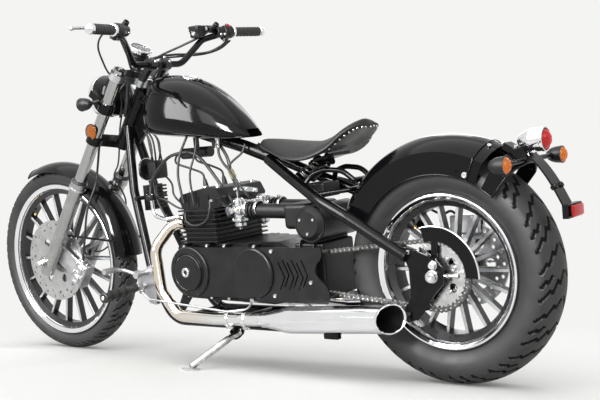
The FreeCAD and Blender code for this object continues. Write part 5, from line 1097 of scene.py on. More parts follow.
def seat_grid(places, angle, grow=0.0):
    """Points of the saddle: at each place of its side view a rounded ring whose sides droop, wide over the
    springs and narrow at the nose, and round at the tongue, where the width shrinks as sqrt(1 - t squared).
    Places run from 0 at the nose to 1 at the tongue's end."""
    line = curve_through(SEAT_LINE, 400)
    step = np.gradient(line, axis=0)
    index = np.clip(places, 0, 1) * (len(line) - 1)
    pick = np.stack([np.interp(index, np.arange(len(line)), line[:, k]) for k in range(3)], -1)
    heading = unit(np.stack([np.interp(index, np.arange(len(line)), step[:, k]) for k in (0, 1)], -1))
    up = np.stack([heading[:, 1], -heading[:, 0]], -1)
    up *= np.where(up[:, 1:] < 0, -1.0, 1.0)
    tongue = np.clip((np.clip(places, 0, 1) - 0.76) / 0.245, 0, 1)[:, None]
    share = pick[:, 2:3] * np.sqrt(1 - tongue ** 2)
    half, thick = 125.0 * share + grow, 17.0 * (0.6 + 0.4 * share) + grow
    droop = 26.0 * share * (0.4 + 0.6 / (1 + np.exp(-(pick[:, :1] - 310) / 12)))
    across, rise = power(np.cos(angle), 0.8)[None], power(np.sin(angle), 0.8)[None]
    crown = 0.20 * np.exp(-((across - 0.0) / 0.55) ** 2) * (rise > 0)
    lift = thick * (rise * (1 + crown)) - droop * across ** 2
    return np.stack([pick[:, :1] + up[:, :1] * lift, half * across, pick[:, 1:2] + up[:, 1:] * lift], -1)


def rounded_ends(count):
    """Places that crowd towards both ends, so that nose and tongue close in a round."""
    return (1 - np.cos(np.linspace(0, math.pi, count))) / 2


class MOTORCYCLE_OT_saddle(bpy.types.Operator):
    """Makes the saddle with its piping, pan and rivets."""
    bl_idname = "motorcycle.saddle"
    bl_label = "Saddle"

    def execute(self, context):
        angle = np.linspace(0, TAU, 96, endpoint=False) + 0.01
        places = rounded_ends(120)
        grid = seat_grid(places, angle)
        closing = np.sqrt(np.clip(1 - (1 - np.minimum(places, 1 - places) / 0.035) ** 2, 0, 1))
        closing = np.where(np.minimum(places, 1 - places) > 0.035, 1.0, np.maximum(closing, 0.04))[:, None, None]
        middle = grid.mean(axis=1, keepdims=True)
        grid = middle + (grid - middle) * (0.35 + 0.65 * closing)
        cushion = piece("saddle_cushion", [patch(grid, cap_first=True, cap_last=True)], "frame",
                        "leather", ("seat",), 60, UPRIGHT)
        rim = [pipe(self.edge(side, 0.02, 0.985), 2.6, 10, UP) for side in (-1, 1)]
        piece("saddle_piping", rim, "frame", "rubber", matrix=UPRIGHT)
        low = np.linspace(math.pi + 0.62, TAU - 0.62, 40)
        deep = seat_grid(np.linspace(0.62, 0.955, 40), low, 0.6)
        inner = seat_grid(np.linspace(0.62, 0.955, 40), low, -2.0)
        panel = patch(np.concatenate([deep, inner[:, ::-1]], axis=1), cap_first=True, cap_last=True)
        piece("saddle_pan", [panel], "frame", "plastic", matrix=UPRIGHT)
        piece("saddle_rivets", self.rivets(), "frame", "steel", matrix=UPRIGHT)
        return {"FINISHED"}

    def edge(self, side, first, last):
        """Line along the saddle's widest edge, where the top meets the underside."""
        turn = 0.0 if side > 0 else math.pi
        return seat_grid(np.linspace(first, last, 120), np.array([turn + 1e-6]), 0.6)[:, 0]

    def rivets(self):
        """Domed rivets round the underside of the tongue, and along the skirts."""
        places = np.array([0.66, 0.71, 0.76, 0.81, 0.86, 0.905, 0.945])
        rows = [seat_grid(places, np.array([turn]), 0.4)[:, 0] for turn in (math.pi + 0.56, TAU - 0.56)]
        rows.append(seat_grid(np.array([0.970]), np.linspace(math.pi + 0.9, TAU - 0.9, 4), 0.4)[0])
        spots = np.concatenate(rows)
        out = unit(spots - np.array([340.0, 0.0, 760.0]))
        out[:, 1] *= 0.2
        dome = spun([(4.0, -1.5), (3.8, 0.4), (2.8, 1.7), (1.0, 2.4)], around=10)
        return [copies(dome, [axis_matrix(spot, way) for spot, way in zip(spots, out)])]


class MOTORCYCLE_OT_springs(bpy.types.Operator):
    """Makes the saddle's coil springs, their seats and the hinge at its nose."""
    bl_idname = "motorcycle.springs"
    bl_label = "Saddle springs"

    def execute(self, context):
        low, high = np.array([494.0, 0, 600]), np.array([414.0, 0, 652])
        along, side = unit(high - low), np.array([0.0, 1.0, 0.0])
        normal = np.cross(along, side)
        turns = 6.2
        t = np.linspace(0, 1, 260)
        angle = t * turns * TAU
        squeeze = (t + 0.045 * np.sin(t * TAU * 2)) * 0.90 + 0.05
        helix = (low + squeeze[:, None] * (high - low) + 15.0 * np.cos(angle)[:, None] * side
                 + 15.0 * np.sin(angle)[:, None] * normal)
        coil = pipe(helix, 3.6, 14, along)
        parts = []
        for place in (-25.0, 25.0):
            shift = np.array([0.0, place, 0.0])
            parts.append((coil[0] + shift, *coil[1:]))
            parts.append(rod(low + shift, high + shift, 6.0, finish=1))
            for end, out in ((low, along), (high, -along)):
                parts.append(spun(rounded_profile([(6, 0), (21, 0), (21, 3.5), (13, 5), (6, 9)], 1), end + shift,
                                  out, 36, finish=1))
        parts.append(plate([(352, 672), (428, 656), (428, 646), (352, 662)], -45, 45, 1.5, finish=1))
        parts.append(plate([(474, 612), (496, 602), (500, 592), (484, 588), (466, 604)], -40, 40, 1.5, finish=1))
        for y in (-20, 16):
            parts.append(plate([(600, 692), (640, 684), (660, 708), (654, 718), (626, 704)], y, y + 4, 0.8,
                               finish=1))
        parts.append(rod((652, -24, 708), (652, 24, 708), 4, finish=1))
        parts.append(bolts([(652, 24, 708)], SIDEWAYS, 6.5, 5, 1))
        parts.append(bolts([(652, -24, 708)], (0, -1, 0), 6.5, 5, 1))
        piece("saddle_coils", parts, "frame", "dark_steel frame", ("seat_springs",), matrix=UPRIGHT)
        return {"FINISHED"}


# Lamps

LAMP = np.array([1308.8, 0.0, 921.9])
TAIL = np.array([-214.7, 0.0, 642.5])


def lens_dome(radius, low, rise, back, lobes, origin, along, finish=0):
    """Domed lens: height = low + rise x (1 - u^2.6), lifted by lobes that run out from the middle, and a
    flat back. u is the share of the radius."""
    u = np.linspace(0.01, 1.0, 14)[:, None]
    angle = np.linspace(0, TAU, 72, endpoint=False)[None]
    height = low + rise * (1 - u ** 2.6) + 0.9 * np.abs(np.cos(angle * lobes / 2)) * np.sin(u * math.pi)
    front = np.stack([radius * u * np.cos(angle), radius * u * np.sin(angle), height], -1)
    rear = front[::-1].copy()
    rear[..., 2] = back
    shape = patch(np.concatenate([front, rear]), cap_first=True, cap_last=True, finish=finish)
    return moved(shape, axis_matrix(np.asarray(origin, float), along))


def headlamp_parts():
    """Bowl, rim, reflector, bulb and lens of the headlamp, all turned about its axis."""
    t = np.linspace(0.02, 1, 18)
    swell = (1 - (1 - t) ** 2.3) ** 0.5
    outer = np.stack([72 * swell, -58 + 50 * t], -1)
    inner = np.stack([69 * swell, -54 + 50 * t], -1)[::-1]
    edge = [(72, 12), (72.8, 13), (72.8, 15), (72, 16), (72, 30), (73.2, 31), (73.2, 38), (69, 38)]
    bowl = spun(np.concatenate([outer, edge, inner]), LAMP, FORWARD, 72)
    rim = spun([(73.4, 33), (75.2, 33.6), (76, 37), (76, 46), (74.6, 51.5), (71.5, 55), (67.5, 55.6), (64.8, 53),
                (64.4, 49), (66, 46.5), (70, 45), (73.4, 42)], LAMP, FORWARD, 72, closed=True)
    radius = np.linspace(9, 65, 16)
    depth = -16 + 60 * (radius / 65) ** 2
    mirror = np.concatenate([np.stack([radius, depth], -1), np.stack([radius, depth - 1.6], -1)[::-1]])
    mirror = spun(mirror, LAMP, FORWARD, 60, closed=True)
    bulb = spun([(9, -18), (9, -10), (6.5, -9), (6.5, 4), (5.4, 10), (3, 13), (0.4, 14)], LAMP, FORWARD, 24,
                finish=1)
    screw = bolts([LAMP + (44, 0, -76)], (0, 0, -1), 3.6, 4)
    ears = [spun(rounded_profile([(0.4, 0), (11, 0), (11, 5), (7, 8), (0.4, 9)], 2), LAMP + (2, side * 70, 0),
                 (0, side, 0), 24) for side in (-1, 1)]
    return bowl, [rim, screw, *ears], [mirror, bulb]


def bullet(place, radius, facing):
    """Bullet-shaped shell of an indicator: a round nose that swells to its mouth, a bead and a cup."""
    nose = [(0.4, -46), (5, -45.5), (9.5, -43), (radius * 0.66, -37), (radius * 0.84, -29), (radius * 0.95, -20),
            (radius, -10), (radius, -3), (radius + 0.9, -2), (radius + 1.1, 1), (radius + 0.4, 3),
            (radius - 1.2, 3), (radius - 2.2, -3), (radius * 0.5, -8), (0.4, -8)]
    return spun(nose, place, (facing, 0, 0), 48)


def indicator_set(places, radius, facing):
    """Shells, silvered cups and amber lenses at the given places."""
    shells = [bullet(place, radius, facing) for place in places]
    cups = [spun([(0.4, -7.6), (radius * 0.5, -7.6), (radius - 2.4, -2.6), (radius - 3, -2.6),
                  (radius * 0.5, -7), (0.4, -7)], place, (facing, 0, 0), 48, finish=1) for place in places]
    lenses = [lens_dome(radius - 1.3, 2.2, 11.0, -1.5, 8, place, (facing, 0, 0)) for place in places]
    return shells + cups, lenses


class MOTORCYCLE_OT_headlamp(bpy.types.Operator):
    """Makes the headlamp with its reflector and lens."""
    bl_idname = "motorcycle.headlamp"
    bl_label = "Headlamp"

    def execute(self, context):
        bowl, bright, inside = headlamp_parts()
        piece("headlamp_shell", [bowl], "steering", "paint", ("headlamp_bucket",),
              matrix=UPRIGHT)
        piece("headlamp_trim", bright, "steering", "chrome", ("headlamp_rim",), matrix=UPRIGHT)
        piece("headlamp_reflector", inside, "steering", "chrome clear", matrix=UPRIGHT)
        glass = lens_dome(65.5, 45.5, 11, 43.5, 0, LAMP, FORWARD)
        piece("headlamp_glass", [glass], "steering", "clear", ("headlamp_lens",), matrix=UPRIGHT)
        return {"FINISHED"}


class MOTORCYCLE_OT_indicators(bpy.types.Operator):
    """Makes the indicators, front and rear, and the round reflectors on the fork."""
    bl_idname = "motorcycle.indicators"
    bl_label = "Indicators and reflectors"

    def execute(self, context):
        front = [np.array([1316.0, side * 146.0, 896.4]) for side in (-1, 1)]
        rear = [TAIL + (-50, side * 171.0, -26) for side in (-1, 1)]
        finishes = "plastic chrome"
        shells, lenses = indicator_set(front, 22.0, 1)
        for side in (-1, 1):
            stalk = np.array([(1283, side * 94, 905), (1289, side * 112, 901), (1294, side * 130, 897)])
            shells.append(pipe(curve_through(stalk, 16), 6.4 + 0.8 * np.cos(np.arange(16) * math.pi), 20))
        for side in (-1, 1):
            shells += self.reflector_back(side)
            lenses.append(lens_dome(25.0, 4.6, 1.6, 2.0, 0, (1307, side * 122.0, 801), (0, side, 0)))
        piece("front_indicator_shells", shells, "steering", finishes, ("front_indicators",),
              matrix=UPRIGHT)
        piece("front_amber", lenses, "steering", "amber",
              ("front_indicator_lenses",), matrix=UPRIGHT)
        shells, lenses = indicator_set(rear, 23.0, -1)
        piece("rear_indicator_shells", shells, "frame", finishes, ("rear_indicators",),
              matrix=UPRIGHT)
        piece("rear_amber", lenses, "frame", "amber", ("rear_indicator_lenses",), matrix=UPRIGHT)
        return {"FINISHED"}

    def reflector_back(self, side):
        """Back plate of a fork reflector and the stud that holds it to the leg."""
        plate_profile = rounded_profile([(0.4, 0), (26, 0), (28, 1.5), (28, 5.5), (26.4, 6.2), (25.4, 4.2),
                                         (0.4, 2.2)], 1)
        return [spun(plate_profile, (1307, side * 122.0, 801), (0, side, 0), 60),
                rod((1303, side * 108.0, 801), (1306, side * 123.0, 801), 6)]


class MOTORCYCLE_OT_tail_lamp(bpy.types.Operator):
    """Makes the tail lamp, its clamp, the reflector below it and the screws of the plate arm."""
    bl_idname = "motorcycle.tail_lamp"
    bl_label = "Tail lamp"

    def execute(self, context):
        start = TAIL + (-6, 0, 26)
        profile = [(0.4, 0), (8, 0.4), (13, 3), (18, 11), (24, 22), (28.4, 32), (30.6, 42), (31, 50), (31, 70),
                   (32.2, 71), (32.8, 75), (32.2, 79), (30.4, 80), (29, 78), (28.6, 70), (9, 62), (0.4, 62)]
        shell = [spun(profile, start, BACKWARD, 64)]
        x, z = TAIL[0] - 40, TAIL[2] + 26
        shell.append(box((x - 20, -11, z - 35), (x + 14, 11, z - 26), 3))
        shell.append(bolts([(x - 12, side * 11, z - 31) for side in (-1, 1)], (0, 0, -1), 4, 3))
        shell.append(pipe(curve_through([(x + 20, 0, z - 14), (x + 26, 0, z - 24), (x + 22, 0, z - 36)], 12), 4.2,
                          16, SIDEWAYS, finish=1))
        piece("tail_lamp_shell", shell, "frame", "chrome rubber", ("tail_lamp",), matrix=UPRIGHT)
        end = TAIL + (-138, 0, -158)
        face = box(end + (-23, -34, -17), end + (-13, 34, 13), 2.6)
        lens = lens_dome(28.2, 74, 18, 70, 6, start, BACKWARD)
        piece("tail_red", [face, lens], "frame", "red", ("rear_lenses",), matrix=UPRIGHT)
        out = unit((-0.84, 0.0, 0.54))
        screws = bolts([TAIL + (-108, side * 18, -96) + out * 1.5 for side in (-1, 1)], out, 7.5, 4.5)
        back = bolts([TAIL + (-108, side * 18, -96) - out * 4.5 for side in (-1, 1)], -out, 6.5, 6.5)
        seat = bolts([TAIL + (-8, side * 20, 11) for side in (-1, 1)], (-0.25, 0, 1), 6, 5, 1)
        piece("plate_arm_screws", [screws, back, seat], "frame",
              "engine steel", matrix=UPRIGHT)
        return {"FINISHED"}


# Bars and controls, in the fork's own frame

BAR_INNER, BAR_TIP = np.array([-92.0, 261.0, 1012.0]), np.array([-122.0, 403.0, 1032.0])
BAR_IN = (BAR_INNER - BAR_TIP) / np.linalg.norm(BAR_INNER - BAR_TIP)
BLADE_STEPS = 70


def along_bar(distance):
    """Point on the left bar's outer run, a distance in from its end."""
    return BAR_TIP + BAR_IN * distance


def grip_parts():
    """Left grip: rubber with slanted ribs that cross, r = 16 + 0.8 x sin(8a + s/5) x sin(8a - s/5), between a
    chromed flange and a chromed end."""
    s = np.linspace(15, 121, 110)[:, None]
    angle = np.linspace(0, TAU, 64, endpoint=False)[None]
    ribs = np.sin(8 * angle + s / 5) * np.sin(8 * angle - s / 5)
    fade = np.clip(np.minimum(s - 15, 121 - s) / 6, 0, 1)
    radius = 16.0 + 0.8 * ribs * fade
    grid = np.stack([radius * np.cos(angle), radius * np.sin(angle), np.broadcast_to(s, radius.shape)], -1)
    sleeve = moved(patch(grid, cap_first=True, cap_last=True), axis_matrix(BAR_TIP, BAR_IN))
    flange = rounded_profile([(12, 120), (16.6, 120), (20.4, 123), (20.4, 130), (17, 133), (12, 133)], 2)
    end = rounded_profile([(0.4, -6), (9, -6), (15.6, -3.5), (17.2, 2), (17.2, 9), (15, 12), (15, 15.4),
                           (0.4, 15.4)], 2.5)
    ring = rounded_profile([(0.4, -8.5), (5, -8.5), (6.4, -6), (6.4, -4), (0.4, -4)], 1)
    ends = [spun(flange, BAR_TIP, BAR_IN, 48), spun(end, BAR_TIP, BAR_IN, 48), spun(ring, BAR_TIP, BAR_IN, 24)]
    return [sleeve], ends


def lever_blade():
    """Lever from its pivot out along the grip: a blade whose half-widths taper, then a ball."""
    perch = along_bar(198)
    route = curve_through([perch + (20, 2, -2), perch + (40, 14, -8), perch + (58, 34, -14),
                           along_bar(120) + (88, 0, -40), along_bar(60) + (88, 0, -44),
                           along_bar(20) + (84, 0, -44)], BLADE_STEPS)
    side, normal = path_frame(route, UP)
    share = np.linspace(0, 1, BLADE_STEPS)
    wide = np.interp(share, [0, 0.12, 0.3, 0.8, 1.0], [12, 9, 6.6, 5.4, 4.6])
    tall = np.interp(share, [0, 0.12, 0.3, 0.8, 1.0], [6, 5.4, 4.6, 4.2, 4.2])
    angle = np.linspace(0, TAU, 24, endpoint=False)
    ring = (power(np.cos(angle), 0.8)[None, :, None] * side[:, None] * wide[:, None, None]
            + power(np.sin(angle), 0.8)[None, :, None] * normal[:, None] * tall[:, None, None])
    blade = patch(route[:, None] + ring, cap_first=True, cap_last=True)
    tip, along = route[-1], unit(route[-1] - route[-2])
    t = np.linspace(0.05, math.pi - 0.05, 18)
    ball = spun(np.stack([8.2 * np.sin(t), 4 - 8.2 * np.cos(t)], -1), tip, along, 28)
    return [blade, ball]


def perch_parts():
    """Clamp of the lever: a split collar with two screws, the ears that hold the lever, and its pivot."""
    perch, low = along_bar(198), along_bar(170)
    collar = spun(rounded_profile([(11.2, 0), (18, 0), (19, 2), (19, 26), (18, 28), (11.2, 28)], 2), low, BAR_IN,
                  closed=True)
    parts = [collar, box(perch + (8, -22, -10), perch + (32, 20, -4), 3), box(perch + (8, -22, 4),
                                                                           perch + (32, 20, 10), 3),
             box(perch + (8, -20, -9), perch + (18, 6, 9), 3),
             rod(perch + (26, 2, -12), perch + (26, 2, 13), 5, finish=1),
             bolts([along_bar(176) + (-19, 0, 3), along_bar(192) + (-19, 0, 3)], BACKWARD, 4.2, 4, 1)]
    boss = perch + (14, 0, 10)
    ring = rounded_profile([(5.2, 0), (9, 0), (10, 1.5), (10, 18), (9, 20), (5.2, 20)], 1.5)
    parts.append(spun(ring, boss, (-6, 0, 20), 28, closed=True))
    adjuster = [(0.4, 0), (5, 0), (6.5, 2), (6.5, 9), (4, 10), (4, 18), (3, 19), (0.4, 19)]
    parts.append(spun(adjuster, perch + (24, -22, 0), (0.25, -1, -0.2), 20, finish=1))
    return parts


def switch_parts():
    """Switch housing: two shells that meet in a seam, with a rocker and a round button."""
    a, b = along_bar(133), along_bar(169)
    shell = rounded_profile([(11.2, 0), (20, 0), (22.5, 3), (22.5, 16), (21.9, 16.6), (21.9, 17.4), (22.5, 18),
                             (22.5, 33), (20, 36), (11.2, 36)], 1.2)
    parts = [spun(shell, a, b - a, 48, closed=True)]
    middle = (a + b) / 2
    parts.append(box(middle + (-27, -9, -3), middle + (-18, 9, 9), 2.5))
    parts.append(box(middle + (-12, -14, -32), middle + (14, 14, -14), 4))
    parts.append(bolts([middle + (-8, -10, -23), middle + (8, 10, -23)], (0, 0, -1), 3.4, 10, 1))
    return parts


def reservoir_parts():
    """Brake fluid reservoir: a tapering pot with a ledge, a lid with two screws and a round sight glass."""
    base = np.array([-44.0, 160.0, 988.0])
    upright = axis_matrix(base, (0.588, 0.0, 0.809), SIDEWAYS)
    rows = []
    for grow, height in ((-8, -24), (-3, -21), (-2, -4), (0, 0), (0, 9), (1.5, 10), (1.5, 14), (-1.5, 17)):
        half = np.array([21.0 + grow, 24.0 + grow])
        angle = np.linspace(0, TAU, 48, endpoint=False)
        outline = np.stack([power(np.cos(angle), 0.4) * half[0], power(np.sin(angle), 0.4) * half[1]], -1)
        rows.append(np.concatenate([outline, np.full((48, 1), float(height))], 1))
    pot = patch(np.stack(rows), cap_first=True, cap_last=True)
    lid = bolts([(-13, -16, 16.5), (13, 16, 16.5)], UP, 3.6, 2.6, 1)
    sight = spun([(0.4, 0), (8, 0), (8.6, 1), (8, 2.4), (6.4, 2.4), (6, 1.4), (0.4, 1.4)], (-18, 0, -8),
                 BACKWARD, 28, finish=1)
    parts = [moved(part, upright) for part in (pot, lid, sight)]
    parts.append(rod(base + (-8, 6, -16), along_bar(208) + (26, 0, 6), 9))
    parts.append(rod(along_bar(232) + (26, 0, 0), along_bar(196) + (26, 0, 0), 10.5, bevel=2))
    return parts



class MOTORCYCLE_OT_grips(bpy.types.Operator):
    """Makes the rubber grips and their chromed ends."""
    bl_idname = "motorcycle.grips"
    bl_label = "Grips"

    def execute(self, context):
        rubber, ends = grip_parts()
        piece("rubber_grips", both_sides(rubber), "steering", "rubber", ("grips",), matrix=ON_FORK)
        piece("bar_ends", both_sides(ends), "steering", "chrome", matrix=ON_FORK)
        return {"FINISHED"}


class MOTORCYCLE_OT_levers(bpy.types.Operator):
    """Makes levers, perches, switch housings and the brake reservoir."""
    bl_idname = "motorcycle.levers"
    bl_label = "Levers and switches"

    def execute(self, context):
        blade, perch, switch = lever_blade(), perch_parts(), switch_parts()
        piece("clutch_blade", blade, "steering", "alloy", ("clutch_lever",), matrix=ON_FORK)
        piece("brake_blade", mirror_all(blade), "steering", "alloy", ("brake_lever",), matrix=ON_FORK)
        body = perch + switch
        right = [mirrored(p) for p in [*perch, *switch, *reservoir_parts()]]
        middle = (along_bar(133) + along_bar(169)) / 2
        button = rounded_profile([(0.4, 0), (8, 0), (8, 8), (6.5, 10), (0.4, 10)], 1.2)
        kill = spun(button, middle + (6, -4, 17), (0.3, 0, 1), 28, finish=2)
        piece("bar_fittings", body + right + [mirrored(kill)], "steering",
              "plastic steel red_plastic", matrix=ON_FORK)
        return {"FINISHED"}


class MOTORCYCLE_OT_gauge(bpy.types.Operator):
    """Makes the gauge: cup, bezel, dial with its marks and needle, and glass."""
    bl_idname = "motorcycle.gauge"
    bl_label = "Gauge"

    def execute(self, context):
        foot, lean = np.array([22.0, 0.0, 828.0]), unit((0.10, 0.0, 1.0))
        cup = rounded_profile([(0.4, -8), (15, -8), (27, -4), (34, 6), (36, 18), (36, 26), (37, 27), (37, 29),
                               (36, 30), (36, 46), (0.4, 46)], 2)
        parts = [spun(cup, foot, lean, 56)]
        parts.append(spun([(36, 40), (38, 40.4), (40.4, 42), (41.4, 46), (41.4, 52), (40, 55.6), (37.6, 57),
                           (35.6, 56), (35.4, 53), (36, 50)], foot, lean, 64, closed=True, finish=1))
        stalk = curve_through([(2, 0, 806), (12, 0, 812), (20, 0, 822), (22, 0, 832)], 20)
        parts.append(pipe(stalk, 8.6, 24, SIDEWAYS))
        parts.append(bolts([foot + (0, side * 14, 1) for side in (-1, 1)], -lean, 4.5, 4, 1))
        frame = axis_matrix(foot, lean, SIDEWAYS)
        turn = np.radians(np.linspace(-130, 130, 27))
        mark = box((-0.5, 27, 46), (0.5, 33, 46.5), 0.2, 2)
        marks = np.tile(np.eye(4), (len(turn), 1, 1))
        marks[:, 0, 0] = marks[:, 1, 1] = np.cos(turn)
        marks[:, 0, 1], marks[:, 1, 0] = np.sin(turn), -np.sin(turn)
        needle = moved(box((-0.8, -6, 47), (0.8, 22, 47.8), 0.3, 3), marks[3])
        parts += [moved(copies(mark, marks), frame), moved(needle, frame),
                  spun([(0.4, 46), (5, 46), (5, 49), (4, 50), (0.4, 50)], foot, lean, 24, finish=0)]
        finishes = "plastic chrome mark red_plastic"
        piece("gauge_body", parts, "steering", finishes, ("gauge",), matrix=ON_FORK)
        glass = lens_dome(35.6, 53.5, 1.8, 52.0, 0, foot, lean)
        piece("gauge_glass", [glass], "steering", "clear", matrix=ON_FORK)
        return {"FINISHED"}


# Engine

ENGINE_SET = "engine steel alloy rubber chrome filter"


def ring_places(x, z, radius, angles, y):
    """Points on a circle that faces across the machine."""
    turn = np.radians(np.asarray(angles, float))
    return np.stack([x + radius * np.cos(turn), np.full(len(turn), float(y)), z + radius * np.sin(turn)], -1)


def cover_screws(places, low, high):
    """Screws on cast bosses that stand out of a cover's edge."""
    boss = spun([(0.4, 0), (8.4, 0), (7.8, high - low - 2), (6.4, high - low), (0.4, high - low)], around=20)
    face = axis_matrix(np.zeros(3), SIDEWAYS)
    spots = []
    for place in places:
        spot = face.copy()
        spot[:3, 3] = (place[0], low, place[2])
        spots.append(spot)
    return [copies(boss, spots), bolts([(p[0], high, p[2]) for p in places], SIDEWAYS, 5.2, 4.5, 1)]


def left_cover_parts():
    """Screws round the left cover, its alloy plug, a rib between its two rounds and the chain cover's screws."""
    rim = np.concatenate([ring_places(885, 325, 84, (72, 26, -26, -72), 0),
                          ring_places(623, 325, 81, (95, 265), 0), [(811, 0, 408), (737, 0, 408),
                                                                    (811, 0, 242), (737, 0, 242)]])
    parts = cover_screws(rim, 105, 131)
    plug = rounded_profile([(12.2, -6), (15.6, -6), (15.6, 3), (14.4, 4.6), (8, 4.6), (7, 1.5), (0.4, 1.5)], 1)
    parts.append(spun(plug, (890, 158, 325), SIDEWAYS, 48, finish=2))
    parts.append(box((878, 156, 323.6), (902, 160.4, 326.4), 0.5))
    parts.append(spun([(60.5, 149), (63, 149), (63, 152.6), (61.8, 153.8), (60.5, 152.6)], (885, 0, 325),
                      SIDEWAYS, 96, closed=True))
    parts.append(bolts([(545, 136, 392), (545, 136, 256), (404, 136, 300)], SIDEWAYS, 6.2, 5, 1))
    return parts


def head_parts():
    """Ribs and cap nuts of the rocker cover, plug caps with their leads from the coils, and mounts."""
    parts = []
    for x in (806, 850, 894):
        parts.append(box((x - 2.6, 108, 530), (x + 2.6, 114, 566), 1.2))
    for x, z in ((900, 574.6), (838, 586.2), (784, 589.4)):
        parts.append(bolts([(x, 84, z)], (0.18, 0, 0.98), 7.5, 7, 1))
    cap = rounded_profile([(0.4, 0), (9, 0), (10, 4), (8, 22), (6, 34), (4.6, 38), (0.4, 38)], 2)
    parts.append(spun(cap, (868, 46, 578), (0.15, 0, 1), 24, finish=3))
    lead = curve_through([(873, 46, 612), (882, 47, 634), (930, 50, 652), (990, 50, 672), (986, 45, 698),
                          (958, 42, 700)], 50)
    parts.append(pipe(lead, 3.6, 14, SIDEWAYS, finish=3))
    plate_line = [(992, 168), (1012, 182), (966, 262), (934, 262), (934, 236)]
    parts.append(plate(plate_line, 88, 95, 1.2))
    parts.append(bolts([(950, 95, 246), (992, 95, 190)], SIDEWAYS, 7, 6, 1))
    return parts


def carburettor_parts(side):
    """One carburettor: throat with flanges, slide tower with a ribbed cap, float bowl with a drain, and a lever."""
    y = side * 58.0
    throat = [(14, 0), (23, 0), (23, -6), (20, -8), (19, -20), (20.6, -24), (20.6, -54), (19, -58), (21.5, -64),
              (22, -78), (16, -78)]
    parts = [spun(np.array(throat) * (1, -1), (766, y, 509), BACKWARD, 40, finish=2)]
    s = np.linspace(0, 1, 30)[:, None]
    angle = np.linspace(0, TAU, 48, endpoint=False)[None]
    tower_r = np.interp(s[:, 0], [0, 0.1, 0.55, 0.6, 0.9, 1.0], [17, 18.5, 18.5, 20, 19, 12])[:, None]
    tower_r = tower_r + 0.7 * np.sign(np.sin(12 * angle)) * ((s > 0.62) & (s < 0.9))
    grid = np.stack([726 + tower_r * np.cos(angle), y + tower_r * np.sin(angle),
                     np.broadcast_to(482 + 68 * s, tower_r.shape)], -1)
    parts.append(patch(grid, cap_first=True, cap_last=True, finish=2))
    parts.append(box((706, y - 19, 474), (746, y + 19, 484), 2.5, finish=2))
    parts.append(box((709, y - 16, 456), (743, y + 16, 475), 5, finish=2))
    parts.append(bolts([(710, y - 15, 484), (742, y - 15, 484), (710, y + 15, 484), (742, y + 15, 484)],
                       UP, 3.2, 2.6, 1))
    parts.append(bolts([(726, y, 456)], (0, 0, -1), 6.5, 6, 1))
    out = 1 if side > 0 else -1
    parts.append(spun([(0.4, 0), (12, 0), (12.6, 1), (12, 3.4), (5, 4), (4, 7), (0.4, 7)], (745, y + out * 20, 512),
                      (0, out, 0), 32, finish=1))
    parts.append(bolts([(712, y + out * 20, 515)], (0, out, 0), 4, 5, 5))
    return parts


def intake_parts():
    """Both carburettors, the rail and link between them, and the bright bracket above the boots."""
    parts = carburettor_parts(1) + carburettor_parts(-1)
    parts.append(rod((726, -60, 533), (726, 60, 533), 5.2, finish=1))
    parts.append(rod((745, -36, 512), (745, 36, 512), 3.2, finish=1))
    parts.append(plate([(646, 566), (742, 574), (742, 583), (700, 586), (646, 578)], 52, 60, 1.5, finish=2))
    parts.append(bolts([(656, 60, 572), (690, 60, 577), (732, 60, 578)], SIDEWAYS, 4.6, 4, 1))
    parts.append(rod((727, 56, 548), (727, 56, 575), 5, finish=1))
    for x in (686, 643):
        band = rounded_profile([(23.2, -4.5), (26.4, -4.5), (27, -3), (27, 3), (26.4, 4.5), (23.2, 4.5)], 0.8)
        for side in (-1, 1):
            parts.append(spun(band, (x, side * 58, 514), (1, 0, 0.02), 40, closed=True, finish=1))
            parts.append(box((x - 5, side * 58 + 8, 538), (x + 5, side * 58 + 20, 546), 1.5, finish=1))
    parts.append(bolts(ring_places(420, 468, 28, (30, 150, 270), 112), SIDEWAYS, 4.4, 3.6, 1))
    parts.append(spun([(50.2, 92), (54.8, 92), (55.6, 94), (55.6, 97), (54.8, 99), (50.2, 99)], (420, 0, 468),
                      SIDEWAYS, 72, closed=True))
    return parts


def hose(points, radius, finish=3, samples=60, up=(0.0, 1.0, 0.02)):
    """Soft pipe through points."""
    return pipe(curve_through(points, samples), radius, 14, up, finish=finish)


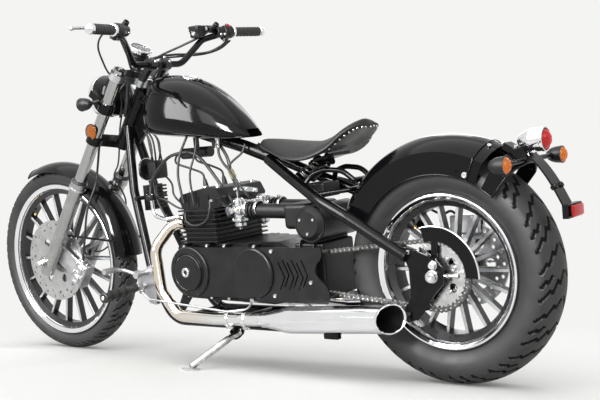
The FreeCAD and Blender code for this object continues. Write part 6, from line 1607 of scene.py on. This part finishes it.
def plumbing_parts():
    """Hoses and leads: the loop before the fins, the fuel tap with its line and filter, throttle cables, the
    bright air pipe to the ports, breather and oil lines."""
    parts = [hose([(780, 128, 552), (779, 137, 525), (790, 138, 496), (820, 137, 478), (858, 136, 474),
                   (886, 134, 486), (896, 128, 505), (896, 118, 520)], 3.4)]
    parts.append(spun([(0.4, 0), (5.5, 0), (5.5, 9), (4, 11), (0.4, 11)], (780, 120, 548), (0, 1, 0.2), 18,
                      finish=1))
    tap = rounded_profile([(0.4, 0), (9, 0), (9, 6), (6.5, 8), (6.5, 24), (8, 26), (8, 34), (0.4, 36)], 1)
    parts.append(spun(tap, (796, 50, 744), (0, 0, -1), 24, finish=1))
    parts.append(rod((796, 50, 722), (796, 72, 722), 4, finish=1))
    parts.append(box((790, 70, 712), (802, 74, 738), 1.2, finish=0))
    line = [(796, 50, 710), (793, 53, 690), (772, 60, 662), (740, 61, 630), (722, 62, 596), (718, 61, 560),
            (724, 60, 540)]
    parts.append(hose(line, 4.2))
    filter_body = rounded_profile([(4, -19), (6, -17), (9.5, -13), (10, -9), (10, 9), (9.5, 13), (6, 17), (4, 19)],
                                  1.5)
    parts.append(spun(filter_body, (738, 61, 627), (0.45, 0, 0.9), 28, finish=5))
    for offset in (0.0, 9.0):
        parts.append(hose([(860, 24 + offset, 748), (812, 30 + offset, 728), (768, 40 + offset, 680),
                           (752, 46 + offset, 625), (742 - offset, 50, 580), (734, 50 - offset, 552)], 2.6))
    parts.append(hose([(700, 30, 716), (708, 40, 690), (744, 66, 650), (700, 80, 600), (676, 72, 560),
                       (670, 60, 545)], 3.6))
    parts.append(hose([(905, 70, 764), (928, 92, 700), (926, 112, 640), (914, 119, 585), (906, 118, 545)], 4.2))
    parts.append(hose([(862, 74, 758), (858, 96, 700), (870, 114, 640), (866, 119, 580), (862, 118, 540)], 3.4))
    air = bent_path([(1112, 62, 556), (1108, 62, 500), (1040, 80, 489), (936, 52, 500)], 34)
    parts.append(pipe(air, 6.4, 24, (0, 1, 0.02), finish=4))
    parts.append(spun(rounded_profile([(0.4, 0), (16, 0), (19, 4), (19, 16), (16, 20), (8, 22), (8, 30), (0.4, 30)],
                                      2), (1112, 62, 552), UP, 32))
    parts.append(bolts([(1112 + 13 * math.cos(a), 62 + 13 * math.sin(a), 570) for a in (0.5, 2.6, 4.7)],
                       UP, 3, 3, 1))
    parts.append(hose([(1112, 62, 580), (1108, 60, 610), (1060, 62, 660), (980, 70, 700), (880, 60, 690),
                       (760, 66, 560), (730, 78, 530)], 5.4))
    return parts


def front_parts():
    """Horn, the wires that drop from the head, and the box they enter."""
    horn = rounded_profile([(0.4, 0), (34, 0), (38, 3), (38, 9), (34, 11), (30, 11), (28, 8), (12, 8), (10, 15),
                            (4, 17), (0.4, 17)], 2)
    parts = [spun(horn, (1178, 0, 655), FORWARD, 56), spun([(36, 5), (39.4, 5.6), (39.4, 9), (36, 10)],
                                                             (1178, 0, 655), FORWARD, 56, closed=True, finish=4)]
    parts.append(box((1150, -9, 640), (1179, 9, 670), 2.5))
    parts.append(box((1108, -30, 622), (1152, 34, 684), 6))
    for y, bow in ((-22, 10), (-9, -6), (6, 4), (18, 12), (28, -4)):
        parts.append(hose([(1160, y * 0.6, 790), (1132 + bow, y, 756), (1122 + bow, y + 4, 716),
                           (1130, y, 682)], 3.2, up=(0.02, 1.0, 0.0)))
    for y, low in ((36, 520), (44, 470), (-40, 500)):
        parts.append(hose([(1136, y * 0.6, 640), (1112, y, 600), (1098, y + 8, 560), (1062, y + 10, low + 30),
                           (1000, y + 6, low), (944, y, low + 8)], 3.4))
    return parts


class MOTORCYCLE_OT_engine(bpy.types.Operator):
    """Makes screws, plugs, ribs and leads on the engine."""
    bl_idname = "motorcycle.engine"
    bl_label = "Engine details"

    def execute(self, context):
        head = head_parts()
        piece("engine_fittings", left_cover_parts() + both_sides(head), "frame",
              ENGINE_SET, matrix=UPRIGHT)
        rim = np.concatenate([ring_places(765, 325, 88, (20, 65, 115, 160, 205, 250, 295), 0),
                              ring_places(885, 313, 64, (50, 0, -50), 0)])
        piece("right_cover_screws", [mirrored(p) for p in cover_screws(rim, 105, 130)], "frame",
              ENGINE_SET, matrix=UPRIGHT)
        return {"FINISHED"}


class MOTORCYCLE_OT_intake(bpy.types.Operator):
    """Makes the carburettors, their linkage and the bands of the boots."""
    bl_idname = "motorcycle.intake"
    bl_label = "Carburettors"

    def execute(self, context):
        piece("twin_carburettors", intake_parts(), "frame", ENGINE_SET,
              ("carburettors",), matrix=UPRIGHT)
        return {"FINISHED"}


class MOTORCYCLE_OT_plumbing(bpy.types.Operator):
    """Makes hoses, cables, the fuel tap, the air pipe and the horn."""
    bl_idname = "motorcycle.plumbing"
    bl_label = "Hoses and horn"

    def execute(self, context):
        piece("engine_hoses", plumbing_parts(), "frame", ENGINE_SET, matrix=UPRIGHT)
        piece("horn_and_wires", front_parts(), "frame", ENGINE_SET, matrix=UPRIGHT)
        return {"FINISHED"}


# Guards and tank

TRIM_SET = "paint steel chrome rubber frame alloy"
SIDES = (-1, 1)
PEG_ROOT = np.array([1115.2, 172.0, 272.0])


def guard_section(end, extra):
    """Outer cross-section of a mudguard, from its left foot over the crown to its right: (radius, across)."""
    radius, crown, half, skirt = (378, 110, 88, 62) if end == "rear" else (362, 75, 62, 0)
    centre = radius - crown
    tip = math.asin(half / crown)
    angle = np.linspace(-tip, tip, 40)
    grown = crown + extra
    arch = np.stack([centre + grown * np.cos(angle), grown * np.sin(angle)], -1)
    if not skirt:
        return arch
    foot = centre + math.sqrt(crown ** 2 - half ** 2) - skirt
    return np.concatenate([[(foot, arch[0, 1])], arch, [(foot, arch[-1, 1])]])


def guard_bead(end, extra, angle, radius, finish=0):
    """Bead that follows a guard's cross-section at one angle above the horizontal."""
    section = guard_section(end, extra)
    turn = math.radians(angle)
    path = np.stack([section[:, 0] * math.cos(turn), section[:, 1], section[:, 0] * math.sin(turn)], -1)
    return pipe(path, radius, 14, (math.sin(turn), 0.0, -math.cos(turn)), finish=finish)


def guard_lip(end, extra, first, last, side, radius, finish=0):
    """Rolled edge along a guard's foot, from one angle to another."""
    foot, across = guard_section(end, extra)[0]
    turn = np.radians(np.linspace(first, last, 90))
    path = np.stack([foot * np.cos(turn), np.full(90, side * abs(across)), foot * np.sin(turn)], -1)
    return pipe(path, radius, 14, SIDEWAYS, finish=finish)


def tank_skin(share, angle):
    """Point of the tank's skin at shares of its length from the rear, by the part's own section rule."""
    climb = np.clip(1 - share / 0.86, 0, None) ** 2.1
    top = 962 - 215 * climb - 260 * np.clip(share - 0.9, 0, None)
    base = 758 - 34 + 46 * share + 14 * (1 - share) ** 8
    plan = (1 - (1 - np.minimum(share / 0.74, 1)) ** 1.9) ** 0.78
    nose = np.sqrt(np.maximum(1 - (np.clip(share - 0.74, 0, None) / 0.30) ** 2.4, 0.04))
    half = 130 * (0.2 + 0.8 * plan) * nose
    rise = np.sin(angle)
    lift = power(rise, 0.9 if rise > 0 else 0.55)
    middle = base + (top - base) * 0.36
    reach = (top - middle) if rise > 0 else (middle - base)
    return np.stack([672 + 420 * share, half * power(np.cos(angle), 0.72) * (1 - 0.16 * max(lift, 0)),
                     middle + reach * lift], -1)


class MOTORCYCLE_OT_guards(bpy.types.Operator):
    """Makes the rolled edges, the lap and the screws of the mudguards."""
    bl_idname = "motorcycle.guards"
    bl_label = "Mudguard edges"

    def execute(self, context):
        rear = [guard_lip("rear", 0, 29, 113, side, 2.6) for side in SIDES]
        rear += [guard_lip("rear", 2.8, 113, 131, side, 2.6) for side in SIDES]
        rear += [guard_bead("rear", 0, 29, 2.6), guard_bead("rear", 2.8, 113, 1.5),
                 guard_bead("rear", 2.8, 131, 2.8)]
        for angle, reach, radius, finish in ((111, 286, 8.0, 2), (105, 291, 5.0, 4)):
            turn = math.radians(angle)
            screw = bolts([(reach * math.cos(turn), 87.5, reach * math.sin(turn))], SIDEWAYS, radius, 5, finish)
            rear += [screw, mirrored(screw)]
        for angle, across in ((114.8, 40), (114.8, -40), (129, 40), (129, -40)):
            turn = math.radians(angle)
            lift = 268 + math.sqrt(112.8 ** 2 - across ** 2)
            way = (math.cos(turn), across / 112.8, math.sin(turn))
            rear.append(bolts([(lift * math.cos(turn), across, lift * math.sin(turn))], way, 6, 3, 1))
        piece("rear_guard_edges", rear, "frame", TRIM_SET, matrix=AT_REAR)
        front = [guard_lip("front", 0, 70, 178, side, 2.3) for side in SIDES]
        front += [guard_bead("front", 0, 70, 2.3), guard_bead("front", 0, 178, 2.3)]
        piece("front_guard_edges", front, "steering", TRIM_SET, matrix=AT_FRONT)
        return {"FINISHED"}


class MOTORCYCLE_OT_tank(bpy.types.Operator):
    """Makes the tank's seam, cap, vent and front bolt."""
    bl_idname = "motorcycle.tank"
    bl_label = "Tank fittings"

    def execute(self, context):
        share = np.linspace(0.04, 0.985, 120)
        seam = pipe(tank_skin(share, -0.62), 2.0, 12, UP)
        parts = [seam, mirrored(seam)]
        lean = unit((-0.3, 0.0, 1.0))
        foot = np.array([938.0, 0.0, 936.0])
        s = np.array([4, 5, 6, 12, 14, 15, 15.4, 13.2, 12.8, 12.8])[:, None]
        base = np.array([28.5, 29.4, 29.4, 29.4, 28.8, 27.4, 25.2, 23.6, 12, 0.6])[:, None]
        angle = np.linspace(0, TAU, 120, endpoint=False)[None]
        radius = base - 0.9 * (np.sin(20 * angle) > 0.6) * ((s > 5.5) & (s < 13))
        grid = np.stack([radius * np.cos(angle), radius * np.sin(angle), np.broadcast_to(s, radius.shape)], -1)
        parts.append(moved(patch(grid, cap_first=True, cap_last=True, finish=2), axis_matrix(foot, lean)))
        collar = rounded_profile([(26, -4), (31, -4), (32.4, -1), (31, 3), (26, 3)], 1)
        parts.append(spun(collar, foot, lean, 64, closed=True, finish=2))
        vent = rounded_profile([(0.4, 0), (13, 0), (13, 5), (11, 8), (6, 8), (5, 6.5), (0.4, 6.5)], 1)
        parts.append(spun(vent, (898, 0, 932), (-0.36, 0, 1), 36, finish=4))
        parts.append(spun([(0.4, 6.6), (4, 6.6), (4, 9), (3, 10), (0.4, 10)], (898, 0, 932), (-0.36, 0, 1), 24,
                          finish=1))
        piece("tank_fittings", parts, "frame", TRIM_SET, ("filler_cap",), matrix=UPRIGHT)
        return {"FINISHED"}


# Fork

def node_part(name, matrix):
    """Faces of a CAD node as a part in the given frame."""
    mesh = NODES[name].data
    points = np.empty(len(mesh.vertices) * 3, np.float32)
    mesh.vertices.foreach_get("co", points)
    corners = np.empty(len(mesh.loops), np.int32)
    mesh.loops.foreach_get("vertex_index", corners)
    sizes = np.empty(len(mesh.polygons), np.int32)
    mesh.polygons.foreach_get("loop_total", sizes)
    return placed(points.reshape(-1, 3), np.linalg.inv(matrix)), corners, sizes, np.zeros(len(sizes), int)


def caliper_details():
    """Front caliper: piston covers, bridge bolts, bleed screw and the hose's banjo, in the fork's frame."""
    parts = []
    cover = rounded_profile([(0.4, 0), (18, 0), (18, 4), (15, 6.5), (8, 6.5), (7, 4.5), (0.4, 4.5)], 1)
    for height in (24, 64):
        parts.append(spun(cover, (-139, 85, height), SIDEWAYS, 40, finish=5))
    parts.append(bolts([(-160, 85.5, 44), (-118, 85.5, 44), (-160, 85.5, 80), (-118, 85.5, 80)], SIDEWAYS, 5.6,
                       5, 1))
    parts.append(spun([(0.4, 0), (4, 0), (4, 6), (2.4, 7), (2.4, 12), (0.4, 12)], (-152, 70, 91), (-0.3, 0, 1), 18,
                      finish=1))
    parts.append(spun(rounded_profile([(0.4, 0), (8, 0), (8, 8), (6, 10), (0.4, 10)], 1), (-132, 72, 90), UP,
                      20, finish=1))
    parts.append(bolts([(-60, 77, 36), (-60, 77, 68)], SIDEWAYS, 7, 6, 1))
    return parts


def fork_parts():
    """Seals, caps, pinch bolts and axle nuts of the fork, in its own frame."""
    parts = []
    for side in SIDES:
        y = side * 100.0
        seal = [(20.6, 0), (26, 0), (27.2, 2), (26.4, 5), (24.6, 7), (24.6, 9), (22.4, 11), (20.6, 11)]
        parts.append(spun(seal, (-12, y, 364), UP, 48, closed=True, finish=3))
        parts.append(spun([(25.2, -3), (29.8, -3), (30.4, 0), (29.8, 3), (25.2, 3)], (-12, y, 340), UP, 48,
                          closed=True, finish=5))
        cap = rounded_profile([(0.4, 0), (18, 0), (18, 2), (16, 3.4), (10.5, 3.4), (9.5, 2), (0.4, 2)], 0.8)
        parts.append(spun(cap, (-12, y, 820.5), UP, 40, finish=4))
        parts.append(spun([(0.4, 2), (6.5, 2), (6.5, 6), (5.4, 7), (0.4, 7)], (-12, y, 820.5), UP, 6, finish=1))
        parts.append(bolts([(16.5, y, 569), (16.5, y, 795)], FORWARD, 6.5, 6, 1))
        nut = rounded_profile([(0.4, 0), (14.5, 0), (14.5, 3), (12, 3.4), (12, 11), (8, 15), (0.4, 16.5)], 1.5)
        parts.append(spun(nut, (0, side * 134, 0), (0, side, 0), 6, finish=1))
        parts.append(bolts([(-12, y + side * 6, -39)], (0, 0, -1), 8, 4, 1))
        for spread in (-14, 14):
            parts.append(bolts([(-72 + spread, side * 34, 893)], UP, 4.4, 4.5, 1))
    stem_nut = rounded_profile([(0.4, 0), (21, 0), (21, 4), (17, 8), (10, 9.5), (0.4, 9.5)], 1.5)
    parts.append(spun(stem_nut, (-50, 0, 807), UP, 40, finish=2))
    return parts


def bar_cables():
    """Cables and hoses that end on the steered parts: brake hose, speedometer cable and switch wires."""
    brake = [(-134, 73, 98), (-132, 84, 130), (-122, 94, 190), (-84, 92, 290), (-58, 68, 370), (-34, 52, 400),
             (-14, 50, 450), (2, 58, 520), (16, 58, 580), (26, 40, 680), (30, -20, 780), (16, -84, 850),
             (-24, -140, 920), (-54, -178, 972), (-62, -200, 1000)]
    meter = [(-6, -78, 26), (-60, -92, 60), (-98, -100, 170), (-90, -84, 300), (-66, -30, 380), (-54, -10, 410),
             (-44, -20, 450), (-20, -22, 506), (10, -20, 580), (26, -16, 680), (26, -10, 780), (24, -4, 826)]
    parts = [hose(brake, 4.0, 3, 140, (0.9, 0.3, 0.1)), hose(meter, 3.0, 3, 120, (0.9, 0.3, 0.1))]
    right = [(-98, -270, 984), (-84, -262, 950), (-60, -236, 912), (-16, -192, 880), (6, -150, 866),
             (18, -100, 852), (20, -50, 836), (8, -24, 815)]
    left = [(-106, 262, 992), (-104, 240, 986), (-90, 207, 966), (-80, 186, 944), (-82, 160, 908),
            (-84, 130, 868), (-60, 90, 850), (-24, 50, 835), (6, 24, 815)]
    parts += [hose(route, 4.2, 3, 90, (0.9, 0.0, 0.3)) for route in (right, left)]
    return parts


def head_cables():
    """Clutch and throttle cables from the bars round the head to the frame, and a loom of wires."""
    clutch = [(-50, 203, 1000), (-10, 208, 975), (10, 214, 930), (12, 205, 890), (8, 172, 845), (10, 128, 800),
              (4, 78, 762), (-6, 50, 720), (-20, 40, 680), (-30, 40, 640)]
    throttle = [(-98, -284, 982), (-80, -270, 938), (-50, -236, 900), (-8, -190, 868), (14, -140, 850),
                (22, -80, 840), (18, -44, 800), (4, -34, 750), (-12, -34, 700), (-28, -38, 640)]
    loom = [(-10, 14, 812), (6, 20, 790), (4, 16, 740), (-14, 14, 690), (-26, 12, 640)]
    return [hose(clutch, 3.2, 3, 110, (0.9, 0.3, 0.1)), hose(throttle, 3.2, 3, 110, (0.9, 0.3, 0.1)),
            hose(loom, 6.5, 3, 60, (0.1, 1.0, 0.0))]


class MOTORCYCLE_OT_fork(bpy.types.Operator):
    """Makes seals, caps, bolts and the front caliper's details."""
    bl_idname = "motorcycle.fork"
    bl_label = "Fork fittings"

    def execute(self, context):
        piece("fork_fittings", fork_parts() + caliper_details(), "steering", TRIM_SET, matrix=ON_FORK)
        right = mirrored(node_part("headlamp_bracket", ON_FORK))
        piece("right_headlamp_bracket", [right], "steering", "frame", matrix=ON_FORK)
        return {"FINISHED"}


class MOTORCYCLE_OT_cables(bpy.types.Operator):
    """Makes the cables and hoses of the bars."""
    bl_idname = "motorcycle.cables"
    bl_label = "Bar cables"

    def execute(self, context):
        piece("steered_cables", bar_cables(), "steering", TRIM_SET, matrix=ON_FORK)
        crossing = piece("head_cables", head_cables(), None, TRIM_SET, matrix=ON_FORK)
        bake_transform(crossing)
        return {"FINISHED"}


# Rear end and frame

def rear_axle_parts():
    """Axle nuts, chain adjusters, the guard's bright rim and the plates' bolts, about the rear axle."""
    parts = []
    hexagon = np.linspace(0, TAU, 6, endpoint=False)
    for side in SIDES:
        nut = np.stack([15.5 * np.cos(hexagon), 15.5 * np.sin(hexagon)], -1)
        shell = plate(nut, 125, 134, 1.2, 2)
        washer = spun([(11, 124.6), (18, 124.6), (18, 126.6), (11, 126.6)], (0, 0, 0), SIDEWAYS, 40, closed=True,
                      finish=1)
        dome = spun(rounded_profile([(0.4, 125), (13, 125), (13, 130), (11, 131), (11, 138), (7, 142), (0.4, 143)],
                                    1.5), (-7, 0, 31), SIDEWAYS, 32, finish=2)
        adjust = [rod((-34, 121, 2), (-76, 121, 2), 3.6, finish=1), bolts([(-74, 121, 2)], BACKWARD, 6.5, 6, 1),
                  spun([(0.4, 0), (6.6, 0), (6.6, 5), (0.4, 5)], (-44, 121, 2), BACKWARD, 6, finish=1),
                  bolts([(70, 125, 66), (84, 125, -112)], SIDEWAYS, 6.5, 5, 1)]
        group = [shell, washer, dome, *adjust]
        parts += group if side > 0 else mirror_all(group)
    turn = np.radians(np.linspace(75, 183, 80))
    reach = 15.875 / (2 * math.sin(math.pi / 38)) + 38
    rim = np.stack([reach * np.cos(turn), np.full(80, 111.5), reach * np.sin(turn)], -1)
    parts.append(pipe(rim, 3.4, 16, SIDEWAYS, finish=2))
    return parts


def rear_brake_parts():
    """Rear caliper's bolts and piston covers, and its hose forward along the seat rail."""
    parts = []
    cover = rounded_profile([(0.4, 0), (17, 0), (17, 4), (14, 6.5), (0.4, 6.5)], 1)
    for x in (-20, 20):
        parts.append(spun(cover, (x, -115.5, 114), (0, -1, 0), 36, finish=5))
    parts.append(bolts([(-39, -115.5, 96), (39, -115.5, 96), (-39, -115.5, 134), (39, -115.5, 134)], (0, -1, 0), 5.4,
                       5, 1))
    line = [(38, -104, 138), (60, -106, 150), (96, -112, 142), (170, -128, 166), (262, -136, 178), (350, -118, 226),
            (430, -92, 262), (500, -70, 270)]
    parts.append(hose(line, 3.8, 3, 90, (0.0, 0.3, 1.0)))
    return parts


def frame_fittings():
    """Bolts of tank, seat and engine on the frame, straps of the battery box, peg rubbers' ends."""
    parts = [bolts([(980, 6, 800)], SIDEWAYS, 8, 6, 1)]
    for x in (420, 472):
        strap = [(x, -82, 238), (x, -82, 411), (x, 82, 411), (x, 82, 238)]
        parts.append(ribbon(bent_path(strap, 10), [(-9, -1.2), (9, -1.2), (9, 1.2), (-9, 1.2)], FORWARD,
                            finish=3))
    parts.append(bolts([(432, 81, 384), (432, 81, 262), (488, 81, 384), (488, 81, 262)], SIDEWAYS, 5, 4, 1))
    peg = unit(np.array([-16.0, 158.0, -4.0]))
    for side in SIDES:
        end = spun(rounded_profile([(0.4, 0), (13, 0), (18, 3), (18, 9), (13, 12), (0.4, 12)], 2),
                   PEG_ROOT + peg * 146, peg, 32, finish=3)
        nut = bolts([PEG_ROOT + peg * 158], peg, 7, 4, 1)
        parts += [end, nut] if side > 0 else [mirrored(end), mirrored(nut)]
    return parts


class MOTORCYCLE_OT_rear_fittings(bpy.types.Operator):
    """Makes nuts, adjusters, the chain guard's rim and the rear caliper's details."""
    bl_idname = "motorcycle.rear_fittings"
    bl_label = "Rear fittings"

    def execute(self, context):
        piece("rear_axle_fittings", rear_axle_parts() + rear_brake_parts(), "frame", TRIM_SET,
              matrix=AT_REAR)
        piece("frame_fittings", frame_fittings(), "frame", TRIM_SET, matrix=UPRIGHT)
        return {"FINISHED"}


class MOTORCYCLE_PT_panel(bpy.types.Panel):
    """Lists the machine's sizes, colours and steps."""
    bl_label = "Motorcycle"
    bl_idname = "MOTORCYCLE_PT_panel"
    bl_space_type = "VIEW_3D"
    bl_region_type = "UI"
    bl_category = "Motorcycle"

    def draw(self, context):
        for group in (context.scene.motorcycle_wheels, context.scene.motorcycle_finish):
            for name in group.__annotations__:
                self.layout.prop(group, name)
        for step in STEPS:
            self.layout.operator(step.bl_idname)


GROUPS = (MotorcycleWheels, MotorcycleFinish)
STEPS = (MOTORCYCLE_OT_stage, MOTORCYCLE_OT_finishes, MOTORCYCLE_OT_tyres, MOTORCYCLE_OT_wheels,
         MOTORCYCLE_OT_chain, MOTORCYCLE_OT_exhaust, MOTORCYCLE_OT_saddle, MOTORCYCLE_OT_springs,
         MOTORCYCLE_OT_headlamp, MOTORCYCLE_OT_indicators, MOTORCYCLE_OT_tail_lamp, MOTORCYCLE_OT_grips,
         MOTORCYCLE_OT_levers, MOTORCYCLE_OT_gauge, MOTORCYCLE_OT_engine, MOTORCYCLE_OT_intake,
         MOTORCYCLE_OT_plumbing, MOTORCYCLE_OT_guards, MOTORCYCLE_OT_tank, MOTORCYCLE_OT_fork,
         MOTORCYCLE_OT_cables, MOTORCYCLE_OT_rear_fittings)


def register():
    for kind in (*GROUPS, *STEPS, MOTORCYCLE_PT_panel):
        bpy.utils.register_class(kind)
    bpy.types.Scene.motorcycle_wheels = bpy.props.PointerProperty(type=MotorcycleWheels)
    bpy.types.Scene.motorcycle_finish = bpy.props.PointerProperty(type=MotorcycleFinish)


def unregister():
    del bpy.types.Scene.motorcycle_finish
    del bpy.types.Scene.motorcycle_wheels
    for kind in (MOTORCYCLE_PT_panel, *reversed(STEPS), *reversed(GROUPS)):
        bpy.utils.unregister_class(kind)


def main():
    register()
    for step in STEPS:
        group, action = step.bl_idname.split(".")
        getattr(getattr(bpy.ops, group), action)()


if __name__ == "__main__":
    main()
